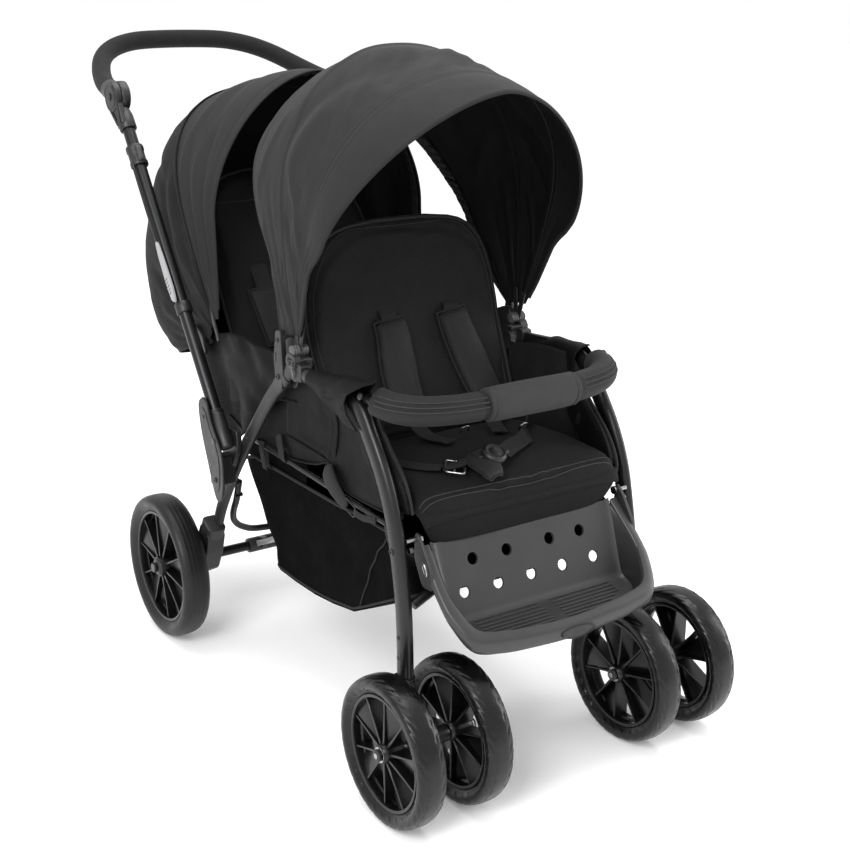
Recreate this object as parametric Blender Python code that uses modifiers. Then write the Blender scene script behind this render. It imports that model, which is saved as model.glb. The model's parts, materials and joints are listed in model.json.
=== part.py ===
"""Tandem (double) stroller: two seats one behind the other in a folding tube frame.

Metres, +Z up, the stroller's front towards -Y, +X to the seated child's left.
Suffix _r is the child's right (-X), _l the child's left (+X).
"""

import math

import bmesh
import bpy
from mathutils import Matrix, Vector

# ---------------------------------------------------------------- driving dimensions
FRONT_WHEEL_R = 0.1037       # 8 in front wheels
FRONT_TYRE_W = 0.0420
FRONT_AXLE_Y = -0.3523
TWIN_SPACING = 0.1065        # between the two wheels of one caster
CASTER_X = 0.2030
CASTER_STEM_Y = -0.2990

REAR_WHEEL_R = 0.1233
REAR_TYRE_W = 0.0470
REAR_AXLE_Y = 0.3523
REAR_WHEEL_X = 0.2613

LEG_X = 0.1995               # centre of the front leg tubes
LEG_HALF_X = 0.0093          # flat-oval section of the front legs
LEG_HALF_PLANE = 0.0140
REAR_LEG_X = 0.2050
REAR_LEG_HALF_X = 0.0065
REAR_LEG_HALF_PLANE = 0.0115

HUB = (-0.0155, 0.5532)      # (y, z) of the side hub, where the rear leg turns
FOLD = (0.1650, 0.3920)      # (y, z) where the push tube turns on the rear leg
HANDLE = (0.5140, 0.8970)    # (y, z) where the handle tilts
HANDLE_REACH = (0.7850, 0.9815)  # (y, z) of the grip's middle
GRIP_HALF = 0.2105           # the grip's half width, narrower than the hubs
TUBE_X = 0.2340
TUBE_R = 0.01025

RAIL_X = 0.1880
RAIL_R = 0.0040

FRONT_PIVOT = HUB            # front canopy bows
REAR_PIVOT = (0.2500, 0.5300)  # rear canopy bows
FABRIC = 0.0025

BAR_R = 0.0163               # foam grip of the handle
GAP = 0.0003                 # between touching pieces

# from the wheelbase's middle to the middle of the overall length
Y_SHIFT = (FRONT_WHEEL_R - FRONT_AXLE_Y - HANDLE_REACH[0] - BAR_R) / 2

# ---------------------------------------------------------------- scene and materials
for old in list(bpy.data.objects):
    bpy.data.objects.remove(old, do_unlink=True)

STROLLER = bpy.data.collections.new("double_stroller")
HELPERS = bpy.data.collections.new("cutters")
bpy.context.scene.collection.children.link(STROLLER)
bpy.context.scene.collection.children.link(HELPERS)
HELPERS.hide_render = True


def material(name, colour, roughness, metallic=0.0):
    made = bpy.data.materials.new(name)
    made.use_nodes = True
    shader = made.node_tree.nodes["Principled BSDF"]
    shader.inputs["Base Color"].default_value = (*colour, 1.0)
    shader.inputs["Roughness"].default_value = roughness
    shader.inputs["Metallic"].default_value = metallic
    made.diffuse_color = (*colour, 1.0)
    return made


def finish_of(kind, node):
    look = {
        "frame": ((0.045, 0.045, 0.048), 0.38, 0.6),
        "plastic": ((0.035, 0.035, 0.037), 0.50, 0.0),
        "gloss": ((0.012, 0.012, 0.013), 0.22, 0.0),
        "lever": ((0.42, 0.42, 0.43), 0.45, 0.0),
        "tyre": ((0.022, 0.022, 0.023), 0.72, 0.0),
        "foam": ((0.020, 0.020, 0.021), 0.85, 0.0),
        "fabric": ((0.030, 0.030, 0.032), 0.90, 0.0),
        "canopy": ((0.050, 0.050, 0.053), 0.88, 0.0),
        "mesh": ((0.012, 0.012, 0.013), 0.92, 0.0),
    }[kind]
    return material(node + "_" + kind, *look)


# ---------------------------------------------------------------- empties on the joint axes
def empty(name, location, parent=None):
    made = bpy.data.objects.new(name, None)
    made.empty_display_size = 0.03
    STROLLER.objects.link(made)
    if parent is None:
        made.location = location
    else:
        made.parent = parent
        made.location = Vector(location) - origin_of(parent)
    return made


def origin_of(obj):
    """Location of an unrotated chain of empties, measured from the stroller's own empty."""
    total = Vector((0, 0, 0))
    while obj is not None and obj.name != "stroller":
        total += obj.location
        obj = obj.parent
    return total


BASE = empty("stroller", (0, Y_SHIFT, 0))
REAR_FRAME = empty("pivot_rear_legs", (0, *HUB), BASE)
PUSH = empty("pivot_frame_fold", (0, *FOLD), REAR_FRAME)
TILT = empty("pivot_handle_tilt", (0, *HANDLE), PUSH)
CASTER = {s: empty("pivot_caster_" + n, (s * CASTER_X, CASTER_STEM_Y, 0.16), BASE) for s, n in ((-1, "r"), (1, "l"))}
FRONT_BACK = empty("pivot_front_recline", (0, -0.060, 0.425), BASE)
REAR_BACK = empty("pivot_rear_recline", (0, 0.205, 0.405), PUSH)
FRONT_BOW = empty("pivot_front_canopy", (0, *FRONT_PIVOT), BASE)
VISOR = empty("pivot_front_visor", (0, *FRONT_PIVOT), FRONT_BOW)
REAR_BOW = empty("pivot_rear_canopy", (0, *REAR_PIVOT), PUSH)
BRAKE = empty("pivot_brake", (0, REAR_AXLE_Y, REAR_WHEEL_R), REAR_FRAME)
BUMPER = empty("slide_bumper_bar", (0, -0.215, 0.540), BASE)
LEVER = {s: empty("slide_fold_lever_" + n, (s * 0.248, 0.308, 0.633), PUSH) for s, n in ((-1, "r"), (1, "l"))}


# ---------------------------------------------------------------- modelling helpers
def add(name, data, kind, parent=BASE, location=(0, 0, 0), matrix=None):
    """A piece in the stroller's frame, hung on the empty it moves with."""
    obj = bpy.data.objects.new(name, data)
    STROLLER.objects.link(obj)
    obj.parent = parent
    shift = Vector(location) - origin_of(parent)
    obj.matrix_basis = Matrix.Translation(shift) @ (matrix.to_4x4() if matrix else Matrix.Identity(4))
    if not data.materials:
        data.materials.append(finish_of(kind, name))
    return obj


SIDE_PLANE = Matrix(((0, 0, 1), (1, 0, 0), (0, 1, 0)))   # local x, y, z -> stroller Y, Z, X


def smooth(points, step):
    """Points about one step apart on a smooth curve through the given ones."""
    knots = [Vector(p) for p in points]
    knots = [2 * knots[0] - knots[1]] + knots + [2 * knots[-1] - knots[-2]]
    out = []
    for a, b, c, d in zip(knots, knots[1:], knots[2:], knots[3:]):
        count = max(1, round((c - b).length / step))
        for k in range(count):
            t = k / count
            out.append(0.5 * (2 * b + (c - a) * t + (2 * a - 5 * b + 4 * c - d) * t * t + (3 * b - a - 3 * c + d) * t ** 3))
    out.append(knots[-2])
    return out


def u_bend(foot, apex, half_foot, half, power, sag, begin, count):
    """A U of tube seen from above: from one foot (y, z) back round to the other, widest at `half`."""
    out = []
    for k in range(count + 1):
        a = begin + (math.pi - 2 * begin) * k / count
        t = math.sin(a) ** (2 / power)
        wide = half + (half_foot - half) * max(0.0, 1 - 1.6 * t)
        lift = t * (1 - sag) + sag * t * t
        x = -math.copysign(wide * abs(math.cos(a)) ** (2 / power), math.cos(a))
        out.append(Vector((x, foot[0] + (apex[0] - foot[0]) * t, foot[1] + (apex[1] - foot[1]) * lift)))
    return out


def spline(curve, points, cyclic=False):
    line = curve.splines.new("POLY")
    line.points.add(len(points) - 1)
    for place, point in zip(line.points, points):
        place.co = (*point, 0.0, 1.0) if len(point) == 2 else (*point, 1.0)
    line.use_cyclic_u = cyclic
    return line


def oval_profile(name, half_x, half_plane, count=10):
    """Closed outline that a flat-oval tube is swept with."""
    curve = bpy.data.curves.new(name, "CURVE")
    curve.dimensions = "2D"
    ring = []
    for k in range(count):
        a = 2 * math.pi * k / count
        ring.append((half_plane * math.cos(a), half_x * math.sin(a)))
    spline(curve, ring, cyclic=True)
    obj = bpy.data.objects.new(name, curve)
    obj.hide_render = True
    obj.display_type = "WIRE"
    HELPERS.objects.link(obj)
    return obj


def side_tube(name, points, x, profile, kind, parent=BASE):
    """A flat-oval tube bent in a plane of constant X; points are (y, z)."""
    curve = bpy.data.curves.new(name, "CURVE")
    curve.dimensions = "2D"
    curve.bevel_mode = "OBJECT"
    curve.bevel_object = profile
    curve.use_fill_caps = True
    spline(curve, points)
    return frozen(add(name, curve, kind, parent, (x, 0, 0), SIDE_PLANE))


def round_tube(name, points, radius, kind, parent=BASE, resolution=2):
    curve = bpy.data.curves.new(name, "CURVE")
    curve.dimensions = "3D"
    curve.bevel_depth = radius
    curve.bevel_resolution = resolution
    curve.use_fill_caps = True
    origin = origin_of(parent)
    spline(curve, [Vector(p) - origin for p in points])
    return add(name, curve, kind, parent, origin)


def plate(name, outline, x, half, kind, parent=BASE, holes=()):
    """A flat piece of constant outline (y, z), extruded along X."""
    curve = bpy.data.curves.new(name, "CURVE")
    curve.dimensions = "2D"
    curve.fill_mode = "BOTH"
    curve.extrude = half
    spline(curve, outline, cyclic=True)
    for (y, z), radius in holes:
        spline(curve, circle(y, z, radius), cyclic=True)
    return add(name, curve, kind, parent, (x, 0, 0), SIDE_PLANE)


def circle(y, z, radius, count=16, start=0.0):
    return [(y + radius * math.cos(start + 2 * math.pi * k / count), z + radius * math.sin(start + 2 * math.pi * k / count)) for k in range(count)]


def rounded(corners, radius, steps=3):
    """An outline with each corner replaced by an arc-like run of points."""
    out = []
    count = len(corners)
    for i, corner in enumerate(corners):
        here = Vector(corner)
        before = Vector(corners[i - 1]) - here
        after = Vector(corners[(i + 1) % count]) - here
        reach = min(radius, 0.45 * before.length, 0.45 * after.length)
        start, end = here + before.normalized() * reach, here + after.normalized() * reach
        for k in range(steps + 1):
            t = k / steps
            out.append(tuple((1 - t) ** 2 * start + 2 * t * (1 - t) * here + t * t * end))
    return out


def turned(name, profile, kind, parent, location, matrix, steps, ring=False, mesh=None):
    """A turned piece: the profile (radius, height) runs down its outer side."""
    if mesh is None:
        mesh = bpy.data.meshes.new(name)
        edges = [(k, k + 1) for k in range(len(profile) - 1)]
        if ring:
            edges.append((len(profile) - 1, 0))
        mesh.from_pydata([(r, 0, h) for r, h in profile], edges, [])
    obj = add(name, mesh, kind, parent, location, matrix)
    screw = obj.modifiers.new("turn", "SCREW")
    screw.axis = "Z"
    screw.angle = 2 * math.pi
    screw.steps = screw.render_steps = steps
    screw.use_merge_vertices = True
    screw.merge_threshold = 0.00002
    screw.use_smooth_shade = True
    return obj


def frozen(obj):
    """The object as a plain welded mesh, so that it can be cut or joined."""
    bpy.context.view_layer.update()
    graph = bpy.context.evaluated_depsgraph_get()
    name, parent, local = obj.name, obj.parent, obj.matrix_basis.copy()
    mesh = bpy.data.meshes.new_from_object(obj.evaluated_get(graph))
    welded = bmesh.new()
    welded.from_mesh(mesh)
    bmesh.ops.remove_doubles(welded, verts=welded.verts, dist=0.00001)
    bmesh.ops.recalc_face_normals(welded, faces=welded.faces)
    welded.to_mesh(mesh)
    welded.free()
    home = obj.users_collection[0]
    bpy.data.objects.remove(obj, do_unlink=True)
    made = bpy.data.objects.new(name, mesh)
    home.objects.link(made)
    made.parent = parent
    made.matrix_basis = local
    return made


def helper(obj):
    """Takes a piece out of the stroller and keeps it as a cutter or a part of a union."""
    obj = frozen(obj)
    for home in list(obj.users_collection):
        home.objects.unlink(obj)
    HELPERS.objects.link(obj)
    obj.hide_render = True
    obj.display_type = "WIRE"
    return obj


def combine(obj, others, operation):
    if obj.type != "MESH":
        obj = frozen(obj)
    for other in others:
        cut = obj.modifiers.new(operation.lower(), "BOOLEAN")
        cut.operation = operation
        cut.solver = "EXACT"
        cut.object = other
    return obj


def box(name, low, high, kind, parent=BASE, bevel=0.0, segments=2):
    mesh = bpy.data.meshes.new(name)
    made = bmesh.new()
    bmesh.ops.create_cube(made, size=1.0)
    low, high = Vector(low), Vector(high)
    for vert in made.verts:
        vert.co = Vector((vert.co[i] * (high[i] - low[i]) for i in range(3)))
    made.to_mesh(mesh)
    made.free()
    obj = add(name, mesh, kind, parent, (low + high) / 2)
    if bevel:
        soften = obj.modifiers.new("edges", "BEVEL")
        soften.width = bevel
        soften.segments = segments
    return obj


def rod(name, centre, radius, half, kind, parent=BASE, steps=16, matrix=None):
    """A cylinder along X, or along the matrix's z."""
    profile = [(0, half), (radius, half), (radius, -half), (0, -half)]
    return turned(name, profile, kind, parent, centre, matrix or TO_X, steps)


TO_X = Matrix.Rotation(math.pi / 2, 3, "Y")
SLOPE = math.atan2(HANDLE[1] - FOLD[1], HANDLE[0] - FOLD[0])
UP_TUBE = Matrix.Rotation(SLOPE - math.pi / 2, 3, "X")
TUBE_LENGTH = math.hypot(HANDLE[0] - FOLD[0], HANDLE[1] - FOLD[1])


def on_tube(distance, side=1, x=TUBE_X, across=0.0):
    """A point on the push tube's axis, measured up from the fold pivot."""
    return (
        side * x,
        FOLD[0] + distance * math.cos(SLOPE) + across * math.sin(SLOPE),
        FOLD[1] + distance * math.sin(SLOPE) - across * math.cos(SLOPE),
    )


SIDES = ((-1, "r"), (1, "l"))

# ---------------------------------------------------------------- front frame
LEG_PROFILE = oval_profile("front_leg_section", LEG_HALF_X, LEG_HALF_PLANE)
LEG_PATH = smooth(
    [(-0.0470, 0.5440), (-0.0775, 0.5450), (-0.1200, 0.5440), (-0.1500, 0.5405), (-0.1730, 0.5320), (-0.1920, 0.5200), (-0.2105, 0.4970),
     (-0.2462, 0.4458), (-0.2690, 0.3967), (-0.2825, 0.3443), (-0.2935, 0.2833), (-0.2975, 0.2269), (-0.2982, 0.1745)],
    0.04,
)
for side, n in SIDES:
    side_tube("front_leg_" + n, LEG_PATH, side * LEG_X, LEG_PROFILE, "frame")

# The side hub joins the armrest tube, the rear leg's pivot and the canopy's clips.
HUB_OUTLINE = rounded(
    [(-0.0420, 0.5740), (-0.0420, 0.5370), (-0.0220, 0.5120), (0.0020, 0.5060), (0.0250, 0.5240), (0.0370, 0.5560),
     (0.0310, 0.5800), (0.0020, 0.5920), (-0.0270, 0.5900)], 0.010, 2)
for side, n in SIDES:
    hub = plate("hub_" + n, HUB_OUTLINE, side * 0.1915, 0.0050, "plastic")
    socket = helper(box("hub_socket_" + n, (side * LEG_X - 0.0105, -0.0440, 0.5270), (side * LEG_X + 0.0105, -0.0310, 0.5610), "plastic", bevel=0.002))
    pin = helper(rod("hub_pin_" + n, (side * 0.2015, *HUB), 0.0048, 0.0125, "plastic", steps=12))
    combine(hub, (socket, pin), "UNION")

# The arch runs from leg to leg behind the footrest.
ARCH = smooth(
    [(-0.1878, -0.2990, 0.2748), (-0.1750, -0.2985, 0.2800), (-0.1500, -0.2980, 0.2900), (-0.1150, -0.2975, 0.2950), (0.0, -0.2970, 0.2970),
     (0.1150, -0.2975, 0.2950), (0.1500, -0.2980, 0.2900), (0.1750, -0.2985, 0.2800), (0.1878, -0.2990, 0.2748)], 0.034)
round_tube("front_cross_arch", ARCH, 0.0072, "frame")

# Thin rod along each side, under the seats.
for side, n in SIDES:
    round_tube("side_rail_" + n, [(side * RAIL_X, 0.1450, 0.3880), (side * RAIL_X, 0.0, 0.3815), (side * RAIL_X, -0.1200, 0.3760), (side * RAIL_X, -0.2480, 0.3700)], RAIL_R, "frame")

# ---------------------------------------------------------------- footrest
PANEL_TOP, PANEL_LOW = Vector((0, -0.2920, 0.3520)), Vector((0, -0.3324, 0.2595))
RIM_TOP = Vector((0, -0.2960, 0.3550))
RIM_DOWN = Vector((0, -math.cos(math.radians(45)), -math.sin(math.radians(45))))


def sheet_piece(name, points, drop, kind):
    """A flat outline of 3-D points pushed along a vector into a solid."""
    mesh = bpy.data.meshes.new(name)
    made = bmesh.new()
    face = made.faces.new([made.verts.new(p) for p in points])
    pushed = bmesh.ops.extrude_face_region(made, geom=[face])
    moved = [v for v in pushed["geom"] if isinstance(v, bmesh.types.BMVert)]
    bmesh.ops.translate(made, verts=moved, vec=drop)
    bmesh.ops.recalc_face_normals(made, faces=made.faces)
    made.to_mesh(mesh)
    made.free()
    return add(name, mesh, kind)


def rim_outline(half_top, half_mid, front, corner):
    """The U of the tray's rim in its own sloping plane, from one ear to the other."""
    right = [(half_top, 0.0), (half_mid, front * 0.45), (half_mid - 0.004, front - corner), (half_mid - corner * 0.42, front - corner * 0.28), (half_mid - corner * 1.25, front - 0.002), (half_mid - corner * 2.2, front + 0.003)]
    line = right + [(0.0, front + 0.006)] + [(-x, v) for x, v in reversed(right)]
    return [tuple(p) for p in smooth([Vector((x, v, 0)) for x, v in line], 0.035)]


OUTER_RIM = rim_outline(0.1730, 0.1790, 0.1600, 0.052)
INNER_RIM = rim_outline(0.1560, 0.1620, 0.1430, 0.046)
ring = [RIM_TOP + Vector((x, 0, 0)) + RIM_DOWN * v for x, v, _ in OUTER_RIM] + [RIM_TOP + Vector((x, 0, 0)) + RIM_DOWN * v for x, v, _ in reversed(INNER_RIM)]
footrest = sheet_piece("footrest", ring, Vector((0, 0.003, -0.020)), "plastic")
panel_normal = Vector((0, 0.916, -0.400))
back_panel = helper(sheet_piece("footrest_panel", [PANEL_TOP + Vector((-0.166, 0, 0)), PANEL_TOP + Vector((0.166, 0, 0)), PANEL_LOW + Vector((0.160, 0, 0)), PANEL_LOW + Vector((-0.160, 0, 0))], panel_normal * 0.0040, "plastic"))
floor_back, floor_front = Vector((0, -0.3290, 0.2600)), Vector((0, -0.4000, 0.2360))
step = helper(sheet_piece("footrest_step", [floor_back + Vector((-0.158, 0, 0)), floor_back + Vector((0.158, 0, 0)), floor_front + Vector((0.125, 0, 0)), floor_front + Vector((-0.125, 0, 0))], Vector((0, -0.0010, -0.0040)), "plastic"))
footrest = combine(footrest, (back_panel, step), "UNION")
footrest = frozen(footrest)
HOLES = [(x, 0.0320) for x in (-0.094, -0.036, 0.039, 0.094)] + [(x, 0.0730) for x in (-0.118, -0.061, -0.004, 0.052, 0.109)]
PANEL_ALONG = (PANEL_LOW - PANEL_TOP).normalized()
AT_PANEL = Matrix.Rotation(math.atan2(0.916, -0.400), 3, "X").transposed()
drills = []
for number, (x, v) in enumerate(HOLES):
    spot = PANEL_TOP + Vector((x, 0, 0)) + PANEL_ALONG * v
    drill = rod("footrest_hole_%d" % number, spot, 0.0085, 0.012, "plastic", steps=8, matrix=Vector((0, 0, 1)).rotation_difference(panel_normal).to_matrix())
    drills.append(helper(drill))
combine(footrest, drills, "DIFFERENCE")


# ---------------------------------------------------------------- wheels
def tyre_profile(outer, width, bead, facets):
    """Cross-section ring of a tyre, flats on the tread circle so that it stands on one."""
    grow = 1 / math.cos(math.pi / facets)
    crown = [(outer - 0.0105, 0.46), (outer - 0.0035, 0.34), (outer, 0.13)]
    half = [(r * grow, w * width) for r, w in crown]
    shoulder = (outer - 0.0190) * grow
    return [(bead, width * 0.30), (shoulder, width * 0.50)] + half + [(r, -w) for r, w in reversed(half)] + [(shoulder, -width * 0.50), (bead, -width * 0.30)]


def rim_mesh(name, outer, width, hub_r, hub_half, bore, spokes):
    """Rim ring, hub barrel and thin radial webs in one moulding, on the X axis."""
    ring_piece = turned(name, [(outer, width / 2), (outer, -width / 2), (outer - 0.0060, -width / 2), (outer - 0.0085, 0.0), (outer - 0.0060, width / 2)], "gloss", BASE, (0, 0, 0), TO_X, 20, ring=True)
    barrel = turned(name + "_barrel", [(hub_r, hub_half), (hub_r, -hub_half), (bore, -hub_half), (bore, hub_half)], "gloss", BASE, (0, 0, 0), TO_X, 10, ring=True)
    joined = [helper(barrel)]
    for k in range(spokes):
        web = box(name + "_web_%d" % k, (-width * 0.36, -0.0022, hub_r - 0.0030), (width * 0.36, 0.0022, outer - 0.0040), "gloss")
        web.matrix_basis = Matrix.Rotation(2 * math.pi * k / spokes, 4, "X") @ web.matrix_basis
        joined.append(helper(web))
    made = frozen(combine(ring_piece, joined, "UNION"))
    mesh = made.data
    bpy.data.objects.remove(made, do_unlink=True)
    return mesh


FRONT_BEAD = 0.0800
REAR_BEAD = 0.0960
# The shared meshes are modelled about the origin, so the empty's shift is taken back.
front_rim = rim_mesh("front_rim_master", FRONT_BEAD - GAP, 0.0300, 0.0150, 0.0190, 0.0047, 8)
rear_rim = rim_mesh("rear_rim_master", REAR_BEAD - GAP, 0.0320, 0.0200, 0.0205, 0.0056, 8)
front_tyre_profile = tyre_profile(FRONT_WHEEL_R, FRONT_TYRE_W, FRONT_BEAD, 20)
rear_tyre_profile = tyre_profile(REAR_WHEEL_R, REAR_TYRE_W, REAR_BEAD, 20)
FLAT_DOWN = Matrix.Rotation(math.pi / 20, 3, "X") @ TO_X

for side, n in SIDES:
    for which, offset in (("outer", side * TWIN_SPACING / 2), ("inner", -side * TWIN_SPACING / 2)):
        centre = (side * CASTER_X + offset, FRONT_AXLE_Y, FRONT_WHEEL_R)
        hold = empty("spin_front_%s_%s" % (which, n), centre, CASTER[side])
        turned("front_tyre_%s_%s" % (which, n), front_tyre_profile, "tyre", hold, centre, FLAT_DOWN, 20, ring=True)
        rim = add("front_rim_%s_%s" % (which, n), front_rim, "gloss", hold, centre, FLAT_DOWN)
    centre = (side * REAR_WHEEL_X, REAR_AXLE_Y, REAR_WHEEL_R)
    hold = empty("spin_rear_" + n, centre, REAR_FRAME)
    turned("rear_tyre_" + n, rear_tyre_profile, "tyre", hold, centre, FLAT_DOWN, 20, ring=True)
    add("rear_rim_" + n, rear_rim, "gloss", hold, centre, FLAT_DOWN)

# ---------------------------------------------------------------- casters
FORK_OUTLINE = rounded([(-0.2870, 0.1580), (-0.3150, 0.1580), (-0.3600, 0.1240), (-0.3680, 0.0980), (-0.3530, 0.0860), (-0.3340, 0.0900), (-0.2900, 0.1290)], 0.010, 2)
for side, n in SIDES:
    x = side * CASTER_X
    fork = plate("caster_fork_" + n, FORK_OUTLINE, x, 0.0120, "plastic", CASTER[side])
    parts = [
        helper(rod("caster_housing_" + n, (x, CASTER_STEM_Y, 0.1580), 0.0158, 0.0158, "plastic", CASTER[side], 14, Matrix.Identity(3))),
        helper(rod("caster_boss_" + n, (x, FRONT_AXLE_Y, FRONT_WHEEL_R), 0.0125, 0.0335, "plastic", CASTER[side], 12)),
        helper(rod("caster_axle_" + n, (x, FRONT_AXLE_Y, FRONT_WHEEL_R), 0.0044, 0.0790, "plastic", CASTER[side], 10)),
        helper(rod("caster_cap_a_" + n, (x - 0.0770, FRONT_AXLE_Y, FRONT_WHEEL_R), 0.0085, 0.0022, "plastic", CASTER[side], 10)),
        helper(rod("caster_cap_b_" + n, (x + 0.0770, FRONT_AXLE_Y, FRONT_WHEEL_R), 0.0085, 0.0022, "plastic", CASTER[side], 10)),
    ]
    combine(fork, parts, "UNION")

# ---------------------------------------------------------------- rear legs and axle
REAR_PROFILE = oval_profile("rear_leg_section", REAR_LEG_HALF_X, REAR_LEG_HALF_PLANE)
REAR_PATH = smooth(
    [(-0.0155, 0.5450), (0.0030, 0.5300), (0.0520, 0.4880), (0.1000, 0.4370), (0.1470, 0.3840), (0.1845, 0.3399),
     (0.2134, 0.3009), (0.2480, 0.2492), (0.2700, 0.2060)], 0.045)
LEG_END = Vector((0.2700, 0.2060))
LEG_RUN = Vector((0.4660, -0.8850))
for side, n in SIDES:
    leg = side_tube("rear_leg_" + n, REAR_PATH, side * REAR_LEG_X, REAR_PROFILE, "frame", REAR_FRAME)
    eye = helper(rod("rear_leg_eye_" + n, (side * REAR_LEG_X, *HUB), 0.0135, 0.0065, "frame", REAR_FRAME, 14))
    bore = helper(rod("rear_leg_bore_" + n, (side * REAR_LEG_X, *HUB), 0.0051, 0.0200, "frame", REAR_FRAME, 12))
    leg = frozen(combine(leg, (eye,), "UNION"))
    combine(leg, (bore,), "DIFFERENCE")

AXLE = [(0, 0.2905), (0.0085, 0.2905), (0.0085, 0.2855), (0.0052, 0.2855), (0.0052, 0.1960), (0.0085, 0.1960),
        (0.0085, -0.1960), (0.0052, -0.1960), (0.0052, -0.2855), (0.0085, -0.2855), (0.0085, -0.2905), (0, -0.2905)]
turned("rear_axle", AXLE, "frame", REAR_FRAME, (0, REAR_AXLE_Y, REAR_WHEEL_R), TO_X, 14)

across = Vector((-LEG_RUN.y, LEG_RUN.x))
start = LEG_END + LEG_RUN * 0.0004
BRACKET = [tuple(start + across * 0.0165), (0.3040, 0.1800), (0.3280, 0.1580), (0.3560, 0.1490), (0.3720, 0.1370), (0.3740, 0.1150),
           (0.3560, 0.1060), (0.3250, 0.1060), (0.2870, 0.1260), (0.2660, 0.1650), tuple(start - across * 0.0165)]
for side, n in SIDES:
    bracket = plate("axle_bracket_" + n, BRACKET, side * 0.2130, 0.0165, "plastic", REAR_FRAME)
    bore = helper(rod("bracket_bore_" + n, (side * 0.2130, REAR_AXLE_Y, REAR_WHEEL_R), 0.0055, 0.0400, "plastic", REAR_FRAME, 14))
    combine(bracket, (bore,), "DIFFERENCE")

LOWER = smooth(
    [(-0.1890, 0.2130, 0.3010), (-0.1885, 0.2260, 0.2660), (-0.1850, 0.2470, 0.2380), (-0.1760, 0.2640, 0.2140), (-0.1550, 0.2740, 0.1950), (-0.1150, 0.2800, 0.1830),
     (0.0, 0.2810, 0.1800), (0.1150, 0.2800, 0.1830), (0.1550, 0.2740, 0.1950), (0.1760, 0.2640, 0.2140), (0.1850, 0.2470, 0.2380), (0.1885, 0.2260, 0.2660),
     (0.1890, 0.2130, 0.3010)], 0.036)
round_tube("lower_bar", LOWER, 0.0056, "frame", REAR_FRAME)

pedal = turned("brake_pedal", [(0.0130, 0.1100), (0.0130, -0.1100), (0.0089, -0.1100), (0.0089, 0.1100)], "lever", BRAKE, (0, REAR_AXLE_Y, REAR_WHEEL_R), TO_X, 16, ring=True)
tread = helper(plate("brake_tread", [(0.3440, 0.1330), (0.3400, 0.1230), (0.3050, 0.1400), (0.2700, 0.1620), (0.2730, 0.1670), (0.3080, 0.1470)], 0, 0.1100, "lever", BRAKE))
combine(frozen(pedal), (tread,), "UNION")

# The fold bracket: an inner plate on the leg, an outer leaf, and a block that joins them below the pivot.
INNER_PLATE = rounded([(0.1480, 0.4080), (0.1840, 0.4080), (0.1990, 0.3700), (0.2150, 0.3080), (0.1930, 0.3020), (0.1700, 0.3430), (0.1480, 0.3760)], 0.008, 2)
LEAF = smooth([(0.2030, 0.4560), (0.1880, 0.4490), (0.1740, 0.4180), (0.1440, 0.3780), (0.1390, 0.3400), (0.1460, 0.3060), (0.1600, 0.2940), (0.1730, 0.3060), (0.1910, 0.3480), (0.2110, 0.4000), (0.2170, 0.4420), (0.2030, 0.4560)], 0.02)[:-1]
for side, n in SIDES:
    inner = plate("fold_bracket_" + n, INNER_PLATE, side * 0.2168, 0.0044, "plastic", REAR_FRAME)
    leaf = helper(plate("fold_leaf_" + n, [tuple(p) for p in LEAF], side * 0.2500, 0.0025, "plastic", REAR_FRAME))
    block = helper(plate("fold_block_" + n, rounded([(0.1680, 0.3640), (0.1930, 0.3640), (0.1930, 0.3150), (0.1700, 0.3150)], 0.005, 2), side * 0.2330, 0.0185, "plastic", REAR_FRAME))
    pin = helper(rod("fold_pin_" + n, (side * 0.2330, *FOLD), 0.0044, 0.0175, "plastic", REAR_FRAME, 12))
    combine(inner, (leaf, block, pin), "UNION")

# ---------------------------------------------------------------- push frame
SLEEVE = [(0.0, 0.0130), (TUBE_R + GAP, 0.0130), (TUBE_R + GAP, 0.0500), (0.0124, 0.0500), (0.0124, -0.0140), (0.0, -0.0140)]
for side, n in SIDES:
    sleeve = turned("push_sleeve_" + n, SLEEVE, "plastic", PUSH, on_tube(0, side), UP_TUBE, 14)
    bore = helper(rod("sleeve_bore_" + n, on_tube(0, side), 0.0047, 0.0200, "plastic", PUSH, 12))
    combine(frozen(sleeve), (bore,), "DIFFERENCE")
    turned("push_tube_" + n, [(0, 0.5600), (TUBE_R, 0.5600), (TUBE_R, 0.0134), (0, 0.0134)], "frame", PUSH, on_tube(0, side), UP_TUBE, 14)
    # Socket on the tube's end with the outer half of the tilt hub.
    socket = turned("handle_socket_" + n, [(0, 0.5900), (0.0110, 0.5880), (0.0138, 0.5750), (0.0142, 0.5520), (TUBE_R + GAP, 0.5520), (TUBE_R + GAP, 0.5603), (0, 0.5603)], "plastic", PUSH, on_tube(0, side), UP_TUBE, 14)
    cheek = helper(rod("handle_cheek_" + n, (side * 0.2435, *HANDLE), 0.0255, 0.0062, "plastic", PUSH, 20))
    neck = helper(plate("handle_neck_" + n, [on_tube(0.563, 1, across=-0.0125)[1:], on_tube(0.563, 1, across=0.0125)[1:], on_tube(0.598, 1, across=0.0160)[1:], on_tube(0.598, 1, across=-0.0160)[1:]], side * 0.2410, 0.0060, "plastic", PUSH))
    room = helper(rod("handle_room_" + n, (side * 0.2200, *HANDLE), 0.0262, 0.0173, "plastic", PUSH, 20))
    socket = frozen(combine(frozen(socket), (cheek, neck), "UNION"))
    combine(socket, (room,), "DIFFERENCE")

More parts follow.
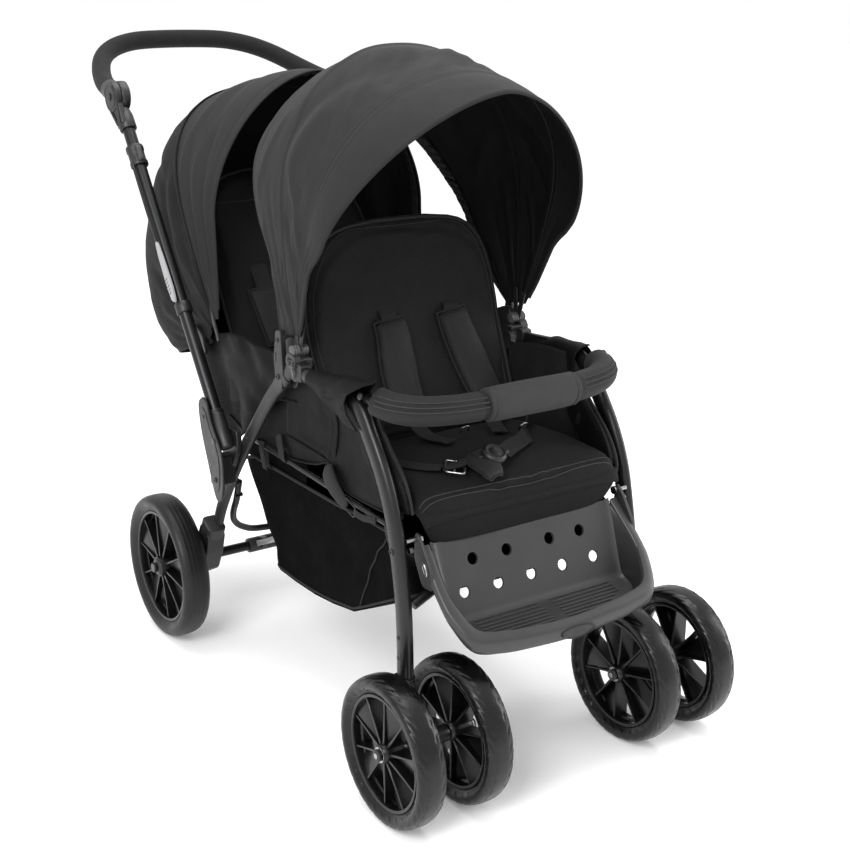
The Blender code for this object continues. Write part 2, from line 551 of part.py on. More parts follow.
GRIP = smooth(u_bend(HANDLE, HANDLE_REACH, 0.2290, GRIP_HALF, 3.25, 0.90, 0.0300, 18), 0.04)
grip = round_tube("handle_bar", GRIP, BAR_R, "foam", TILT, 3)
knuckles = []
for side, n in SIDES:
    knuckles.append(helper(rod("handle_knuckle_" + n, (side * 0.2290, *HANDLE), 0.0255, 0.0078, "foam", TILT, 20)))
    knuckles.append(helper(round_tube("handle_arm_" + n, [(side * 0.2290, *HANDLE), (side * 0.2262, HANDLE[0] + 0.0345, HANDLE[1] - 0.0004)], 0.0075, "foam", TILT, 2)))
combine(grip, knuckles, "UNION")

# Fold levers: a collar round each push tube, a thin pull rod and a flat finger plate outside the tube.
for side, n in SIDES:
    turned("tube_collar_" + n, [(0.0128, 0.5190), (0.0148, 0.5150), (0.0148, 0.4870), (0.0130, 0.4830), (TUBE_R + GAP, 0.4830), (TUBE_R + GAP, 0.5190)], "plastic", LEVER[side], on_tube(0, side), UP_TUBE, 14, ring=True)
    pull = round_tube("fold_lever_" + n, [on_tube(0.320, side, 0.2490, -0.0090), on_tube(0.4827, side, 0.2490, -0.0050)], 0.0022, "lever", LEVER[side], 1)
    finger = helper(plate("fold_finger_" + n, [on_tube(d, 1, across=a)[1:] for d, a in ((0.236, -0.011), (0.239, -0.003), (0.262, -0.0005), (0.320, -0.0025), (0.345, -0.0060), (0.345, -0.0100), (0.320, -0.0135), (0.262, -0.0155))], side * 0.2490, 0.0028, "lever", LEVER[side]))
    combine(pull, (finger,), "UNION")


# ---------------------------------------------------------------- seats and soft panels
def cushion(name, outline, half, parent=BASE, kind="fabric", bevel=0.0):
    obj = plate(name, outline, 0, half, kind, parent)
    if bevel:
        obj = frozen(obj)
        soften = obj.modifiers.new("edges", "BEVEL")
        soften.width = bevel
        soften.segments = 2
        soften.limit_method = "ANGLE"
        soften.angle_limit = math.radians(50)
    return obj


cushion("front_seat_base", rounded([(-0.3000, 0.3560), (-0.3120, 0.4000), (-0.2980, 0.4200), (-0.2000, 0.4280), (-0.0800, 0.4200), (-0.0800, 0.3940), (-0.2750, 0.3900), (-0.2880, 0.3560)], 0.006, 2), 0.1740)
cushion("rear_seat_base", rounded([(0.0100, 0.3960), (0.0040, 0.4200), (0.0200, 0.4360), (0.1000, 0.4300), (0.1850, 0.4180), (0.1850, 0.3960)], 0.008, 2), 0.1740)


def backrest(name, line, thickness, half_low, half_top, parent):
    """A pad that follows a bent line (y, z) and narrows to a rounded head."""
    front = smooth([Vector((y, z, 0)) for y, z in line], 0.045)
    mesh = bpy.data.meshes.new(name)
    made = bmesh.new()
    rings = []
    total = len(front) - 1
    for k, point in enumerate(front):
        ahead = front[min(k + 1, total)] - front[max(k - 1, 0)]
        normal = Vector((ahead.y, -ahead.x, 0)).normalized() * thickness
        t = k / total
        round_off = math.sqrt(max(0.0, 1 - max(0.0, (t - 0.72) / 0.28) ** 2 * 0.55))
        half = (half_low + (half_top - half_low) * t) * round_off
        rings.append([made.verts.new((sx * half, p.x, p.y)) for p, sx in ((point, -1), (point, 1), (point + normal, 1), (point + normal, -1))])
    for low, high in zip(rings, rings[1:]):
        for k in range(4):
            made.faces.new((low[k], low[(k + 1) % 4], high[(k + 1) % 4], high[k]))
    made.faces.new(rings[0])
    made.faces.new(rings[-1])
    bmesh.ops.recalc_face_normals(made, faces=made.faces)
    origin = origin_of(parent)
    bmesh.ops.translate(made, verts=made.verts, vec=-origin)
    made.to_mesh(mesh)
    made.free()
    obj = add(name, mesh, "fabric", parent, origin)
    soften = obj.modifiers.new("edges", "BEVEL")
    soften.width = 0.006
    soften.segments = 2
    soften.limit_method = "ANGLE"
    soften.angle_limit = math.radians(50)
    return obj


backrest("front_backrest", [(-0.0640, 0.4300), (-0.0330, 0.5000), (-0.0050, 0.5600), (0.0100, 0.6130), (0.0170, 0.6750), (0.0200, 0.7390)], 0.0220, 0.1680, 0.1560, FRONT_BACK)
backrest("rear_backrest", [(0.2050, 0.4120), (0.2450, 0.4800), (0.2950, 0.5600), (0.3450, 0.6400), (0.3900, 0.7120), (0.4250, 0.7700)], 0.0200, 0.1660, 0.1500, REAR_BACK)

SIDE_PANEL = rounded([(-0.0490, 0.5460), (-0.1400, 0.5430), (-0.1700, 0.5300), (-0.2050, 0.4900), (-0.2360, 0.4400), (-0.2520, 0.4000), (-0.0490, 0.4000)], 0.010, 2)
REAR_PANEL = rounded([(0.0470, 0.5560), (0.1300, 0.5300), (0.2200, 0.5420), (0.2600, 0.5200), (0.2250, 0.4300), (0.2050, 0.4000), (0.0140, 0.4000), (0.0140, 0.4900), (0.0400, 0.5120)], 0.008, 2)
for side, n in SIDES:
    plate("side_panel_" + n, SIDE_PANEL, side * 0.1840, 0.0040, "fabric")
    plate("rear_side_panel_" + n, REAR_PANEL, side * 0.1840, 0.0040, "fabric")

basket_mesh = bpy.data.meshes.new("basket")
cage = bmesh.new()
bmesh.ops.create_cube(cage, size=2.0)
for vert in cage.verts:
    sx, sy, sz = (1 if c > 0 else -1 for c in vert.co)
    y, z, half = {(1, 1): (0.2080, 0.3480, 0.1775), (-1, 1): (-0.2550, 0.2660, 0.1775), (1, -1): (0.1380, 0.1800, 0.1720), (-1, -1): (-0.0950, 0.1770, 0.1720)}[(sy, sz)]
    vert.co = (sx * half, y, z)
lid = max(cage.faces, key=lambda f: f.calc_center_median().z)
bmesh.ops.delete(cage, geom=[lid], context="FACES_ONLY")
bmesh.ops.recalc_face_normals(cage, faces=cage.faces)
cage.to_mesh(basket_mesh)
cage.free()
basket = add("basket", basket_mesh, "mesh")
walls = basket.modifiers.new("walls", "SOLIDIFY")
walls.thickness = 0.0030
walls.offset = -1
walls.use_even_offset = True


# ---------------------------------------------------------------- canopies
def hoop(half_foot, half, shoulder, rise, power, start=0.036):
    """One bow, as (x, radius): straight sides up to the shoulder, then a rounded top."""
    side_run = [(half_foot + (half - half_foot) * math.sin(math.pi / 2 * k / 3), start + (shoulder - start) * k / 3) for k in range(3)]
    arc = []
    for k in range(6):
        a = math.pi / 2 * k / 6
        arc.append((half * math.cos(a) ** (2 / power), shoulder + rise * math.sin(a) ** (2 / power)))
    right = side_run + arc
    return right + [(0.0, shoulder + rise)] + [(-x, r) for x, r in reversed(right)]


def gore(name, bow, low_deg, high_deg, parent, pivot, steps):
    """Fabric swept between two bow angles about the canopy's pivot axis (X)."""
    mesh = bpy.data.meshes.new(name)
    mesh.from_pydata([(x, 0, r) for x, r in bow], [(k, k + 1) for k in range(len(bow) - 1)], [])
    obj = add(name, mesh, "canopy", parent, (0, *pivot), Matrix.Rotation(math.radians(low_deg), 3, "X"))
    screw = obj.modifiers.new("sweep", "SCREW")
    screw.axis = "X"
    screw.angle = math.radians(high_deg - low_deg)
    screw.steps = screw.render_steps = steps
    screw.use_merge_vertices = False
    screw.use_smooth_shade = True
    skin = obj.modifiers.new("thickness", "SOLIDIFY")
    skin.thickness = FABRIC
    skin.offset = 0
    skin.use_even_offset = True
    return obj


def loft_gore(name, sections, parent, pivot):
    """Fabric lofted through unlike bows, each given as (degrees, hoop points)."""
    mesh = bpy.data.meshes.new(name)
    made = bmesh.new()
    rows = []
    for degrees, bow in sections:
        turn = Matrix.Rotation(math.radians(degrees), 3, "X")
        rows.append([made.verts.new(turn @ Vector((x, 0, r))) for x, r in bow])
    for low, high in zip(rows, rows[1:]):
        for k in range(len(low) - 1):
            made.faces.new((low[k], low[k + 1], high[k + 1], high[k]))
    bmesh.ops.recalc_face_normals(made, faces=made.faces)
    made.to_mesh(mesh)
    made.free()
    obj = add(name, mesh, "canopy", parent, (0, *pivot))
    skin = obj.modifiers.new("thickness", "SOLIDIFY")
    skin.thickness = FABRIC
    skin.offset = 0
    skin.use_even_offset = True
    return obj


# The three front gores telescope: the middle one runs inside the rear one, the visor outside both.
FRONT_HOOP = dict(shoulder=0.200, power=2.1)
gore("front_canopy_rear", hoop(half_foot=0.2020, half=0.2135, rise=0.2265, **FRONT_HOOP), -27.0, -7.3, BASE, FRONT_PIVOT, 3)
gore("front_canopy_mid", hoop(half_foot=0.1985, half=0.2100, rise=0.2230, **FRONT_HOOP), -6.7, 17.0, FRONT_BOW, FRONT_PIVOT, 3)
loft_gore("front_canopy_visor", [(17.6, hoop(half_foot=0.2055, half=0.2175, rise=0.2305, **FRONT_HOOP)), (24.0, hoop(half_foot=0.2055, half=0.2188, rise=0.2360, **FRONT_HOOP)), (30.4, hoop(half_foot=0.2055, half=0.2195, rise=0.2400, **FRONT_HOOP))], VISOR, FRONT_PIVOT)
loft_gore("rear_canopy_back", [(-107.0, hoop(0.1950, 0.1970, 0.120, 0.160, 3.6)), (-96.0, hoop(0.1960, 0.1980, 0.145, 0.188, 3.4)), (-76.0, hoop(0.1960, 0.2000, 0.170, 0.212, 3.4)), (-58.0, hoop(0.1960, 0.2020, 0.190, 0.222, 3.2)), (-40.0, hoop(0.1960, 0.2040, 0.195, 0.230, 3.0)), (-27.6, hoop(0.1960, 0.2040, 0.200, 0.229, 3.0))], PUSH, REAR_PIVOT)
gore("rear_canopy_front", hoop(half_foot=0.1960, half=0.1980, shoulder=0.200, rise=0.212, power=2.2), -27.0, -3.0, REAR_BOW, REAR_PIVOT, 2)

# ---------------------------------------------------------------- bumper bar
BAR = smooth(u_bend((-0.1900, 0.5430), (-0.2840, 0.5250), 0.1920, 0.1920, 3.4, 0.0, 0.11, 12), 0.03)
bar = round_tube("bumper_bar", BAR, 0.0200, "fabric", BUMPER, 3)
pegs = [helper(rod("bumper_peg_" + n, (side * 0.1915, -0.2075, 0.5385), 0.0060, 0.0090, "plastic", BUMPER, 10, Matrix.Rotation(math.pi / 2, 3, "X"))) for side, n in SIDES]
combine(bar, pegs, "UNION")

# ---------------------------------------------------------------- shading of the round pieces
for obj in STROLLER.objects:
    if obj.type == "MESH" and obj.data.polygons:
        obj.data.shade_smooth()
        obj.data.set_sharp_from_angle(angle=math.radians(40))
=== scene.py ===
"""Looks of the tandem stroller: every shape here is in metres, in the stroller's own frame (wheelbase middle at Y 0),
and is shifted by S when its mesh is made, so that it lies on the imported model."""

import json
import math

import bpy
import bmesh
import numpy as np
from mathutils import Matrix, Vector, noise
from mathutils.bvhtree import BVHTree
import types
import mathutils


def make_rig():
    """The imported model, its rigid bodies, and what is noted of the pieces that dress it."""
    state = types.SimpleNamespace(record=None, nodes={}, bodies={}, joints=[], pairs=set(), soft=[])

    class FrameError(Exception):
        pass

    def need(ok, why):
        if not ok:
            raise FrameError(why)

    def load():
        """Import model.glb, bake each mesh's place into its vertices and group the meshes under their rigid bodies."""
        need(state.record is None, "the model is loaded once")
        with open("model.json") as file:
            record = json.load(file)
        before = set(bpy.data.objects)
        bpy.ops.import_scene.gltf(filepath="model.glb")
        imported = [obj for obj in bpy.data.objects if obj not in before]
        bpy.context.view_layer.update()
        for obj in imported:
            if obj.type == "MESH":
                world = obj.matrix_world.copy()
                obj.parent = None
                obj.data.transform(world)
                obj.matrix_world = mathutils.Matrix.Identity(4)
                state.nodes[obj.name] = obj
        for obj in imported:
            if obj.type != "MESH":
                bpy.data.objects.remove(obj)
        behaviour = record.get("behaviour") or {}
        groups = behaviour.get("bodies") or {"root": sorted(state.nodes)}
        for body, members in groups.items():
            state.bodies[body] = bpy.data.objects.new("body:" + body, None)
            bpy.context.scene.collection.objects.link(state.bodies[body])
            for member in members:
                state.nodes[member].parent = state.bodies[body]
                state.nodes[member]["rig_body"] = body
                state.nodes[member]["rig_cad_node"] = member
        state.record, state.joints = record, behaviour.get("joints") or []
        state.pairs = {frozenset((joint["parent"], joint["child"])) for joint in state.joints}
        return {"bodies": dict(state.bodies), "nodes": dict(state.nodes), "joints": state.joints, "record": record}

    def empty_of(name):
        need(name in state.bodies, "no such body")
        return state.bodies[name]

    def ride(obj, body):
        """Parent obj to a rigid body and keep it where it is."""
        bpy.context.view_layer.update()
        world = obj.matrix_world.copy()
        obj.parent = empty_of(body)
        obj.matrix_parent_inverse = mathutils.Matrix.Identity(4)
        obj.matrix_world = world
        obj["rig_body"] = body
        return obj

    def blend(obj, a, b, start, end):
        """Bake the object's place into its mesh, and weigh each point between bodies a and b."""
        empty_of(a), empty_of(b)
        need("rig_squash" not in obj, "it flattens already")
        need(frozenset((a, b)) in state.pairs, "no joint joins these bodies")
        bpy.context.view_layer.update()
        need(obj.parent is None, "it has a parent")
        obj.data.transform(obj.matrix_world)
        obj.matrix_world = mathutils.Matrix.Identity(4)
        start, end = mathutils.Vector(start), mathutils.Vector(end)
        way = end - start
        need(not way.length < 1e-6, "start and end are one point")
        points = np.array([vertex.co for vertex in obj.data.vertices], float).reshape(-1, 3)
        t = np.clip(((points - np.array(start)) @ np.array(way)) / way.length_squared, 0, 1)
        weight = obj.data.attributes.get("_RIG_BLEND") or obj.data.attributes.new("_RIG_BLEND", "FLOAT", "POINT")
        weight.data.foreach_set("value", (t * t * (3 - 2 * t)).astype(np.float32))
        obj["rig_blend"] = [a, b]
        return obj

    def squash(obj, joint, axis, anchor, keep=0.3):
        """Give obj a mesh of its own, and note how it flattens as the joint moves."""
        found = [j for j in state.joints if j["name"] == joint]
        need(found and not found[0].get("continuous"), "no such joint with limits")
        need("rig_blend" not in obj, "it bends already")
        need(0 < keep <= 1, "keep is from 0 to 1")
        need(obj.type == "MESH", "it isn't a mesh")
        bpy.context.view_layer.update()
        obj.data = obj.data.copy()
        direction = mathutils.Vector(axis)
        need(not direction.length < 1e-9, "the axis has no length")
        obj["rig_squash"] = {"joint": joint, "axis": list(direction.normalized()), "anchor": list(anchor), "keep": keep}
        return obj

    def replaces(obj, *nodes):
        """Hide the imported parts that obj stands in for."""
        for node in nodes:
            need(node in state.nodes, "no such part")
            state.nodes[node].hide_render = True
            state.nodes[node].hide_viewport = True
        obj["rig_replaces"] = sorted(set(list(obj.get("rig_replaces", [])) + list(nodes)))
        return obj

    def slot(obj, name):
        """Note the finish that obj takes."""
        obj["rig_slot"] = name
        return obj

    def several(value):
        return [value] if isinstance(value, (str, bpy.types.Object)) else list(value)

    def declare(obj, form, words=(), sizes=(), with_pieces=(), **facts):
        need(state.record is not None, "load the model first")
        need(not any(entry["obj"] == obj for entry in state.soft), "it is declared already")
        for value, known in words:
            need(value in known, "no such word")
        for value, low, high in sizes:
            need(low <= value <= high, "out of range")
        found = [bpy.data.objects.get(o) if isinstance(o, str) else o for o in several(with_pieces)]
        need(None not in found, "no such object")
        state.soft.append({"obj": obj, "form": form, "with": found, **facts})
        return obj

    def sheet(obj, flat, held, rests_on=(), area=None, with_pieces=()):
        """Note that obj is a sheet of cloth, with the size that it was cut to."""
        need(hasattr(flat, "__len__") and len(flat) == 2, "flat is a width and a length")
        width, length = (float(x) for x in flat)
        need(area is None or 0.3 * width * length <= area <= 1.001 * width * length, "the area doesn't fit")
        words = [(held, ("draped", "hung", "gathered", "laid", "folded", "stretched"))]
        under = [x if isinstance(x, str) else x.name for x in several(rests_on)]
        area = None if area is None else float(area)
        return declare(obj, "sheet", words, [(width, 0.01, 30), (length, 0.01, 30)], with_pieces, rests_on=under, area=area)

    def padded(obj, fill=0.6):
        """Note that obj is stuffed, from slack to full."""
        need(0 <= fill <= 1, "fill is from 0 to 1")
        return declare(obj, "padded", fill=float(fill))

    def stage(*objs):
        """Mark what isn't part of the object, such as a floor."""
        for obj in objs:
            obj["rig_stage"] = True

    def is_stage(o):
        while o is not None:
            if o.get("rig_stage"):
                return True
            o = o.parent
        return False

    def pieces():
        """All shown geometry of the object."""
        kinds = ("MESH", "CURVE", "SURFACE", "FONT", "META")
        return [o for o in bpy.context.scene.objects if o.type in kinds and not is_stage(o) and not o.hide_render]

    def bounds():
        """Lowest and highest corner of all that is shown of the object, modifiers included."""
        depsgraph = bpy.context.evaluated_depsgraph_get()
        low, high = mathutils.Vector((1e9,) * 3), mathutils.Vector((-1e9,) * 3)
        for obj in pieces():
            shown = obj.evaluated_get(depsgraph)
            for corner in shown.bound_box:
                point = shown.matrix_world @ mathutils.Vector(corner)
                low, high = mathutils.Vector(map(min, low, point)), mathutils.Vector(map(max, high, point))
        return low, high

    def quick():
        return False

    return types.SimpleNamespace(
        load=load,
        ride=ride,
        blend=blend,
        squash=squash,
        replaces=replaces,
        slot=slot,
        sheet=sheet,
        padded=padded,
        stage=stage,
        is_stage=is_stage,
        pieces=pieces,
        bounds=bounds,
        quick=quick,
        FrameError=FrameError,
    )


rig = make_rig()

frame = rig.load()
CAD_BOX = [[float(c) for c in corner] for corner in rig.bounds()]
S = -0.17265
SCENE = bpy.context.scene
SIDES = ((-1, "r"), (1, "l"))
HUB = (-0.0155, 0.5532)
FOLD = (0.1650, 0.3920)
HANDLE = (0.5140, 0.8970)
REAR_PIVOT = (0.2500, 0.5300)
SLOPE = math.atan2(HANDLE[1] - FOLD[1], HANDLE[0] - FOLD[0])
X_AXIS = np.array((1.0, 0.0, 0.0))


# ------------------------------------------------------------------------------------------ materials
def dot_wave(tree, coords, direction, period):
    """sin of the position along a direction, one wave per period."""
    dot = tree.nodes.new("ShaderNodeVectorMath")
    dot.operation = "DOT_PRODUCT"
    dot.inputs[1].default_value = [2 * math.pi / period * c for c in direction]
    tree.links.new(coords, dot.inputs[0])
    wave = tree.nodes.new("ShaderNodeMath")
    wave.operation = "SINE"
    tree.links.new(dot.outputs["Value"], wave.inputs[0])
    return wave.outputs[0]


def noise_of(tree, coords, scale, detail=3.0, rough=0.55, stretch=None):
    if stretch:
        scaled = tree.nodes.new("ShaderNodeVectorMath")
        scaled.operation = "MULTIPLY"
        scaled.inputs[1].default_value = stretch
        tree.links.new(coords, scaled.inputs[0])
        coords = scaled.outputs[0]
    made = tree.nodes.new("ShaderNodeTexNoise")
    made.inputs["Scale"].default_value = scale
    made.inputs["Detail"].default_value = detail
    made.inputs["Roughness"].default_value = rough
    tree.links.new(coords, made.inputs["Vector"])
    return made.outputs["Fac"]


def mapped(tree, value, low, high, to_low, to_high):
    made = tree.nodes.new("ShaderNodeMapRange")
    made.inputs["From Min"].default_value = low
    made.inputs["From Max"].default_value = high
    made.inputs["To Min"].default_value = to_low
    made.inputs["To Max"].default_value = to_high
    tree.links.new(value, made.inputs["Value"])
    return made.outputs["Result"]


def maths(tree, kind, a, b):
    made = tree.nodes.new("ShaderNodeMath")
    made.operation = kind
    for slot, value in zip(made.inputs, (a, b)):
        if isinstance(value, (int, float)):
            slot.default_value = value
        else:
            tree.links.new(value, slot)
    return made.outputs[0]


def finish(name, colour, rough, metallic=0.0, coat=0.0, coat_rough=0.2, sheen=0.0, specular=0.5,
           vary=0.12, vary_scale=18.0, rough_vary=0.08, rough_scale=45.0, weave=None, grain=None, brushed=None, dust=0.0, tint=(1, 1, 1)):
    """A Principled material whose colour, roughness and relief come from procedural textures in metres.

    weave = (period, depth, colour contrast); grain = (scale, depth); brushed = (stretch, depth).
    """
    made = bpy.data.materials.new(name)
    made.use_nodes = True
    tree = made.node_tree
    shader = tree.nodes["Principled BSDF"]
    place = tree.nodes.new("ShaderNodeTexCoord").outputs["Object"]
    shader.inputs["Metallic"].default_value = metallic
    shader.inputs["Specular IOR Level"].default_value = specular
    shader.inputs["Coat Weight"].default_value = coat
    shader.inputs["Coat Roughness"].default_value = coat_rough
    shader.inputs["Sheen Weight"].default_value = sheen
    shader.inputs["Sheen Roughness"].default_value = 0.45
    made.diffuse_color = (*colour, 1)

    blotch = noise_of(tree, place, vary_scale, 4.0)
    level = mapped(tree, blotch, 0.25, 0.75, 1 - vary, 1 + vary)
    relief = None
    if weave:
        period, depth, contrast = weave
        warp = dot_wave(tree, place, (0.86, 0.30, 0.42), period)
        weft = dot_wave(tree, place, (-0.38, 0.72, 0.62), period * 1.07)
        cross = maths(tree, "MULTIPLY", warp, weft)
        relief = (cross, depth)
        level = maths(tree, "MULTIPLY", level, mapped(tree, cross, -1, 1, 1 - contrast, 1 + contrast))
        slub = noise_of(tree, place, 220.0, 2.0, 0.6, (1.0, 0.35, 2.2))
        level = maths(tree, "MULTIPLY", level, mapped(tree, slub, 0.3, 0.7, 1 - contrast * 0.7, 1 + contrast * 0.7))
    if dust:
        specks = noise_of(tree, place, 9.0, 8.0, 0.75)
        level = maths(tree, "ADD", level, maths(tree, "MULTIPLY", mapped(tree, specks, 0.55, 0.8, 0, 1), dust))
    colourer = tree.nodes.new("ShaderNodeVectorMath")
    colourer.operation = "SCALE"
    colourer.inputs[0].default_value = colour
    tree.links.new(level, colourer.inputs["Scale"])
    tree.links.new(colourer.outputs[0], shader.inputs["Base Color"])
    patch = noise_of(tree, place, rough_scale, 5.0, 0.65)
    tree.links.new(mapped(tree, patch, 0.25, 0.75, max(0.02, rough - rough_vary), min(1.0, rough + rough_vary)), shader.inputs["Roughness"])
    bumps = []
    if relief:
        bumps.append(relief)
    if grain:
        bumps.append((noise_of(tree, place, grain[0], 2.0, 0.5), grain[1]))
    if brushed:
        bumps.append((noise_of(tree, place, 90.0, 3.0, 0.6, brushed[0]), brushed[1]))
    normal = None
    for height, depth in bumps:
        bump = tree.nodes.new("ShaderNodeBump")
        bump.inputs["Strength"].default_value = 1.0
        bump.inputs["Distance"].default_value = depth
        tree.links.new(height, bump.inputs["Height"])
        if normal:
            tree.links.new(normal, bump.inputs["Normal"])
        normal = bump.outputs["Normal"]
    if normal:
        tree.links.new(normal, shader.inputs["Normal"])
    return made


M = {
    "frame": finish("satin_dark_tube", (0.0170, 0.0172, 0.0182), 0.34, metallic=0.72, coat=0.15, coat_rough=0.3, vary=0.06, rough_vary=0.07, grain=(1400, 0.00002), dust=0.06),
    "leg_grey": finish("satin_grey_leg", (0.0210, 0.0213, 0.0223), 0.42, metallic=0.45, vary=0.08, rough_vary=0.06, grain=(1200, 0.00003), dust=0.06),
    "plastic": finish("moulded_black", (0.0078, 0.0078, 0.0083), 0.44, vary=0.10, rough_vary=0.09, grain=(1500, 0.00006), dust=0.06),
    "plastic_grey": finish("moulded_dark_grey", (0.0150, 0.0150, 0.0158), 0.46, vary=0.08, rough_vary=0.08, grain=(1500, 0.00006), dust=0.06),
    "footrest": finish("footrest_satin", (0.0240, 0.0240, 0.0250), 0.36, vary=0.10, rough_vary=0.08, rough_scale=22, grain=(1700, 0.00004), dust=0.06),
    "rim": finish("rim_gloss_black", (0.0026, 0.0026, 0.0028), 0.32, specular=0.34, coat=0.10, coat_rough=0.08, vary=0.1, rough_vary=0.05, grain=(500, 0.00002)),
    "tyre": finish("tyre_black", (0.0017, 0.0017, 0.0019), 0.31, specular=0.34, vary=0.14, vary_scale=30, rough_vary=0.12, rough_scale=35, grain=(900, 0.00007), dust=0.06),
    "tyre_rear": finish("tyre_satin", (0.0038, 0.0038, 0.0041), 0.44, specular=0.36, vary=0.10, vary_scale=30, rough_vary=0.10, rough_scale=35, grain=(900, 0.00007), dust=0.06),
    "foam": finish("grip_foam", (0.0075, 0.0075, 0.0080), 0.80, specular=0.20, sheen=0.03, vary=0.10, vary_scale=60, rough_vary=0.06, grain=(1300, 0.00022), dust=0.06),
    "lever": finish("light_grey_lever", (0.3000, 0.3000, 0.3100), 0.42, vary=0.06, rough_vary=0.08, grain=(1500, 0.00005)),
    "steel": finish("bright_steel", (0.3600, 0.3600, 0.3700), 0.24, metallic=1.0, vary=0.06, rough_vary=0.08, brushed=((1, 8, 1), 0.00002)),
    "canopy": finish("canopy_charcoal", (0.0170, 0.0170, 0.0180), 0.78, specular=0.20, sheen=0.02, vary=0.07, vary_scale=7, rough_vary=0.06, weave=(0.0016, 0.00006, 0.07)),
    # painted shade: the same charcoal fabric as canopy, given a darker colour because the rear canopy's back cloth
    # faces away from the light
    "canopy_back": finish("canopy_back_cloth", (0.0092, 0.0092, 0.0098), 0.74, specular=0.14, sheen=0.01, vary=0.10, vary_scale=9, rough_vary=0.06, weave=(0.0014, 0.00008, 0.10)),
    "ruche": finish("gathered_band", (0.0240, 0.0240, 0.0252), 0.70, specular=0.20, sheen=0.03, vary=0.12, vary_scale=30, rough_vary=0.06, weave=(0.0013, 0.00009, 0.12)),
    "trim": finish("canopy_binding", (0.0130, 0.0130, 0.0138), 0.72, specular=0.20, sheen=0.02, vary=0.10, vary_scale=30, rough_vary=0.06, weave=(0.0013, 0.00009, 0.12)),
    "lining": finish("canopy_lining", (0.0056, 0.0056, 0.0060), 0.70, specular=0.12, sheen=0.00, vary=0.15, vary_scale=12, rough_vary=0.08, weave=(0.0015, 0.00005, 0.10)),
    "backrest": finish("backrest_weave", (0.0120, 0.0120, 0.0127), 0.82, specular=0.14, sheen=0.02, vary=0.10, vary_scale=10, rough_vary=0.06, weave=(0.0021, 0.00013, 0.20)),
    "seat": finish("seat_weave", (0.0076, 0.0076, 0.0081), 0.82, specular=0.14, sheen=0.02, vary=0.10, vary_scale=10, rough_vary=0.06, weave=(0.0021, 0.00013, 0.20)),
    "side_cloth": finish("side_cloth", (0.0026, 0.0026, 0.0028), 0.60, specular=0.12, sheen=0.01, vary=0.12, vary_scale=10, rough_vary=0.08, weave=(0.0015, 0.00006, 0.08)),
    "pad": finish("harness_pad", (0.0120, 0.0120, 0.0128), 0.66, specular=0.22, sheen=0.03, vary=0.10, vary_scale=14, rough_vary=0.06, weave=(0.0015, 0.00009, 0.12)),
    "webbing": finish("webbing", (0.0072, 0.0072, 0.0077), 0.62, specular=0.22, sheen=0.03, vary=0.10, vary_scale=40, rough_vary=0.06, weave=(0.0018, 0.00022, 0.25)),
    "stitch": finish("stitching", (0.0300, 0.0300, 0.0320), 0.70, specular=0.20, sheen=0.00, vary=0.2, vary_scale=200, rough_vary=0.05, grain=(900, 0.0001)),
    "basket": finish("basket_mesh_cloth", (0.0011, 0.0011, 0.0012), 0.74, specular=0.04, sheen=0.00, vary=0.20, vary_scale=9, rough_vary=0.08, weave=(0.0024, 0.00022, 0.45)),
    "sleeve": finish("bumper_sleeve", (0.0280, 0.0280, 0.0295), 0.72, specular=0.22, sheen=0.03, vary=0.07, vary_scale=16, rough_vary=0.06, weave=(0.0015, 0.00010, 0.14)),
    "clip": finish("clip_grey", (0.0620, 0.0620, 0.0650), 0.36, vary=0.10, vary_scale=60, rough_vary=0.08, grain=(1400, 0.00005)),
    "bumper": finish("bumper_cover", (0.0155, 0.0155, 0.0165), 0.70, specular=0.22, sheen=0.03, vary=0.08, vary_scale=16, rough_vary=0.06, weave=(0.0015, 0.00010, 0.12)),
}


# ------------------------------------------------------------------------------------------ shapes
def arr(points):
    return np.array([tuple(p) for p in points], float)


def smooth(points, step):
    """Points about one step apart on a smooth curve through the given ones."""
    knots = arr(points)
    knots = np.vstack([2 * knots[0] - knots[1], knots, 2 * knots[-1] - knots[-2]])
    out = []
    for a, b, c, d in zip(knots, knots[1:], knots[2:], knots[3:]):
        count = max(1, round(float(np.linalg.norm(c - b)) / step))
        for k in range(count):
            t = k / count
            out.append(0.5 * (2 * b + (c - a) * t + (2 * a - 5 * b + 4 * c - d) * t * t + (3 * b - a - 3 * c + d) * t ** 3))
    out.append(knots[-2])
    return np.array(out)


def even(points, count):
    """count points evenly spaced along a polyline."""
    points = arr(points)
    along = np.concatenate([[0], np.cumsum(np.linalg.norm(np.diff(points, axis=0), axis=1))])
    at = np.linspace(0, along[-1], count)
    return np.stack([np.interp(at, along, points[:, k]) for k in range(points.shape[1])], axis=1)


def unit(v):
    return v / np.maximum(np.linalg.norm(v, axis=-1, keepdims=True), 1e-12)


def frames(path, ref=None, closed=False):
    """Tangent, normal and binormal at each point; ref fixes the normal, otherwise it is carried along."""
    path = arr(path)
    if closed:
        tangent = unit(np.roll(path, -1, 0) - np.roll(path, 1, 0))
    else:
        tangent = unit(np.gradient(path, axis=0))
    if ref is not None:
        ref = np.broadcast_to(np.array(ref, float), path.shape)
        normal = unit(ref - (ref * tangent).sum(1, keepdims=True) * tangent)
    else:
        start = np.array((0, 0, 1.0)) if abs(tangent[0][2]) < 0.9 else X_AXIS
        normal = [unit(start - start @ tangent[0] * tangent[0])]
        for t in tangent[1:]:
            n = normal[-1] - normal[-1] @ t * t
            normal.append(unit(n))
        normal = np.array(normal)
    return tangent, normal, np.cross(tangent, normal)


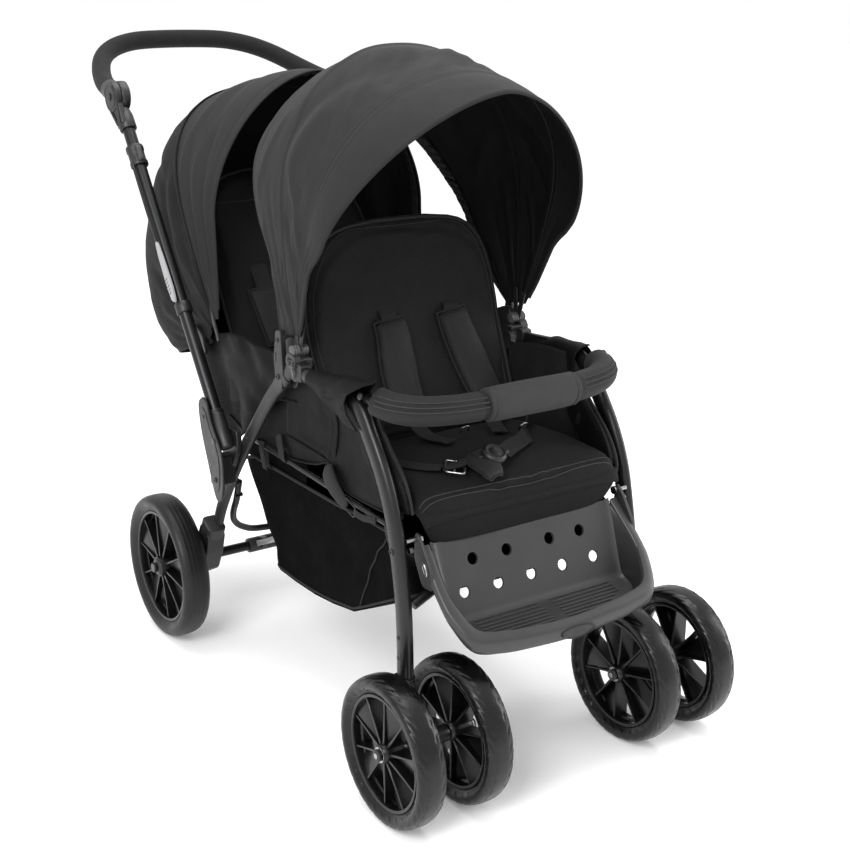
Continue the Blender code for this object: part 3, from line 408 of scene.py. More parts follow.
def rows_mesh(rows, ring=True, caps=True, closed=False):
    """Faces over rows of points; ring joins each row's ends, closed joins the last row to the first."""
    rows = np.asarray(rows, float)
    n, m = rows.shape[:2]
    faces = []
    for i in range(n if closed else n - 1):
        j = (i + 1) % n
        for k in range(m if ring else m - 1):
            l = (k + 1) % m
            faces.append((i * m + k, i * m + l, j * m + l, j * m + k))
    if caps and not closed and ring:
        faces.append(tuple(range(m - 1, -1, -1)))
        faces.append(tuple((n - 1) * m + k for k in range(m)))
    return rows.reshape(-1, 3), faces


def sweep(path, section, ref=None, scale=None, closed=False, caps=True, round_ends=0.0):
    """A section (a along the normal, b along the binormal) carried along a path."""
    path = arr(path)
    scale = np.ones(len(path)) if scale is None else np.asarray(scale, float)
    if round_ends:
        def cap(at, out, first):
            steps = np.linspace(0, math.pi / 2, 5)[1:]
            pts = [at + out * round_ends * math.sin(a) for a in steps]
            sizes = [max(0.02, math.cos(a)) for a in steps]
            return (pts[::-1], sizes[::-1]) if first else (pts, sizes)
        a_pts, a_size = cap(path[0], unit(path[0] - path[1]), True)
        b_pts, b_size = cap(path[-1], unit(path[-1] - path[-2]), False)
        path = np.vstack([a_pts, path, b_pts])
        scale = np.concatenate([np.array(a_size) * scale[0], scale, np.array(b_size) * scale[-1]])
    _, normal, binormal = frames(path, ref, closed)
    section = arr(section)
    rows = path[:, None] + scale[:, None, None] * (normal[:, None] * section[None, :, :1] + binormal[:, None] * section[None, :, 1:2])
    return rows_mesh(rows, closed=closed, caps=caps)


def oval(a, b, count=20, power=2.0):
    t = np.arange(count) * 2 * math.pi / count
    c, s = np.cos(t), np.sin(t)
    return np.stack([a * np.sign(c) * np.abs(c) ** (2 / power), b * np.sign(s) * np.abs(s) ** (2 / power)], axis=1)


def tube(path, radius, count=14, **more):
    return sweep(path, oval(radius, radius, count), **more)


def lathe(profile, centre, axis=(1, 0, 0), steps=32, closed=False):
    """profile (radius, height along the axis), turned about the axis; a zero radius closes the end."""
    axis = unit(np.array(axis, float))
    side = unit(np.cross(axis, (0.0, 0.0, 1.0) if abs(axis[2]) < 0.9 else (1.0, 0.0, 0.0)))
    up = np.cross(axis, side)
    t = np.arange(steps) * 2 * math.pi / steps
    ring = np.cos(t)[:, None] * up + np.sin(t)[:, None] * side
    rows = [np.array(centre, float) + axis * h + ring * max(r, 0.00005) for r, h in profile]
    verts, faces = rows_mesh(rows, closed=closed, caps=not closed)
    return verts, faces


def slab(outline, low, high):
    """A flat outline of (y, z) given thickness along X from low to high."""
    outline = arr(outline)
    n = len(outline)
    verts = np.vstack([np.column_stack([np.full(n, x), outline]) for x in (low, high)])
    faces = [tuple(range(n)), tuple(range(2 * n - 1, n - 1, -1))]
    faces += [(k, n + k, n + (k + 1) % n, (k + 1) % n) for k in range(n)]
    return verts, faces


def block(low, high):
    (x0, y0, z0), (x1, y1, z1) = low, high
    return slab([(y0, z0), (y1, z0), (y1, z1), (y0, z1)], x0, x1)


def joined(*parts):
    verts, faces, start = [], [], 0
    for v, f in parts:
        verts.append(np.asarray(v, float))
        faces += [tuple(start + i for i in face) for face in f]
        start += len(v)
    return np.vstack(verts), faces


def mirrored(part):
    verts = np.array(part[0], float)
    verts[:, 0] *= -1
    return verts, [tuple(reversed(f)) for f in part[1]]


def on_side(part, side):
    """part is modelled on the +X side."""
    return part if side > 0 else mirrored(part)


def rounded(corners, radius, steps=4):
    out = []
    count = len(corners)
    corners = arr(corners)
    for i in range(count):
        here, before, after = corners[i], corners[i - 1] - corners[i], corners[(i + 1) % count] - corners[i]
        lb, la = np.linalg.norm(before), np.linalg.norm(after)
        reach = min(radius, 0.45 * lb, 0.45 * la)
        a, b = here + before / lb * reach, here + after / la * reach
        for k in range(steps + 1):
            t = k / steps
            out.append((1 - t) ** 2 * a + 2 * t * (1 - t) * here + t * t * b)
    return np.array(out)


def circle(y, z, r, count=24):
    t = np.arange(count) * 2 * math.pi / count
    return np.stack([y + r * np.cos(t), z + r * np.sin(t)], axis=1)


def piece(name, part, material, body=None, replaces=(), slot=None, sharp=35, bevel=0.0, segments=2, levels=0, recalc=True, extra=()):
    """Makes the object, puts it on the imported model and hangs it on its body."""
    verts, faces = part
    mesh = bpy.data.meshes.new(name)
    mesh.from_pydata([(float(x), float(y) + S, float(z)) for x, y, z in verts], [], faces)
    mesh.validate()
    if recalc:
        work = bmesh.new()
        work.from_mesh(mesh)
        bmesh.ops.remove_doubles(work, verts=work.verts, dist=0.00002)
        bmesh.ops.recalc_face_normals(work, faces=work.faces)
        work.to_mesh(mesh)
        work.free()
    mesh.materials.append(M[material] if isinstance(material, str) else material)
    for more in extra:
        mesh.materials.append(M[more])
    obj = bpy.data.objects.new(name, mesh)
    SCENE.collection.objects.link(obj)
    mesh.shade_smooth()
    if bevel:
        soften = obj.modifiers.new("edges", "BEVEL")
        soften.width = bevel
        soften.segments = segments
        soften.limit_method = "ANGLE"
        soften.angle_limit = math.radians(38)
        soften.harden_normals = False
    if levels:
        sub = obj.modifiers.new("smooth", "SUBSURF")
        sub.levels = sub.render_levels = levels
    if sharp and not levels:
        mesh.set_sharp_from_angle(angle=math.radians(sharp))
    if body:
        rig.ride(obj, body)
    if replaces:
        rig.replaces(obj, *([replaces] if isinstance(replaces, str) else replaces))
    if slot:
        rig.slot(obj, slot)
    return obj


def on_tube(distance, across=0.0):
    """(y, z) on the push tube's line, measured up from the fold pivot."""
    return np.array((FOLD[0] + distance * math.cos(SLOPE) + across * math.sin(SLOPE), FOLD[1] + distance * math.sin(SLOPE) - across * math.cos(SLOPE)))


def rivet(y, z, x, side, radius=0.0034, height=0.0016, hollow=False):
    """A domed head on a face that looks outwards at |X| = x."""
    if hollow:
        profile = [(radius, 0.0), (radius, height * 0.6), (radius * 0.8, height), (radius * 0.5, height), (radius * 0.42, height * 0.2), (0.0, height * 0.1)]
    else:
        profile = [(radius, -0.0005), (radius, height * 0.3), (radius * 0.85, height * 0.75), (radius * 0.5, height), (0.0, height * 1.08)]
    return lathe(profile, (side * x, y, z), (side, 0, 0), 16)


# ------------------------------------------------------------------------------------------ camera, light and floor
camera = bpy.data.objects.new("camera", bpy.data.cameras.new("camera"))
SCENE.collection.objects.link(camera)
camera.location = (-1.11112509, -1.70328375 + S, 1.04328494)
turn, lift = math.radians(-33.8855), math.radians(17.0753)
back = Vector((math.sin(turn) * math.cos(lift), -math.cos(turn) * math.cos(lift), math.sin(lift)))
camera.rotation_mode = "QUATERNION"
camera.rotation_quaternion = (-back).to_track_quat("-Z", "Y")
camera.data.sensor_width = 36.0
camera.data.lens = 58.002
camera.data.clip_start, camera.data.clip_end = 0.05, 60.0
SCENE.camera = camera

world = bpy.data.worlds.new("studio")
world.use_nodes = True
world.node_tree.nodes["Background"].inputs["Color"].default_value = (1.0, 1.0, 1.0, 1.0)
world.node_tree.nodes["Background"].inputs["Strength"].default_value = 1.0
SCENE.world = world
SCENE.view_settings.view_transform = "Standard"
SCENE.view_settings.look = "None"


def lamp(name, location, target, size, power, size_y=None):
    data = bpy.data.lights.new(name, "AREA")
    data.shape = "RECTANGLE"
    data.size, data.size_y = size, size_y or size
    data.energy = power
    obj = bpy.data.objects.new(name, data)
    SCENE.collection.objects.link(obj)
    obj.location = location
    obj.rotation_mode = "QUATERNION"
    obj.rotation_quaternion = (Vector(target) - Vector(location)).to_track_quat("-Z", "Y")
    return obj


lamp("key", (-2.6, -1.9, 2.7), (0, 0, 0.45), 1.6, 90.0, 1.6)
lamp("top", (0.2, 0.2, 3.0), (0, 0, 0.4), 2.0, 55.0)
lamp("right", (2.8, -1.4, 1.3), (0, 0, 0.4), 0.9, 35.0, 2.0)

floor_mesh = bpy.data.meshes.new("floor")
floor_mesh.from_pydata([(-30, -30, 0), (30, -30, 0), (30, 30, 0), (-30, 30, 0)], [], [(0, 1, 2, 3)])
floor = bpy.data.objects.new("floor", floor_mesh)
floor_mesh.materials.append(finish("floor_pale", (0.955, 0.955, 0.955), 0.9, vary=0.005, vary_scale=2, rough_vary=0.02, specular=0.0))
floor_shader = floor_mesh.materials[0].node_tree.nodes["Principled BSDF"]
floor_shader.inputs["Emission Color"].default_value = (1.0, 1.0, 1.0, 1.0)
floor_shader.inputs["Emission Strength"].default_value = 0.10
SCENE.collection.objects.link(floor)
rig.stage(floor)


# ------------------------------------------------------------------------------------------ front legs and hubs
LEG_PATH = smooth(
    [(-0.0380, 0.5370), (-0.0775, 0.5390), (-0.1200, 0.5410), (-0.1500, 0.5395), (-0.1730, 0.5320), (-0.1920, 0.5200), (-0.2105, 0.4970),
     (-0.2462, 0.4458), (-0.2690, 0.3967), (-0.2825, 0.3443), (-0.2935, 0.2833), (-0.2975, 0.2269), (-0.2982, 0.1745)], 0.008)
for side, n in SIDES:
    path = np.column_stack([np.full(len(LEG_PATH), 0.1995), LEG_PATH])
    leg = sweep(path, oval(0.0093, 0.0140, 32, 2.3), ref=X_AXIS, round_ends=0.0012, scale=np.interp(-path[:, 1], [0.05, 0.13, 0.18], [0.84, 0.90, 1.0]))
    piece("front_leg_tube_" + n, on_side(leg, side), "frame", "front_frame", "front_leg_" + n, "frame_metal")
    bolts = [rivet(y, z, 0.2086, side, r, h, hollow) for y, z, r, h, hollow in (
        (-0.2800, 0.3495, 0.0046, 0.0020, True), (-0.2950, 0.2307, 0.0032, 0.0012, True), (-0.2955, 0.2009, 0.0032, 0.0012, True))]
    piece("leg_bolts_" + n, joined(*bolts), "plastic_grey", "front_frame", slot="black_plastic")
    # slot pressed in the leg's foot, and the bolt that goes through towards the footrest
    foot = slab(rounded([(-0.3015, 0.2120), (-0.2945, 0.2120), (-0.2945, 0.1800), (-0.3015, 0.1800)], 0.0034), 0.2083, 0.2092)
    piece("leg_slot_" + n, on_side(foot, side), "plastic", "front_frame", slot="black_plastic", bevel=0.0004)
    bolt = joined(lathe([(0.0034, -0.004), (0.0034, 0.0165), (0.0060, 0.0165), (0.0062, 0.0200), (0.0, 0.0210)], (side * 0.1890, -0.2905, 0.3640), (-side, 0, 0), 12),
                  lathe([(0.0042, 0.0), (0.0042, 0.0050), (0.0, 0.0055)], (side * 0.1893, -0.2930, 0.3505), (-side, 0, 0), 6))
    piece("leg_footrest_bolt_" + n, bolt, "steel", "front_frame", slot="frame_metal")

ARCH = smooth([(-0.1878, -0.2990, 0.2748), (-0.1750, -0.2985, 0.2800), (-0.1500, -0.2980, 0.2900), (-0.1150, -0.2975, 0.2950), (0.0, -0.2970, 0.2970),
               (0.1150, -0.2975, 0.2950), (0.1500, -0.2980, 0.2900), (0.1750, -0.2985, 0.2800), (0.1878, -0.2990, 0.2748)], 0.008)
piece("cross_arch_tube", tube(ARCH, 0.0072, 20), "frame", "front_frame", "front_cross_arch", "frame_metal")

HUB_OUTLINE = rounded([(-0.0150, 0.5700), (-0.0170, 0.5370), (-0.0080, 0.5130), (0.0040, 0.5060), (0.0230, 0.5240), (0.0310, 0.5560), (0.0270, 0.5760), (0.0040, 0.5850), (-0.0100, 0.5830)], 0.010, 5)
for side, n in SIDES:
    plate = slab(HUB_OUTLINE, 0.1865, 0.1965)
    socket = slab(rounded([(-0.0420, 0.5270), (-0.0420, 0.5520), (-0.0100, 0.5560), (-0.0100, 0.5270)], 0.004), 0.1900, 0.2080)
    pin = lathe([(0.0048, 0.0), (0.0048, 0.0235), (0.0036, 0.0250), (0.0, 0.0250)], (0.1900, *HUB), (1, 0, 0), 20)
    piece("hub_body_" + n, on_side(joined(plate, socket, pin), side), "plastic", "front_frame", "hub_" + n, "black_plastic", bevel=0.0012)
    # upright strip with its screws and slot, which carries the canopy's bow
    strip = slab(rounded([(0.0080, 0.5950), (0.0230, 0.5930), (0.0310, 0.5500), (0.0270, 0.5080), (0.0090, 0.5060), (0.0040, 0.5330)], 0.005), 0.2045, 0.2130)
    piece("hub_strip_" + n, on_side(strip, side), "plastic", "front_frame", slot="black_plastic", bevel=0.0010)
    screws = joined(rivet(0.0180, 0.5790, 0.2130, side, 0.0038, 0.0018, True), rivet(0.0190, 0.5240, 0.2130, side, 0.0042, 0.0022, True))
    piece("hub_screws_" + n, screws, "plastic_grey", "front_frame", slot="black_plastic")
    slot_piece = slab(rounded([(0.0230, 0.5600), (0.0265, 0.5590), (0.0270, 0.5450), (0.0235, 0.5440)], 0.0014), 0.2126, 0.2136)
    piece("hub_slot_" + n, on_side(slot_piece, side), "rim", "front_frame", slot="black_plastic")
    # clip facing forwards: ribbed roller, latch with light edges, and the tongue under it
    roller = [(0.0, -0.0130)]
    for k in range(6):
        h = -0.0128 + k * 0.0044
        roller += [(0.0072, h), (0.0084, h + 0.0010), (0.0084, h + 0.0026), (0.0072, h + 0.0036)]
    roller.append((0.0, 0.0134))
    roll = lathe(roller, (0.1965, -0.0165, 0.5690), (1, 0, 0), 24)
    piece("clip_roller_" + n, on_side(roll, side), "clip", "front_frame", slot="black_plastic", sharp=60)
    bar = block((0.1800, -0.0265, 0.5478), (0.2130, -0.0120, 0.5562))
    piece("clip_bar_" + n, on_side(bar, side), "plastic", "front_frame", slot="black_plastic", bevel=0.0014)
    lip = joined(block((0.1800, -0.0274, 0.5556), (0.2134, -0.0130, 0.5568)), block((0.1806, -0.0276, 0.5468), (0.2128, -0.0130, 0.5482)))
    piece("clip_edges_" + n, on_side(lip, side), "clip", "front_frame", slot="lever_plastic", bevel=0.0004)
    tongue_rows = []
    for k in range(13):
        t = k / 12
        z = 0.5470 - 0.0235 * t
        y = -0.0235 - 0.0046 * math.sin(math.pi * min(1.0, t * 1.1)) + 0.0030 * t
        wide = 0.0158 - 0.0020 * t - 0.0062 * t ** 4
        tongue_rows.append([(0.1965 + 0.0012 * t + wide * u, y + 0.0022 * u * u, z - 0.0012 * (1 - u * u) * t) for u in np.linspace(-1, 1, 11)])
    outer = np.array(tongue_rows)
    inner = outer.copy()
    inner[:, :, 1] += 0.0036
    ring = np.concatenate([outer, inner[:, ::-1]], axis=1)
    piece("clip_tongue_" + n, on_side(rows_mesh(ring), side), "clip", "front_frame", slot="black_plastic", sharp=50)

# ------------------------------------------------------------------------------------------ side rails
for side, n in SIDES:
    rail = tube(even([(0.188, 0.1450, 0.3880), (0.188, 0.0, 0.3815), (0.188, -0.1200, 0.3760), (0.188, -0.2480, 0.3700)], 24), 0.0040, 14, round_ends=0.003)
    piece("side_rail_rod_" + n, on_side(rail, side), "frame", "front_frame", "side_rail_" + n, "frame_metal")

# ------------------------------------------------------------------------------------------ footrest
RIM_TOP = np.array((0, -0.2960, 0.3550))
RIM_DOWN = np.array((0, -math.cos(math.radians(45)), -math.sin(math.radians(45))))
RIM_UP = np.array((0, -RIM_DOWN[2], RIM_DOWN[1])) * -1


def rim_line(half_top, half_mid, front, corner, step=0.006):
    right = [(half_top, 0.0), (half_mid, front * 0.45), (half_mid - 0.004, front - corner), (half_mid - corner * 0.42, front - corner * 0.28), (half_mid - corner * 1.25, front - 0.002), (half_mid - corner * 2.2, front + 0.003)]
    line = right + [(0.0, front + 0.006)] + [(-x, v) for x, v in reversed(right)]
    return smooth(line, step)


outer_line = even(rim_line(0.1735, 0.1775, 0.1570, 0.050), 150)
inner_line = even(rim_line(0.1580, 0.1630, 0.1425, 0.046), 150)


def in_rim(line, drop_y=0.0, drop_z=0.0, out=0.0):
    points = RIM_TOP + np.column_stack([line[:, 0], np.zeros(len(line)), np.zeros(len(line))]) + line[:, 1:2] * RIM_DOWN
    away = unit(np.column_stack([line[:, 0], line[:, 1] - 0.07]))
    points = points + np.column_stack([away[:, 0], away[:, 1] * RIM_DOWN[1], away[:, 1] * RIM_DOWN[2]]) * out
    return points + np.array((0, drop_y, drop_z))


EMBLEM = (0.0085, 0.0270, 0.0078)    # centre x, half width, half height of the oval recess
rim_rows = []
for k in range(150):
    u = k / 149
    outward, inward = in_rim(outer_line)[k], in_rim(inner_line)[k]
    rim_rows.append(None)
O, I = in_rim(outer_line), in_rim(inner_line)
level = unit(np.column_stack([O[:, 0] - I[:, 0], O[:, 1] - I[:, 1], O[:, 2] - I[:, 2]]))
down = np.array((0.0, 0.10, -0.99))
front_share = np.clip((outer_line[:, 1] - 0.085) / 0.06, 0, 1)[:, None]
depth = 0.0155 + 0.0040 * front_share
section = [I + down * 0.0030, I + level * 0.0012 + down * 0.0006, I + level * 0.0035, O - level * 0.0045, O - level * 0.0016 + down * 0.0008,
           O + down * 0.0034, O + level * 0.0014 + down * depth * 0.45, O + level * 0.0006 + down * depth * 0.80, O - level * 0.0010 + down * depth, O - level * 0.0040 + down * depth,
           O - level * 0.0046 + down * (depth - 0.0015), O - level * 0.0046 + down * 0.0060, I + level * 0.0025 + down * 0.0060, I + down * 0.0056]
rim_rows = np.stack(section, axis=1)
rim_part = rows_mesh(rim_rows)
# floor of the tray, rising into the perforated panel behind it
PANEL_TOP, PANEL_LOW = np.array((0, -0.2920, 0.3520)), np.array((0, -0.3324, 0.2595))
PANEL_ALONG = unit(PANEL_LOW - PANEL_TOP)
PANEL_OUT = np.array((0, -0.916, 0.400))
profile = smooth([(-0.2925, 0.3528), (-0.3120, 0.3075), (-0.3290, 0.2685), (-0.3375, 0.2530), (-0.3560, 0.2470), (-0.3780, 0.2430), (-0.4000, 0.2390)], 0.004)


def half_at(z, y):
    t = np.clip((-0.292 - y) / 0.108, 0, 1)
    return 0.1545 - 0.006 * t - 0.040 * np.clip((t - 0.55) / 0.45, 0, 1) ** 1.8


HOLES = [(x, 0.0320) for x in (-0.094, -0.036, 0.039, 0.094)] + [(x, 0.0730) for x in (-0.118, -0.061, -0.004, 0.052, 0.109)]
panel_bm = bmesh.new()
rows = []
for y, z in profile:
    h = half_at(z, y)
    curl = [(-1.0, 0.0055), (-0.985, 0.0022), (-0.955, 0.0006)] + [(u, 0.0) for u in np.linspace(-0.92, 0.92, 31)] + [(0.955, 0.0006), (0.985, 0.0022), (1.0, 0.0055)]
    rows.append([(u * h, y - lift_ * 0.6, z + lift_ * 0.8) for u, lift_ in curl])
tray = rows_mesh(np.array(rows), ring=False, caps=False)
tray_obj = piece("footrest_tray", tray, "footrest", None, recalc=False, sharp=0)
thick = tray_obj.modifiers.new("thickness", "SOLIDIFY")
thick.thickness = 0.0034
thick.offset = 1
drill_parts = []
for x, v in HOLES:
    spot = PANEL_TOP + np.array((x, 0, 0)) + PANEL_ALONG * v
    drill_parts.append(lathe([(0.0, -0.02), (0.0080, -0.02), (0.0080, -0.0006), (0.0092, 0.0012), (0.0100, 0.02), (0.0, 0.02)], spot, PANEL_OUT, 28))
drill = piece("footrest_drills", joined(*drill_parts), "footrest", None, sharp=0)
cut = tray_obj.modifiers.new("holes", "BOOLEAN")
cut.operation = "DIFFERENCE"
cut.solver = "EXACT"
cut.object = drill


def applied(obj, sharp=35):
    """The object with its modifiers made part of its mesh."""
    bpy.context.view_layer.update()
    graph = bpy.context.evaluated_depsgraph_get()
    mesh = bpy.data.meshes.new_from_object(obj.evaluated_get(graph))
    obj.modifiers.clear()
    old = obj.data
    obj.data = mesh
    bpy.data.meshes.remove(old)
    mesh.name = obj.name
    mesh.shade_smooth()
    if sharp:
        mesh.set_sharp_from_angle(angle=math.radians(sharp))
    return obj


tray_obj = applied(tray_obj)
bpy.data.objects.remove(drill)
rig.ride(tray_obj, "front_frame")
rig.slot(tray_obj, "black_plastic")
rim_obj = piece("footrest_rim", rim_part, "footrest", "front_frame", "footrest", "black_plastic", sharp=50)
# raised ribs, in two groups, on the step
ribs = []
for group, (x0, x1) in enumerate(((-0.118, -0.012), (0.012, 0.118))):
    for k in range(7):
        y = -0.3440 - 0.0072 * k
        z = np.interp(-y, [-p[0] for p in profile], [p[1] for p in profile]) + 0.0010
        inset = 0.012 * max(0, k - 3)
        a, b = (x0 + inset, x1) if group == 0 else (x0, x1 - inset)
        ribs.append(sweep(even([(a, y, z), (b, y, z)], 12), oval(0.0011, 0.0011, 8), round_ends=0.001))
side_edge = even(profile, 44)
for side, n in SIDES:
    wall = []
    for k in range(44):
        y, z = side_edge[k]
        a, b = I[2 + k] + down * 0.0035, np.array((half_at(z, y) - 0.0005, y, z))
        wall.append([a * (1 - w) + b * w for w in np.linspace(0, 1, 7)])
    wall = np.array(wall)
    back = wall.copy()
    back[:, :, 0] -= 0.0020
    piece("footrest_wall_" + n, on_side(rows_mesh(np.concatenate([wall, back[:, ::-1]], axis=1)), side), "plastic", "front_frame", slot="black_plastic", sharp=50)
piece("footrest_ribs", joined(*ribs), "footrest", "front_frame", slot="black_plastic")
# plain oval inset in the middle of the front wall
mid = 75
centre = (O[mid] + down * 0.0102)
face_out = unit(np.array((0, -0.99, -0.06)))
face_up = unit(np.array((0, -0.10, 0.99)))
ring_t = np.arange(48) * 2 * math.pi / 48
front_y = lambda x: np.interp(x, O[::-1, 0], O[::-1, 1]) if O[0, 0] > O[-1, 0] else np.interp(x, O[:, 0], O[:, 1])
inset_rows = []
for scale_, out_ in ((1.10, -0.0030), (1.10, 0.0012), (1.04, 0.0020), (1.0, 0.0016), (0.97, 0.0004), (0.90, 0.0002), (0.5, 0.0005), (0.02, 0.0006)):
    row = []
    for t in ring_t:
        x = EMBLEM[0] + EMBLEM[1] * scale_ * math.cos(t)
        up = EMBLEM[2] * scale_ * math.sin(t)
        row.append((x, front_y(x) - 0.0014 - out_ - 0.0006 * math.sin(t), centre[2] + up))
    inset_rows.append(row)
piece("footrest_oval", rows_mesh(np.array(inset_rows)), "plastic", "front_frame", slot="black_plastic", sharp=60)
# ears that hold the tray to the legs, with their oval steel washers
for side, n in SIDES:
    ear = slab(rounded([(-0.2900, 0.3760), (-0.3060, 0.3620), (-0.3300, 0.3250), (-0.3300, 0.3020), (-0.3060, 0.3020), (-0.2860, 0.3400)], 0.007), 0.1735, 0.1780)
    piece("footrest_ear_" + n, on_side(ear, side), "plastic_grey", "front_frame", slot="black_plastic", bevel=0.0012)
    washer_t = np.arange(24) * 2 * math.pi / 24
    long_, wide_ = unit(np.array((-0.45, -0.89))), unit(np.array((0.89, -0.45)))
    rows = []
    for s_, x in ((1.0, 0.1778), (1.0, 0.1790), (0.82, 0.1797), (0.6, 0.1792), (0.02, 0.1792)):
        rows.append([(x, -0.3140 + (long_[0] * 0.0105 * math.cos(t) + wide_[0] * 0.0040 * math.sin(t)) * s_, 0.3290 + (long_[1] * 0.0105 * math.cos(t) + wide_[1] * 0.0040 * math.sin(t)) * s_) for t in washer_t])
    piece("footrest_washer_" + n, on_side(rows_mesh(np.array(rows)), side), "steel", "front_frame", slot="frame_metal", sharp=50)


# ------------------------------------------------------------------------------------------ wheels
def tyre(name, centre, radius, width, bead, material, grooves, body, replaces):
    """A turned tyre whose tread has two ring lines and curved grooves towards each shoulder."""
    crown = radius
    half = width / 2
    profile = [(bead, -half * 0.60), (bead + 0.0012, -half * 0.68), (radius - (radius - bead) * 0.62, -half * 0.955), (radius - (radius - bead) * 0.40, -half * 1.0),
               (radius - (radius - bead) * 0.18, -half * 0.90), (radius - 0.0012, -half * 0.60), (radius - 0.0002, -half * 0.30), (radius, 0.0)]
    line = smooth(profile + [(r, -h) for r, h in reversed(profile[:-1])], 0.0016 if grooves else 0.0022)
    steps = 300 if grooves else 144
    t = np.arange(steps) * 2 * math.pi / steps
    rows = []
    for r, h in line:
        across = abs(h) / half
        ring = np.full(steps, r)
        if r > bead + 0.006:
            if grooves:
                ring -= 0.0004 * math.exp(-((across - 0.56) / 0.055) ** 2)
                if across > 0.40:
                    phase = (t / (2 * math.pi) * 30 + 2.7 * (across - 0.40) ** 1.4) % 1.0
                    cut = np.exp(-((phase - 0.5) / 0.10) ** 2)
                    fade = min(1, (across - 0.40) / 0.16) * min(1, max(0, (1.02 - across)) / 0.06)
                    ring -= 0.0015 * cut * fade
                if 0.20 < across < 0.40:
                    phase = (t / (2 * math.pi) * 30 + 0.25) % 1.0
                    cut = np.exp(-((phase - 0.5) / 0.05) ** 2)
                    ring -= 0.0007 * cut * min(1, (across - 0.20) / 0.1) * min(1, (0.40 - across) / 0.1)
            else:
                for ringline in (0.0, 0.30, 0.62, 0.86):
                    ring -= 0.0005 * math.exp(-((across - ringline) / 0.035) ** 2)
        rows.append(np.column_stack([np.full(steps, centre[0] + h), centre[1] + ring * np.cos(t), centre[2] + ring * np.sin(t)]))
    inner = [(bead - 0.0010, half * 0.50), (bead - 0.0020, 0.0), (bead - 0.0010, -half * 0.50)]
    for r, h in inner:
        rows.append(np.column_stack([np.full(steps, centre[0] + h), centre[1] + r * np.cos(t), centre[2] + r * np.sin(t)]))
    part = rows_mesh(np.array(rows), ring=True, caps=False, closed=True)
    return piece(name, part, material, body, replaces, "tyre_rubber", sharp=0)


def fin(centre, angle, r0, r1, w0, w1, x0, x1, out=None):
    """A thin radial blade, thicker at its root."""
    c, s = math.cos(angle), math.sin(angle)
    rows = []
    for r, w, xa, xb in ((r0, w0, x0, x1), (r0 + (r1 - r0) * 0.3, w0 * 0.75 + w1 * 0.25, x0 * 0.96, x1 * 0.96), (r0 + (r1 - r0) * 0.7, w1, x0 * 0.90, x1 * 0.90), (r1, w1 * 1.4, x0 * 0.90, x1 * 0.90)):
        row = []
        for x, u in ((xa, -0.35), (xa * 0.97, -0.5), (xb * 0.97, -0.5), (xb, -0.35), (xb, 0.35), (xb * 0.97, 0.5), (xa * 0.97, 0.5), (xa, 0.35)):
            row.append((centre[0] + x, centre[1] + r * c - u * w * s, centre[2] + r * s + u * w * c))
        rows.append(row)
    return rows_mesh(np.array(rows))


def fan(centre, a0, a1, r0, r1, thick, outside, twist=0.35):
    """A broad curved blade between two angles, leaning like a fan's."""
    rows = []
    for i in range(9):
        u = i / 8
        r = r0 + (r1 - r0) * u
        row_top, row_low = [], []
        for k in range(7):
            v = k / 6
            lean = 0.10 * math.sin(math.pi * u)
            a = a0 + (a1 - a0) * v + lean * twist
            depth = outside * (0.0105 - 0.013 * v + 0.0015 * math.sin(math.pi * v)) * (0.75 + 0.25 * u)
            row_top.append((centre[0] + depth, centre[1] + r * math.cos(a), centre[2] + r * math.sin(a)))
            row_low.append((centre[0] + depth - outside * thick, centre[1] + r * math.cos(a), centre[2] + r * math.sin(a)))
        rows.append(row_top + row_low[::-1])
    return rows_mesh(np.array(rows))


def rim(name, centre, outer, width, hub_r, hub_half, bore, outside, body, replaces, fans, start=0.0):
    half = width / 2
    barrel = lathe([(outer, -half), (outer, half), (outer - 0.0022, half + 0.0004), (outer - 0.0042, half - 0.0006), (outer - 0.0050, half - 0.003), (outer - 0.0052, 0.003), (outer - 0.0085, 0.0012),
                    (outer - 0.0085, -0.0012), (outer - 0.0052, -0.003), (outer - 0.0050, 0.003 - half), (outer - 0.0042, 0.0006 - half), (outer - 0.0022, -half - 0.0004)], centre, (1, 0, 0), 96, closed=True)
    hub = lathe([(bore, -hub_half), (hub_r * 0.78, -hub_half), (hub_r * 0.86, -hub_half + 0.0012), (hub_r * 0.95, -hub_half * 0.55), (hub_r, -hub_half * 0.3), (hub_r, hub_half * 0.3), (hub_r * 0.95, hub_half * 0.55), (hub_r * 0.86, hub_half - 0.0012), (hub_r * 0.78, hub_half), (bore, hub_half)],
                centre, (1, 0, 0), 48, closed=True)
    blades, webs = [], []
    n = 10
    for k in range(n):
        a = start + k * 2 * math.pi / n
        blades.append(fin(centre, a, hub_r * 0.9, outer - 0.004, 0.0042, 0.0026, -hub_half * 0.72, hub_half * 0.72))
        if fans and k % 2 == 0:
            webs.append(fan(centre, a + 0.01, a + 2 * math.pi / n - 0.01, hub_r * 0.95, outer - 0.0035, 0.0018, outside))
        elif not fans:
            webs.append(fan(centre, a + 0.01, a + 2 * math.pi / n - 0.01, hub_r * 0.95, outer - 0.0035, 0.0018, outside, 0.0) if k % 2 == 0 else
                        fan(centre, a + 0.01, a + 2 * math.pi / n - 0.01, hub_r * 0.95, outer - 0.0035, 0.0018, -outside, 0.0))
    body_piece = piece(name, joined(barrel, hub), "rim", body, replaces, "rim_plastic", sharp=40)
    fins = piece(name + "_fins", joined(*(blades + webs)), "rim", body, slot="rim_plastic", sharp=30, bevel=0.0004, segments=1)
    return body_piece, fins


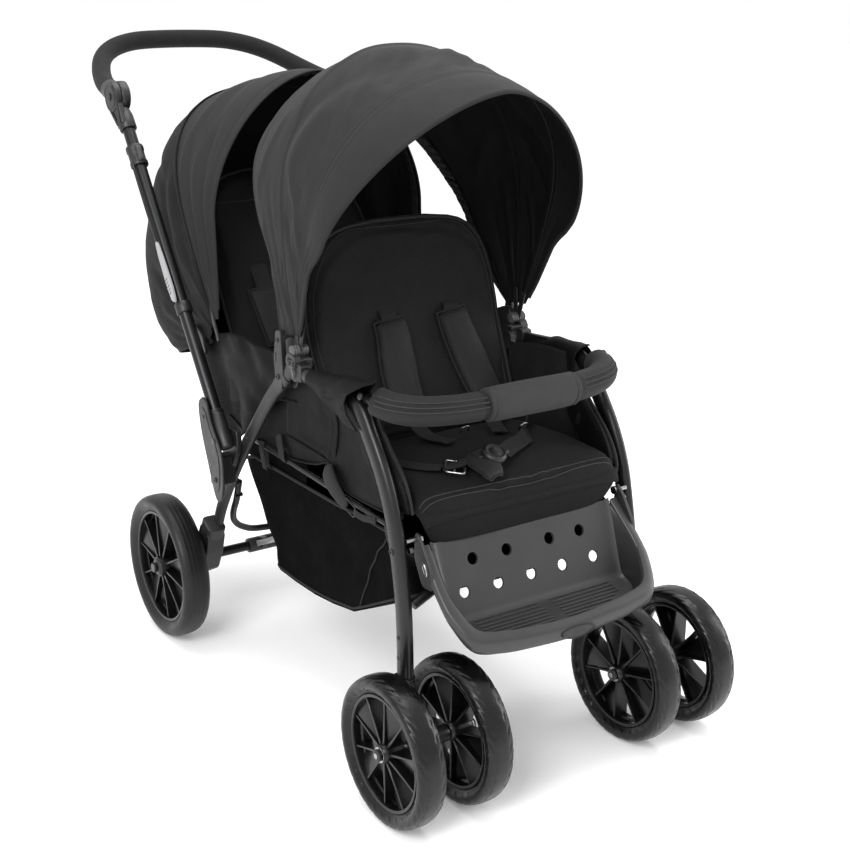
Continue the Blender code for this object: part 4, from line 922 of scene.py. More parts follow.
FRONT_Y, FRONT_Z, REAR_Y, REAR_Z = -0.3523, 0.1037, 0.3523, 0.1233
for side, n in SIDES:
    for which, offset, outside in (("outer", 0.05325, 1), ("inner", -0.05325, -1)):
        x = side * (0.2030 + offset)
        look = side * outside
        body = "wheel_front_%s_%s" % (which, n)
        c = (x, FRONT_Y, FRONT_Z)
        tyre("front_tyre_cover_%s_%s" % (which, n), c, 0.1037, 0.042, 0.080, "tyre", True, body, "front_tyre_%s_%s" % (which, n))
        rim("front_wheel_rim_%s_%s" % (which, n), c, 0.0800, 0.030, 0.0150, 0.0186, 0.0050, look, body, "front_rim_%s_%s" % (which, n), True, 0.32 if side < 0 else 1.0)
        bearing = joined(lathe([(0.0062, 0.0176), (0.0108, 0.0176), (0.0112, 0.0190), (0.0108, 0.0200), (0.0082, 0.0200), (0.0078, 0.0194), (0.0062, 0.0194)], c, (look, 0, 0), 32, closed=True),)
        piece("front_bearing_%s_%s" % (which, n), bearing, "steel", body, slot="frame_metal", sharp=40)
    c = (side * 0.2613, REAR_Y, REAR_Z)
    tyre("rear_tyre_cover_" + n, c, 0.1233, 0.047, 0.096, "tyre_rear", False, "wheel_rear_" + n, "rear_tyre_" + n)
    rim("rear_wheel_rim_" + n, c, 0.0960, 0.032, 0.0200, 0.0200, 0.0060, side, "wheel_rear_" + n, "rear_rim_" + n, False, 0.15)
    cap = lathe([(0.0150, 0.0165), (0.0158, 0.0190), (0.0150, 0.0212), (0.0125, 0.0226), (0.0080, 0.0233), (0.0, 0.0236)], c, (side, 0, 0), 40)
    piece("rear_hub_cap_" + n, cap, "plastic", "wheel_rear_" + n, slot="rim_plastic", sharp=50)
    dots = [lathe([(0.0013, 0.0), (0.0013, 0.0022), (0.0, 0.0024)], (c[0] + side * 0.0205, REAR_Y + 0.0098 * math.cos(a), REAR_Z + 0.0098 * math.sin(a)), (side, 0, 0), 8) for a in (0.5, 2.6, 4.7)]
    piece("rear_hub_marks_" + n, joined(*dots), "plastic_grey", "wheel_rear_" + n, slot="rim_plastic")

# ------------------------------------------------------------------------------------------ casters
for side, n in SIDES:
    body = "caster_" + n
    outline = rounded([(-0.2870, 0.1580), (-0.3150, 0.1580), (-0.3600, 0.1240), (-0.3680, 0.0980), (-0.3530, 0.0860), (-0.3340, 0.0900), (-0.2900, 0.1290)], 0.012, 6)
    core = slab(outline, 0.2030 - 0.0118, 0.2030 + 0.0118)
    piece("caster_arm_" + n, on_side(core, side), "plastic", body, "caster_fork_" + n, "black_plastic", bevel=0.0022, segments=3)
    housing = lathe([(0.0120, -0.0165), (0.0150, -0.0155), (0.0158, -0.0120), (0.0158, 0.0080), (0.0152, 0.0098), (0.0142, 0.0104), (0.0142, 0.0124), (0.0156, 0.0130), (0.0156, 0.0152), (0.0140, 0.0160), (0.0, 0.0160)],
                    (side * 0.2030, -0.2990, 0.1580), (0, 0, 1), 40)
    piece("caster_housing_" + n, housing, "plastic", body, slot="black_plastic", sharp=40)
    boss = lathe([(0.0060, -0.0335), (0.0112, -0.0335), (0.0120, -0.0322), (0.0125, -0.0250), (0.0125, 0.0250), (0.0120, 0.0322), (0.0112, 0.0335), (0.0060, 0.0335)], (side * 0.2030, FRONT_Y, FRONT_Z), (1, 0, 0), 36)
    axle = lathe([(0.0, -0.0790), (0.0040, -0.0790), (0.0044, -0.0780), (0.0044, 0.0780), (0.0040, 0.0790), (0.0, 0.0790)], (side * 0.2030, FRONT_Y, FRONT_Z), (1, 0, 0), 24)
    piece("caster_boss_" + n, boss, "plastic", body, slot="black_plastic", sharp=40)
    piece("caster_axle_" + n, axle, "steel", body, slot="frame_metal", sharp=40)
    caps = [lathe([(0.0084, 0.0748), (0.0085, 0.0775), (0.0072, 0.0788), (0.0050, 0.0792), (0.0044, 0.0780), (0.0, 0.0779)], (side * 0.2030, FRONT_Y, FRONT_Z), (k, 0, 0), 28) for k in (-1, 1)]
    piece("caster_axle_caps_" + n, joined(*caps), "plastic_grey", body, slot="black_plastic", sharp=40)
    # plain swivel lock under the housing, and a web line on the arm's side
    lock = slab(rounded([(-0.3020, 0.1400), (-0.2900, 0.1420), (-0.2890, 0.1300), (-0.3120, 0.1190)], 0.003), 0.2030 - 0.0135, 0.2030 + 0.0135)
    piece("caster_lock_" + n, on_side(lock, side), "plastic_grey", body, slot="black_plastic", bevel=0.0010)
    ridge = sweep(smooth([(0.2152, -0.3150, 0.1480), (0.2152, -0.3450, 0.1260), (0.2152, -0.3560, 0.1040)], 0.004), oval(0.0010, 0.0012, 8), round_ends=0.001)
    ridge2 = sweep(smooth([(0.1908, -0.3150, 0.1480), (0.1908, -0.3450, 0.1260), (0.1908, -0.3560, 0.1040)], 0.004), oval(0.0010, 0.0012, 8), round_ends=0.001)
    piece("caster_ridges_" + n, on_side(joined(ridge, ridge2), side), "plastic", body, slot="black_plastic")


# ------------------------------------------------------------------------------------------ rear legs and axle
REAR_LEG = smooth([(-0.0155, 0.5450), (0.0030, 0.5300), (0.0520, 0.4880), (0.1000, 0.4370), (0.1470, 0.3840), (0.1845, 0.3399), (0.2134, 0.3009), (0.2480, 0.2492), (0.2700, 0.2060)], 0.010)
for side, n in SIDES:
    path = np.column_stack([np.full(len(REAR_LEG), 0.205), REAR_LEG])
    piece("rear_leg_tube_" + n, on_side(sweep(path, oval(0.0065, 0.0115, 28, 2.6), ref=X_AXIS, round_ends=0.001), side), "leg_grey", "rear_frame", "rear_leg_" + n, "frame_metal")
    eye = lathe([(0.0, -0.0063), (0.0125, -0.0063), (0.0135, -0.0052), (0.0135, 0.0052), (0.0125, 0.0063), (0.0068, 0.0066), (0.0060, 0.0052), (0.0, 0.0052)], (side * 0.205, *HUB), (side, 0, 0), 32)
    piece("rear_leg_eye_" + n, eye, "plastic_grey", "rear_frame", slot="black_plastic", sharp=40)
    cover = sweep(even([(0.205, 0.0040, 0.5290), (0.205, 0.0330, 0.5045)], 6), oval(0.0078, 0.0128, 26, 2.8), ref=X_AXIS, round_ends=0.0008)
    piece("rear_leg_collar_" + n, on_side(cover, side), "plastic", "rear_frame", slot="black_plastic")
    studs = [rivet(y, z, 0.2113, side, 0.0030, 0.0013) for y, z in ((0.1330, 0.4000), (0.1990, 0.3200), (0.2590, 0.2290))]
    piece("rear_leg_studs_" + n, joined(*studs), "leg_grey", "rear_frame", slot="frame_metal")

AXLE = (0.3523, 0.1233)
axle = lathe([(0.0, -0.2905), (0.0078, -0.2905), (0.0085, -0.2895), (0.0085, -0.2860), (0.0052, -0.2855), (0.0052, -0.1965), (0.0085, -0.1960), (0.0085, 0.1960), (0.0052, 0.1965), (0.0052, 0.2855), (0.0085, 0.2860), (0.0085, 0.2895), (0.0078, 0.2905), (0.0, 0.2905)],
             (0, *AXLE), (1, 0, 0), 32)
piece("rear_axle_bar", axle, "frame", "rear_frame", "rear_axle", "frame_metal", sharp=40)
start, along, across = np.array((0.2700, 0.2060)), np.array((0.4660, -0.8850)), np.array((0.8850, 0.4660))
start = start + along * 0.0004
bracket = [start + across * 0.0165, (0.3040, 0.1800), (0.3280, 0.1580), (0.3560, 0.1490), (0.3720, 0.1370), (0.3740, 0.1150), (0.3560, 0.1060), (0.3250, 0.1060), (0.2870, 0.1260), (0.2660, 0.1650), start - across * 0.0165]
for side, n in SIDES:
    plate = slab(rounded(bracket, 0.006, 5), 0.2130 - 0.0160, 0.2130 + 0.0160)
    piece("axle_bracket_body_" + n, on_side(plate, side), "plastic", "rear_frame", "axle_bracket_" + n, "black_plastic", bevel=0.0022, segments=3)
    collar_line = even([np.array((0.2130, *(start - along * 0.0120))), np.array((0.2130, *(start + along * 0.016)))], 6)
    collar = sweep(collar_line, oval(0.0162, 0.0185, 30, 4.0), ref=X_AXIS, round_ends=0.0015)
    piece("axle_bracket_collar_" + n, on_side(collar, side), "plastic_grey", "rear_frame", slot="black_plastic")
    steps_ = [slab(rounded([(0.2950, 0.1760), (0.3120, 0.1600), (0.3180, 0.1310), (0.2960, 0.1330), (0.2820, 0.1560)], 0.005), 0.2288, 0.2306),
              slab(rounded([(0.3250, 0.1500), (0.3540, 0.1425), (0.3650, 0.1250), (0.3540, 0.1130), (0.3270, 0.1130)], 0.006), 0.2288, 0.2312)]
    piece("axle_bracket_steps_" + n, on_side(joined(*steps_), side), "plastic", "rear_frame", slot="black_plastic", bevel=0.0009)
    inner_steps = [slab(rounded([(0.2950, 0.1760), (0.3120, 0.1600), (0.3180, 0.1310), (0.2960, 0.1330), (0.2820, 0.1560)], 0.005), 0.1956, 0.1972)]
    piece("axle_bracket_inner_" + n, on_side(joined(*inner_steps), side), "plastic", "rear_frame", slot="black_plastic", bevel=0.0009)
    screw = joined(rivet(0.2860, 0.1900, 0.2290, side, 0.0040, 0.0020, True), rivet(0.3430, 0.1300, 0.2312, side, 0.0045, 0.0020, True))
    piece("axle_bracket_screws_" + n, screw, "frame", "rear_frame", slot="frame_metal")

LOWER = smooth([(-0.1890, 0.2130, 0.3010), (-0.1885, 0.2260, 0.2660), (-0.1850, 0.2470, 0.2380), (-0.1760, 0.2640, 0.2140), (-0.1550, 0.2740, 0.1950), (-0.1150, 0.2800, 0.1830), (0, 0.2810, 0.1800),
                (0.1150, 0.2800, 0.1830), (0.1550, 0.2740, 0.1950), (0.1760, 0.2640, 0.2140), (0.1850, 0.2470, 0.2380), (0.1885, 0.2260, 0.2660), (0.1890, 0.2130, 0.3010)], 0.008)
piece("lower_bar_tube", tube(LOWER, 0.0056, 18, round_ends=0.003), "frame", "rear_frame", "lower_bar", "frame_metal")
for side, n in SIDES:
    knob = joined(lathe([(0.0, -0.0045), (0.0068, -0.0045), (0.0078, -0.0030), (0.0078, 0.0040), (0.0, 0.0050)], (side * 0.1950, 0.2130, 0.3010), (side, 0, 0), 24))
    bolt = lathe([(0.0040, -0.004), (0.0040, 0.0075), (0.0032, 0.0085), (0.0, 0.0086)], (side * 0.1900, 0.2185, 0.2760), (-side, 0, 0), 6)
    piece("lower_bar_knob_" + n, knob, "plastic", "rear_frame", slot="black_plastic", sharp=40)
    piece("lower_bar_bolt_" + n, bolt, "frame", "rear_frame", slot="frame_metal")

# brake: ring round the axle and a light tread plate
ring = lathe([(0.0089, -0.1100), (0.0120, -0.1100), (0.0129, -0.1088), (0.0129, 0.1088), (0.0120, 0.1100), (0.0089, 0.1100)], (0, *AXLE), (1, 0, 0), 36, closed=True)
piece("brake_sleeve", ring, "plastic", "brake", "brake_pedal", "black_plastic", sharp=40)
tread = slab(rounded([(0.3440, 0.1330), (0.3400, 0.1235), (0.3050, 0.1400), (0.2705, 0.1620), (0.2730, 0.1668), (0.3080, 0.1470)], 0.002), -0.098, 0.098)
piece("brake_tread", tread, "lever", "brake", slot="black_plastic", bevel=0.0014, segments=3)
grips = []
for k in range(5):
    t = 0.16 + 0.18 * k
    y, z = 0.3400 - (0.3400 - 0.2735) * t, 0.1335 + (0.1668 - 0.1335) * t - 0.0030 * math.sin(math.pi * t)
    grips.append(sweep(even([(-0.088, y, z), (0.088, y, z)], 12), oval(0.0012, 0.0013, 8), round_ends=0.001))
piece("brake_grips", joined(*grips), "lever", "brake", slot="lever_plastic")
arms = [slab(rounded([(0.3560, 0.1360), (0.3610, 0.1240), (0.3500, 0.1170), (0.3330, 0.1210), (0.3250, 0.1390), (0.3400, 0.1400)], 0.004), x - 0.005, x + 0.005) for x in (-0.086, 0.086)]
piece("brake_arms", joined(*arms), "plastic", "brake", slot="black_plastic", bevel=0.001)

# ------------------------------------------------------------------------------------------ fold brackets
leaf_outline = smooth([(0.2030, 0.4560), (0.1880, 0.4490), (0.1740, 0.4180), (0.1440, 0.3780), (0.1390, 0.3400), (0.1460, 0.3060), (0.1600, 0.2940), (0.1730, 0.3060), (0.1910, 0.3480), (0.2110, 0.4000), (0.2170, 0.4420), (0.2030, 0.4560)], 0.006)[:-1]
leaf_inset = smooth([(0.2020, 0.4400), (0.1910, 0.4340), (0.1800, 0.4130), (0.1530, 0.3740), (0.1490, 0.3420), (0.1540, 0.3160), (0.1600, 0.3100), (0.1660, 0.3180), (0.1810, 0.3520), (0.2010, 0.4010), (0.2070, 0.4330), (0.2020, 0.4400)], 0.006)[:-1]
for side, n in SIDES:
    inner_plate = slab(rounded([(0.1480, 0.4080), (0.1840, 0.4080), (0.1990, 0.3700), (0.2150, 0.3080), (0.1930, 0.3020), (0.1700, 0.3430), (0.1480, 0.3760)], 0.009), 0.2124, 0.2212)
    piece("fold_plate_" + n, on_side(inner_plate, side), "plastic", "rear_frame", "fold_bracket_" + n, "black_plastic", bevel=0.0012)
    piece("fold_leaf_" + n, on_side(slab(leaf_outline, 0.2478, 0.2522), side), "plastic", "rear_frame", slot="black_plastic", bevel=0.0014, segments=3)
    piece("fold_leaf_face_" + n, on_side(slab(leaf_inset, 0.2522, 0.2532), side), "plastic", "rear_frame", slot="black_plastic", bevel=0.0006)
    piece("fold_block_" + n, on_side(slab(rounded([(0.1680, 0.3640), (0.1930, 0.3640), (0.1930, 0.3150), (0.1700, 0.3150)], 0.004), 0.2150, 0.2478), side), "plastic", "rear_frame", slot="black_plastic", bevel=0.0010)
    pin = lathe([(0.0, -0.0200), (0.0044, -0.0200), (0.0044, 0.0180), (0.0064, 0.0182), (0.0064, 0.0196), (0.0045, 0.0204), (0.0, 0.0205)], (side * 0.2330, *FOLD), (side, 0, 0), 24)
    piece("fold_pin_" + n, pin, "frame", "rear_frame", slot="frame_metal", sharp=40)
    studs = joined(rivet(0.1630, 0.3300, 0.2531, side, 0.0042, 0.0022, True), rivet(0.1985, 0.4250, 0.2531, side, 0.0034, 0.0016))
    piece("fold_studs_" + n, studs, "plastic", "rear_frame", slot="black_plastic")

# ------------------------------------------------------------------------------------------ push frame
def tube_lathe(profile, x, count=28, closed=False):
    """profile (radius, distance up the push tube)."""
    d = (0.0, math.cos(SLOPE), math.sin(SLOPE))
    return lathe(profile, (x, *FOLD), d, count, closed=closed)


for side, n in SIDES:
    boot = tube_lathe([(0.0, -0.0140), (0.0100, -0.0140), (0.0122, -0.0125), (0.0124, -0.0060), (0.0124, 0.0420), (0.0118, 0.0430), (0.0118, 0.0455), (0.0124, 0.0465), (0.0124, 0.0492), (0.0116, 0.0500), (0.0, 0.0500)], side * 0.2340, 32)
    piece("push_boot_" + n, boot, "plastic", "push_frame", "push_sleeve_" + n, "black_plastic", sharp=40)
    pole = tube_lathe([(0.0, 0.0134), (0.01025, 0.0134), (0.01025, 0.3), (0.01025, 0.5600), (0.0, 0.5600)], side * 0.2340, 36)
    piece("push_pole_" + n, pole, "frame", "push_frame", "push_tube_" + n, "frame_metal", sharp=40)
    socket = tube_lathe([(0.0, 0.5510), (0.0134, 0.5510), (0.0142, 0.5524), (0.0141, 0.5650), (0.0138, 0.5750), (0.0110, 0.5880), (0.0, 0.5890)], side * 0.2340, 32)
    disc = lathe([(0.0, -0.0060), (0.0240, -0.0060), (0.0255, -0.0044), (0.0255, 0.0030), (0.0248, 0.0046), (0.0225, 0.0056), (0.0212, 0.0048), (0.0190, 0.0048), (0.0178, 0.0060), (0.0060, 0.0062), (0.0, 0.0062)], (side * 0.2435, *HANDLE), (side, 0, 0), 48)
    neck_rows = []
    for s_, lo, hi in ((0.5600, -0.0118, 0.0118), (0.5630, -0.0125, 0.0125), (0.5750, -0.0130, 0.0130), (0.5860, -0.0145, 0.0145), (0.5980, -0.0160, 0.0160)):
        ring_pts = rounded([(0.2352, lo), (0.2468, lo), (0.2468, hi), (0.2352, hi)], 0.004, 3)
        neck_rows.append([(x, *on_tube(s_, a)) for x, a in ring_pts])
    piece("handle_socket_body_" + n, on_side(joined(mirrored(socket) if side < 0 else socket, (mirrored(disc) if side < 0 else disc), rows_mesh(np.array(neck_rows))), side), "plastic", "push_frame", "handle_socket_" + n, "black_plastic", sharp=40)
    face = lathe([(0.0, 0.0060), (0.0060, 0.0060), (0.0064, 0.0076), (0.0050, 0.0090), (0.0, 0.0092)], (side * 0.2435, *HANDLE), (side, 0, 0), 24)
    piece("handle_socket_cap_" + n, face, "plastic_grey", "push_frame", slot="black_plastic")
    # Y-shaped ribs of the neck
    ribs = []
    for a_end in (-0.0150, 0.0150):
        p0, p1 = on_tube(0.5640, a_end * 0.35), on_tube(0.5960, a_end)
        ribs.append(sweep(even([(0.2475, *p0), (0.2478, *p1)], 8), oval(0.0018, 0.0022, 10), round_ends=0.001))
    piece("handle_socket_ribs_" + n, on_side(joined(*ribs), side), "plastic_grey", "push_frame", slot="black_plastic")

    # fold release: collar on the tube, rod, finger lever
    collar = tube_lathe([(0.0106, 0.4830), (0.0140, 0.4830), (0.0148, 0.4845), (0.0148, 0.4900), (0.0136, 0.4915), (0.0134, 0.5080), (0.0146, 0.5100), (0.0148, 0.5160), (0.0142, 0.5186), (0.0106, 0.5190)], side * 0.2340, 36, closed=True)
    piece("release_collar_" + n, collar, "plastic", "fold_release_" + n, "tube_collar_" + n, "black_plastic", sharp=40)
    tab = [(0.2340, *on_tube(s_, -0.0135)) for s_ in (0.488, 0.500, 0.512)]
    tab_piece = sweep(even(tab, 6), oval(0.0055, 0.0042, 18, 3.0), ref=X_AXIS, round_ends=0.002)
    piece("release_tab_" + n, on_side(tab_piece, side), "plastic_grey", "fold_release_" + n, slot="black_plastic")
    rod_line = [(0.249, *on_tube(0.3200, -0.0090)), (0.249, *on_tube(0.4000, -0.0072)), (0.2480, *on_tube(0.4827, -0.0055))]
    rod = tube(smooth(rod_line, 0.010), 0.0022, 12, round_ends=0.001)
    lever_rows = []
    for s_, top, low, half in ((0.2355, -0.0105, -0.0115, 0.0010), (0.2370, -0.0070, -0.0120, 0.0022), (0.2420, -0.0026, -0.0135, 0.0028), (0.2620, -0.0008, -0.0153, 0.0030), (0.2900, -0.0012, -0.0150, 0.0029),
                               (0.3200, -0.0026, -0.0135, 0.0028), (0.3380, -0.0050, -0.0112, 0.0026), (0.3450, -0.0066, -0.0098, 0.0018)):
        ring_pts = rounded([(0.2490 - half, top), (0.2490 + half, top), (0.2490 + half, low), (0.2490 - half, low)], 0.0016, 3)
        lever_rows.append([(x, *on_tube(s_, a)) for x, a in ring_pts])
    piece("release_lever_" + n, on_side(rows_mesh(np.array(lever_rows)), side), "lever", "fold_release_" + n, "fold_lever_" + n, "lever_plastic", sharp=50)
    piece("release_rod_" + n, on_side(rod, side), "frame", "fold_release_" + n, slot="lever_plastic")
    groove = [sweep(even([(0.2520, *on_tube(s_, -0.0040)), (0.2520, *on_tube(s_ + 0.001, -0.0125))], 5), oval(0.0006, 0.0006, 6), round_ends=0.0005) for s_ in (0.252, 0.258, 0.264, 0.270, 0.276)]
    piece("release_grips_" + n, on_side(joined(*groove), side), "plastic_grey", "fold_release_" + n, slot="lever_plastic")
    # dark clip fixed to the pole under the lever
    clip = tube_lathe([(0.0103, 0.2180), (0.0128, 0.2180), (0.0134, 0.2195), (0.0134, 0.2345), (0.0128, 0.2360), (0.0103, 0.2360)], side * 0.2340, 28, closed=True)
    piece("pole_clip_" + n, clip, "plastic", "push_frame", slot="black_plastic", sharp=40)


def u_bend(foot, apex, half_foot, half, power, sag, begin, count):
    points = []
    for k in range(count + 1):
        a = begin + (math.pi - 2 * begin) * k / count
        t = math.sin(a) ** (2 / power)
        wide = half + (half_foot - half) * max(0.0, 1 - 1.6 * t)
        lift_ = t * (1 - sag) + sag * t * t
        c = math.cos(a)
        points.append((-math.copysign(wide * abs(c) ** (2 / power), c), foot[0] + (apex[0] - foot[0]) * t, foot[1] + (apex[1] - foot[1]) * lift_))
    return np.array(points)


HANDLE_LINE = smooth(u_bend(HANDLE, (0.7850, 0.9815), 0.2290, 0.2105, 3.25, 0.90, 0.0300, 18), 0.012)
foam = sweep(HANDLE_LINE, oval(0.0163, 0.0163, 30), round_ends=0.004)
piece("handle_foam", foam, "foam", "handle", "handle_bar", "grip_foam")
for side, n in SIDES:
    knuckle = lathe([(0.0, -0.0078), (0.0225, -0.0078), (0.0250, -0.0062), (0.0255, -0.0030), (0.0255, 0.0050), (0.0240, 0.0074), (0.0200, 0.0078), (0.0, 0.0078)], (side * 0.2290, *HANDLE), (side, 0, 0), 44)
    cuff_points = HANDLE_LINE[:6] if side < 0 else HANDLE_LINE[::-1][:6]
    cuff = sweep(even(cuff_points[1:4], 5), oval(0.0172, 0.0172, 28), round_ends=0.001)
    piece("handle_knuckle_" + n, joined(knuckle), "plastic", "handle", slot="black_plastic", sharp=40)
    piece("handle_cuff_" + n, joined(cuff), "plastic", "handle", slot="black_plastic", sharp=40)


# ------------------------------------------------------------------------------------------ cloth helpers
def shell(grid, thick, middle):
    """A closed sheet from a grid of outside points: (verts, faces, which faces are the inside). middle lies inside it."""
    grid = np.asarray(grid, float)
    n, m = grid.shape[:2]
    normal = unit(np.cross(np.gradient(grid, axis=1), np.gradient(grid, axis=0)))
    if ((grid - np.array(middle)) * normal).sum() < 0:
        normal = -normal
    inner = grid - normal * (thick if np.isscalar(thick) else np.asarray(thick)[:, :, None])
    verts = np.concatenate([grid.reshape(-1, 3), inner.reshape(-1, 3)])
    at = lambda i, k, low: low * n * m + i * m + k
    faces, inside = [], []
    for i in range(n - 1):
        for k in range(m - 1):
            faces.append((at(i, k, 0), at(i, k + 1, 0), at(i + 1, k + 1, 0), at(i + 1, k, 0)))
            inside.append(0)
            faces.append((at(i, k, 1), at(i + 1, k, 1), at(i + 1, k + 1, 1), at(i, k + 1, 1)))
            inside.append(1)
    edge = [(0, k) for k in range(m)] + [(i, m - 1) for i in range(1, n)] + [(n - 1, k) for k in range(m - 2, -1, -1)] + [(i, 0) for i in range(n - 2, 0, -1)]
    for a, b in zip(edge, edge[1:] + edge[:1]):
        faces.append((at(*a, 0), at(*a, 1), at(*b, 1), at(*b, 0)))
        inside.append(0)
    return verts, faces, inside


def area_of(grid):
    grid = np.asarray(grid, float)
    a = np.cross(grid[1:, :-1] - grid[:-1, :-1], grid[:-1, 1:] - grid[:-1, :-1])
    b = np.cross(grid[1:, :-1] - grid[1:, 1:], grid[:-1, 1:] - grid[1:, 1:])
    return float(0.5 * (np.linalg.norm(a, axis=2).sum() + np.linalg.norm(b, axis=2).sum()))


def spans(grid):
    """The greatest width and length of a grid, along its rows and across them."""
    grid = np.asarray(grid, float)
    return (float(np.linalg.norm(np.diff(grid, axis=1), axis=2).sum(1).max()), float(np.linalg.norm(np.diff(grid, axis=0), axis=2).sum(0).max()))


def cloth_piece(name, grid, material, body=None, replaces=(), slot=None, thick=0.0018, middle=(0, 0, 0.5), lining=None, held="stretched", sharp=0, rests=()):
    verts, faces, inside = shell(grid, thick, middle)
    obj = piece(name, (verts, faces), material, body, replaces, slot, sharp=sharp, recalc=False, extra=(lining,) if lining else ())
    work = bmesh.new()
    work.from_mesh(obj.data)
    bmesh.ops.recalc_face_normals(work, faces=work.faces)
    work.to_mesh(obj.data)
    work.free()
    if lining:
        obj.data.polygons.foreach_set("material_index", inside)
    obj.data.shade_smooth()
    width, length = spans(grid)
    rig.sheet(obj, flat=(round(width * 1.02, 3), round(length * 1.02, 3)), held=held, area=round(min(area_of(grid) * 1.03, width * length * 1.04), 4), rests_on=list(rests))
    return obj


def wave(place, scale, seed):
    """Smooth noise in -1..1 at each point of an (n, m, 2 or 3) array."""
    flat = np.asarray(place, float)
    n, m = flat.shape[:2]
    out = np.empty((n, m))
    for i in range(n):
        for k in range(m):
            p = flat[i, k]
            out[i, k] = noise.noise(Vector((p[0] * scale, p[1] * scale + seed * 7.31, (p[2] * scale if len(p) > 2 else 0.0) + seed * 3.17)))
    return out


def folds(u, v, length, width, lines):
    """Height of creases on a sheet. u, v run 0..1; a line is (u0, v0, u1, v1, height, half width in metres)."""
    out = np.zeros_like(u)
    x, y = u * length, v * width
    for u0, v0, u1, v1, height, half in lines:
        ax, ay, bx, by = u0 * length, v0 * width, u1 * length, v1 * width
        dx, dy = bx - ax, by - ay
        size = max(math.hypot(dx, dy), 1e-6)
        along = ((x - ax) * dx + (y - ay) * dy) / size ** 2
        away = ((x - ax) * -dy + (y - ay) * dx) / size + 0.12 * half * np.sin(9 * along)
        fade = np.clip(along / 0.25, 0, 1) * np.clip((1 - along) / 0.25, 0, 1)
        fade = fade * fade * (3 - 2 * fade)
        out += height * fade * np.exp(-(away / half) ** 2)
    return out


def bow(pivot, theta, half_foot, half, shoulder, rise, power, start=0.036, count=150):
    """A canopy bow about a pivot, from the near foot over the top to the far foot; theta may be a function of the reach."""
    reach = np.concatenate([np.linspace(start, shoulder, 40)[:-1], np.full(120, shoulder)])
    a = np.linspace(0, math.pi / 2, 120)
    r = np.concatenate([reach[:39], shoulder + rise * np.sin(a) ** (2 / power)])
    x = np.concatenate([half_foot + (half - half_foot) * np.sin(math.pi / 2 * (reach[:39] - start) / (shoulder - start)), half * np.clip(np.cos(a), 0, 1) ** (2 / power)])
    t = np.array([theta(v) if callable(theta) else theta for v in r])
    t = np.radians(t)
    right = np.column_stack([-x, pivot[0] - r * np.sin(t), pivot[1] + r * np.cos(t)])
    left = right[::-1].copy()
    left[:, 0] *= -1
    return even(np.vstack([right, left[1:]]), count)


def between(bows, marks, puffs, rows):
    """Rows of cloth carried over bows: marks are the bows' places in 0..1; puffs is not used."""
    out = []
    for v in np.linspace(0, 1, rows):
        k = min(len(bows) - 2, max(0, int(np.searchsorted(marks, v, side="right")) - 1))
        t = (v - marks[k]) / (marks[k + 1] - marks[k])
        out.append((1 - t) * bows[k] + t * bows[k + 1])
    return np.array(out)


def outward(grid, middle):
    normal = unit(np.cross(np.gradient(grid, axis=1), np.gradient(grid, axis=0)))
    return normal if ((grid - np.array(middle)) * normal).sum() > 0 else -normal


def row(point):
    """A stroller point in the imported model's frame."""
    return (point[0], point[1] + S, point[2])


# ------------------------------------------------------------------------------------------ front canopy
def visor_theta(r):
    return float(np.interp(r, [0.043, 0.080, 0.117, 0.150, 0.168, 0.185, 0.2064], [23.0, 25.5, 25.3, 25.4, 27.2, 29.6, 31.08]))


def hem_theta(r):
    return float(np.interp(r, [0.050, 0.075, 0.110, 0.170], [-50.0, -44.0, -39.0, -36.3]))


COUNT = 190
hem = bow(HUB, hem_theta, 0.2055, 0.1833, 0.208, 0.2240, 2.08, 0.050, COUNT)
bow_1 = bow(HUB, -4.0, 0.2007, 0.2097, 0.203, 0.2338, 2.15, 0.038, COUNT)
bow_2 = bow(HUB, 17.2, 0.1999, 0.2103, 0.205, 0.2184, 2.07, 0.040, COUNT)
visor_rim = bow(HUB, visor_theta, 0.2029, 0.2164, 0.2139, 0.2323, 1.657, 0.043, COUNT)
TOP = (0, -0.06, 0.70)
ROWS_A, ROWS_B = 56, 44
uu = np.linspace(0, 1, COUNT)
rear_gore = np.array([(1 - t) * hem + t * bow_1 for t in np.linspace(0, 1, ROWS_A)])
mid_gore = np.array([(1 - t) * bow_1 + t * bow_2 for t in np.linspace(0, 1, ROWS_B)])
canopy = np.concatenate([rear_gore, mid_gore[1:]])
v_all = np.concatenate([np.linspace(0, 0.58, ROWS_A), np.linspace(0.58, 1, ROWS_B)[1:]])
U, V = np.meshgrid(uu, v_all)
gore_t = np.concatenate([np.linspace(0, 1, ROWS_A), np.linspace(0, 1, ROWS_B)[1:]])[:, None] + 0 * U
is_rear = (V <= 0.58)
high = np.clip(np.minimum(U, 1 - U) / 0.16, 0, 1)
puff_height = np.where(is_rear, 0.0105, 0.0040) * np.sin(math.pi * np.clip(gore_t, 0, 1)) * high
relief = puff_height
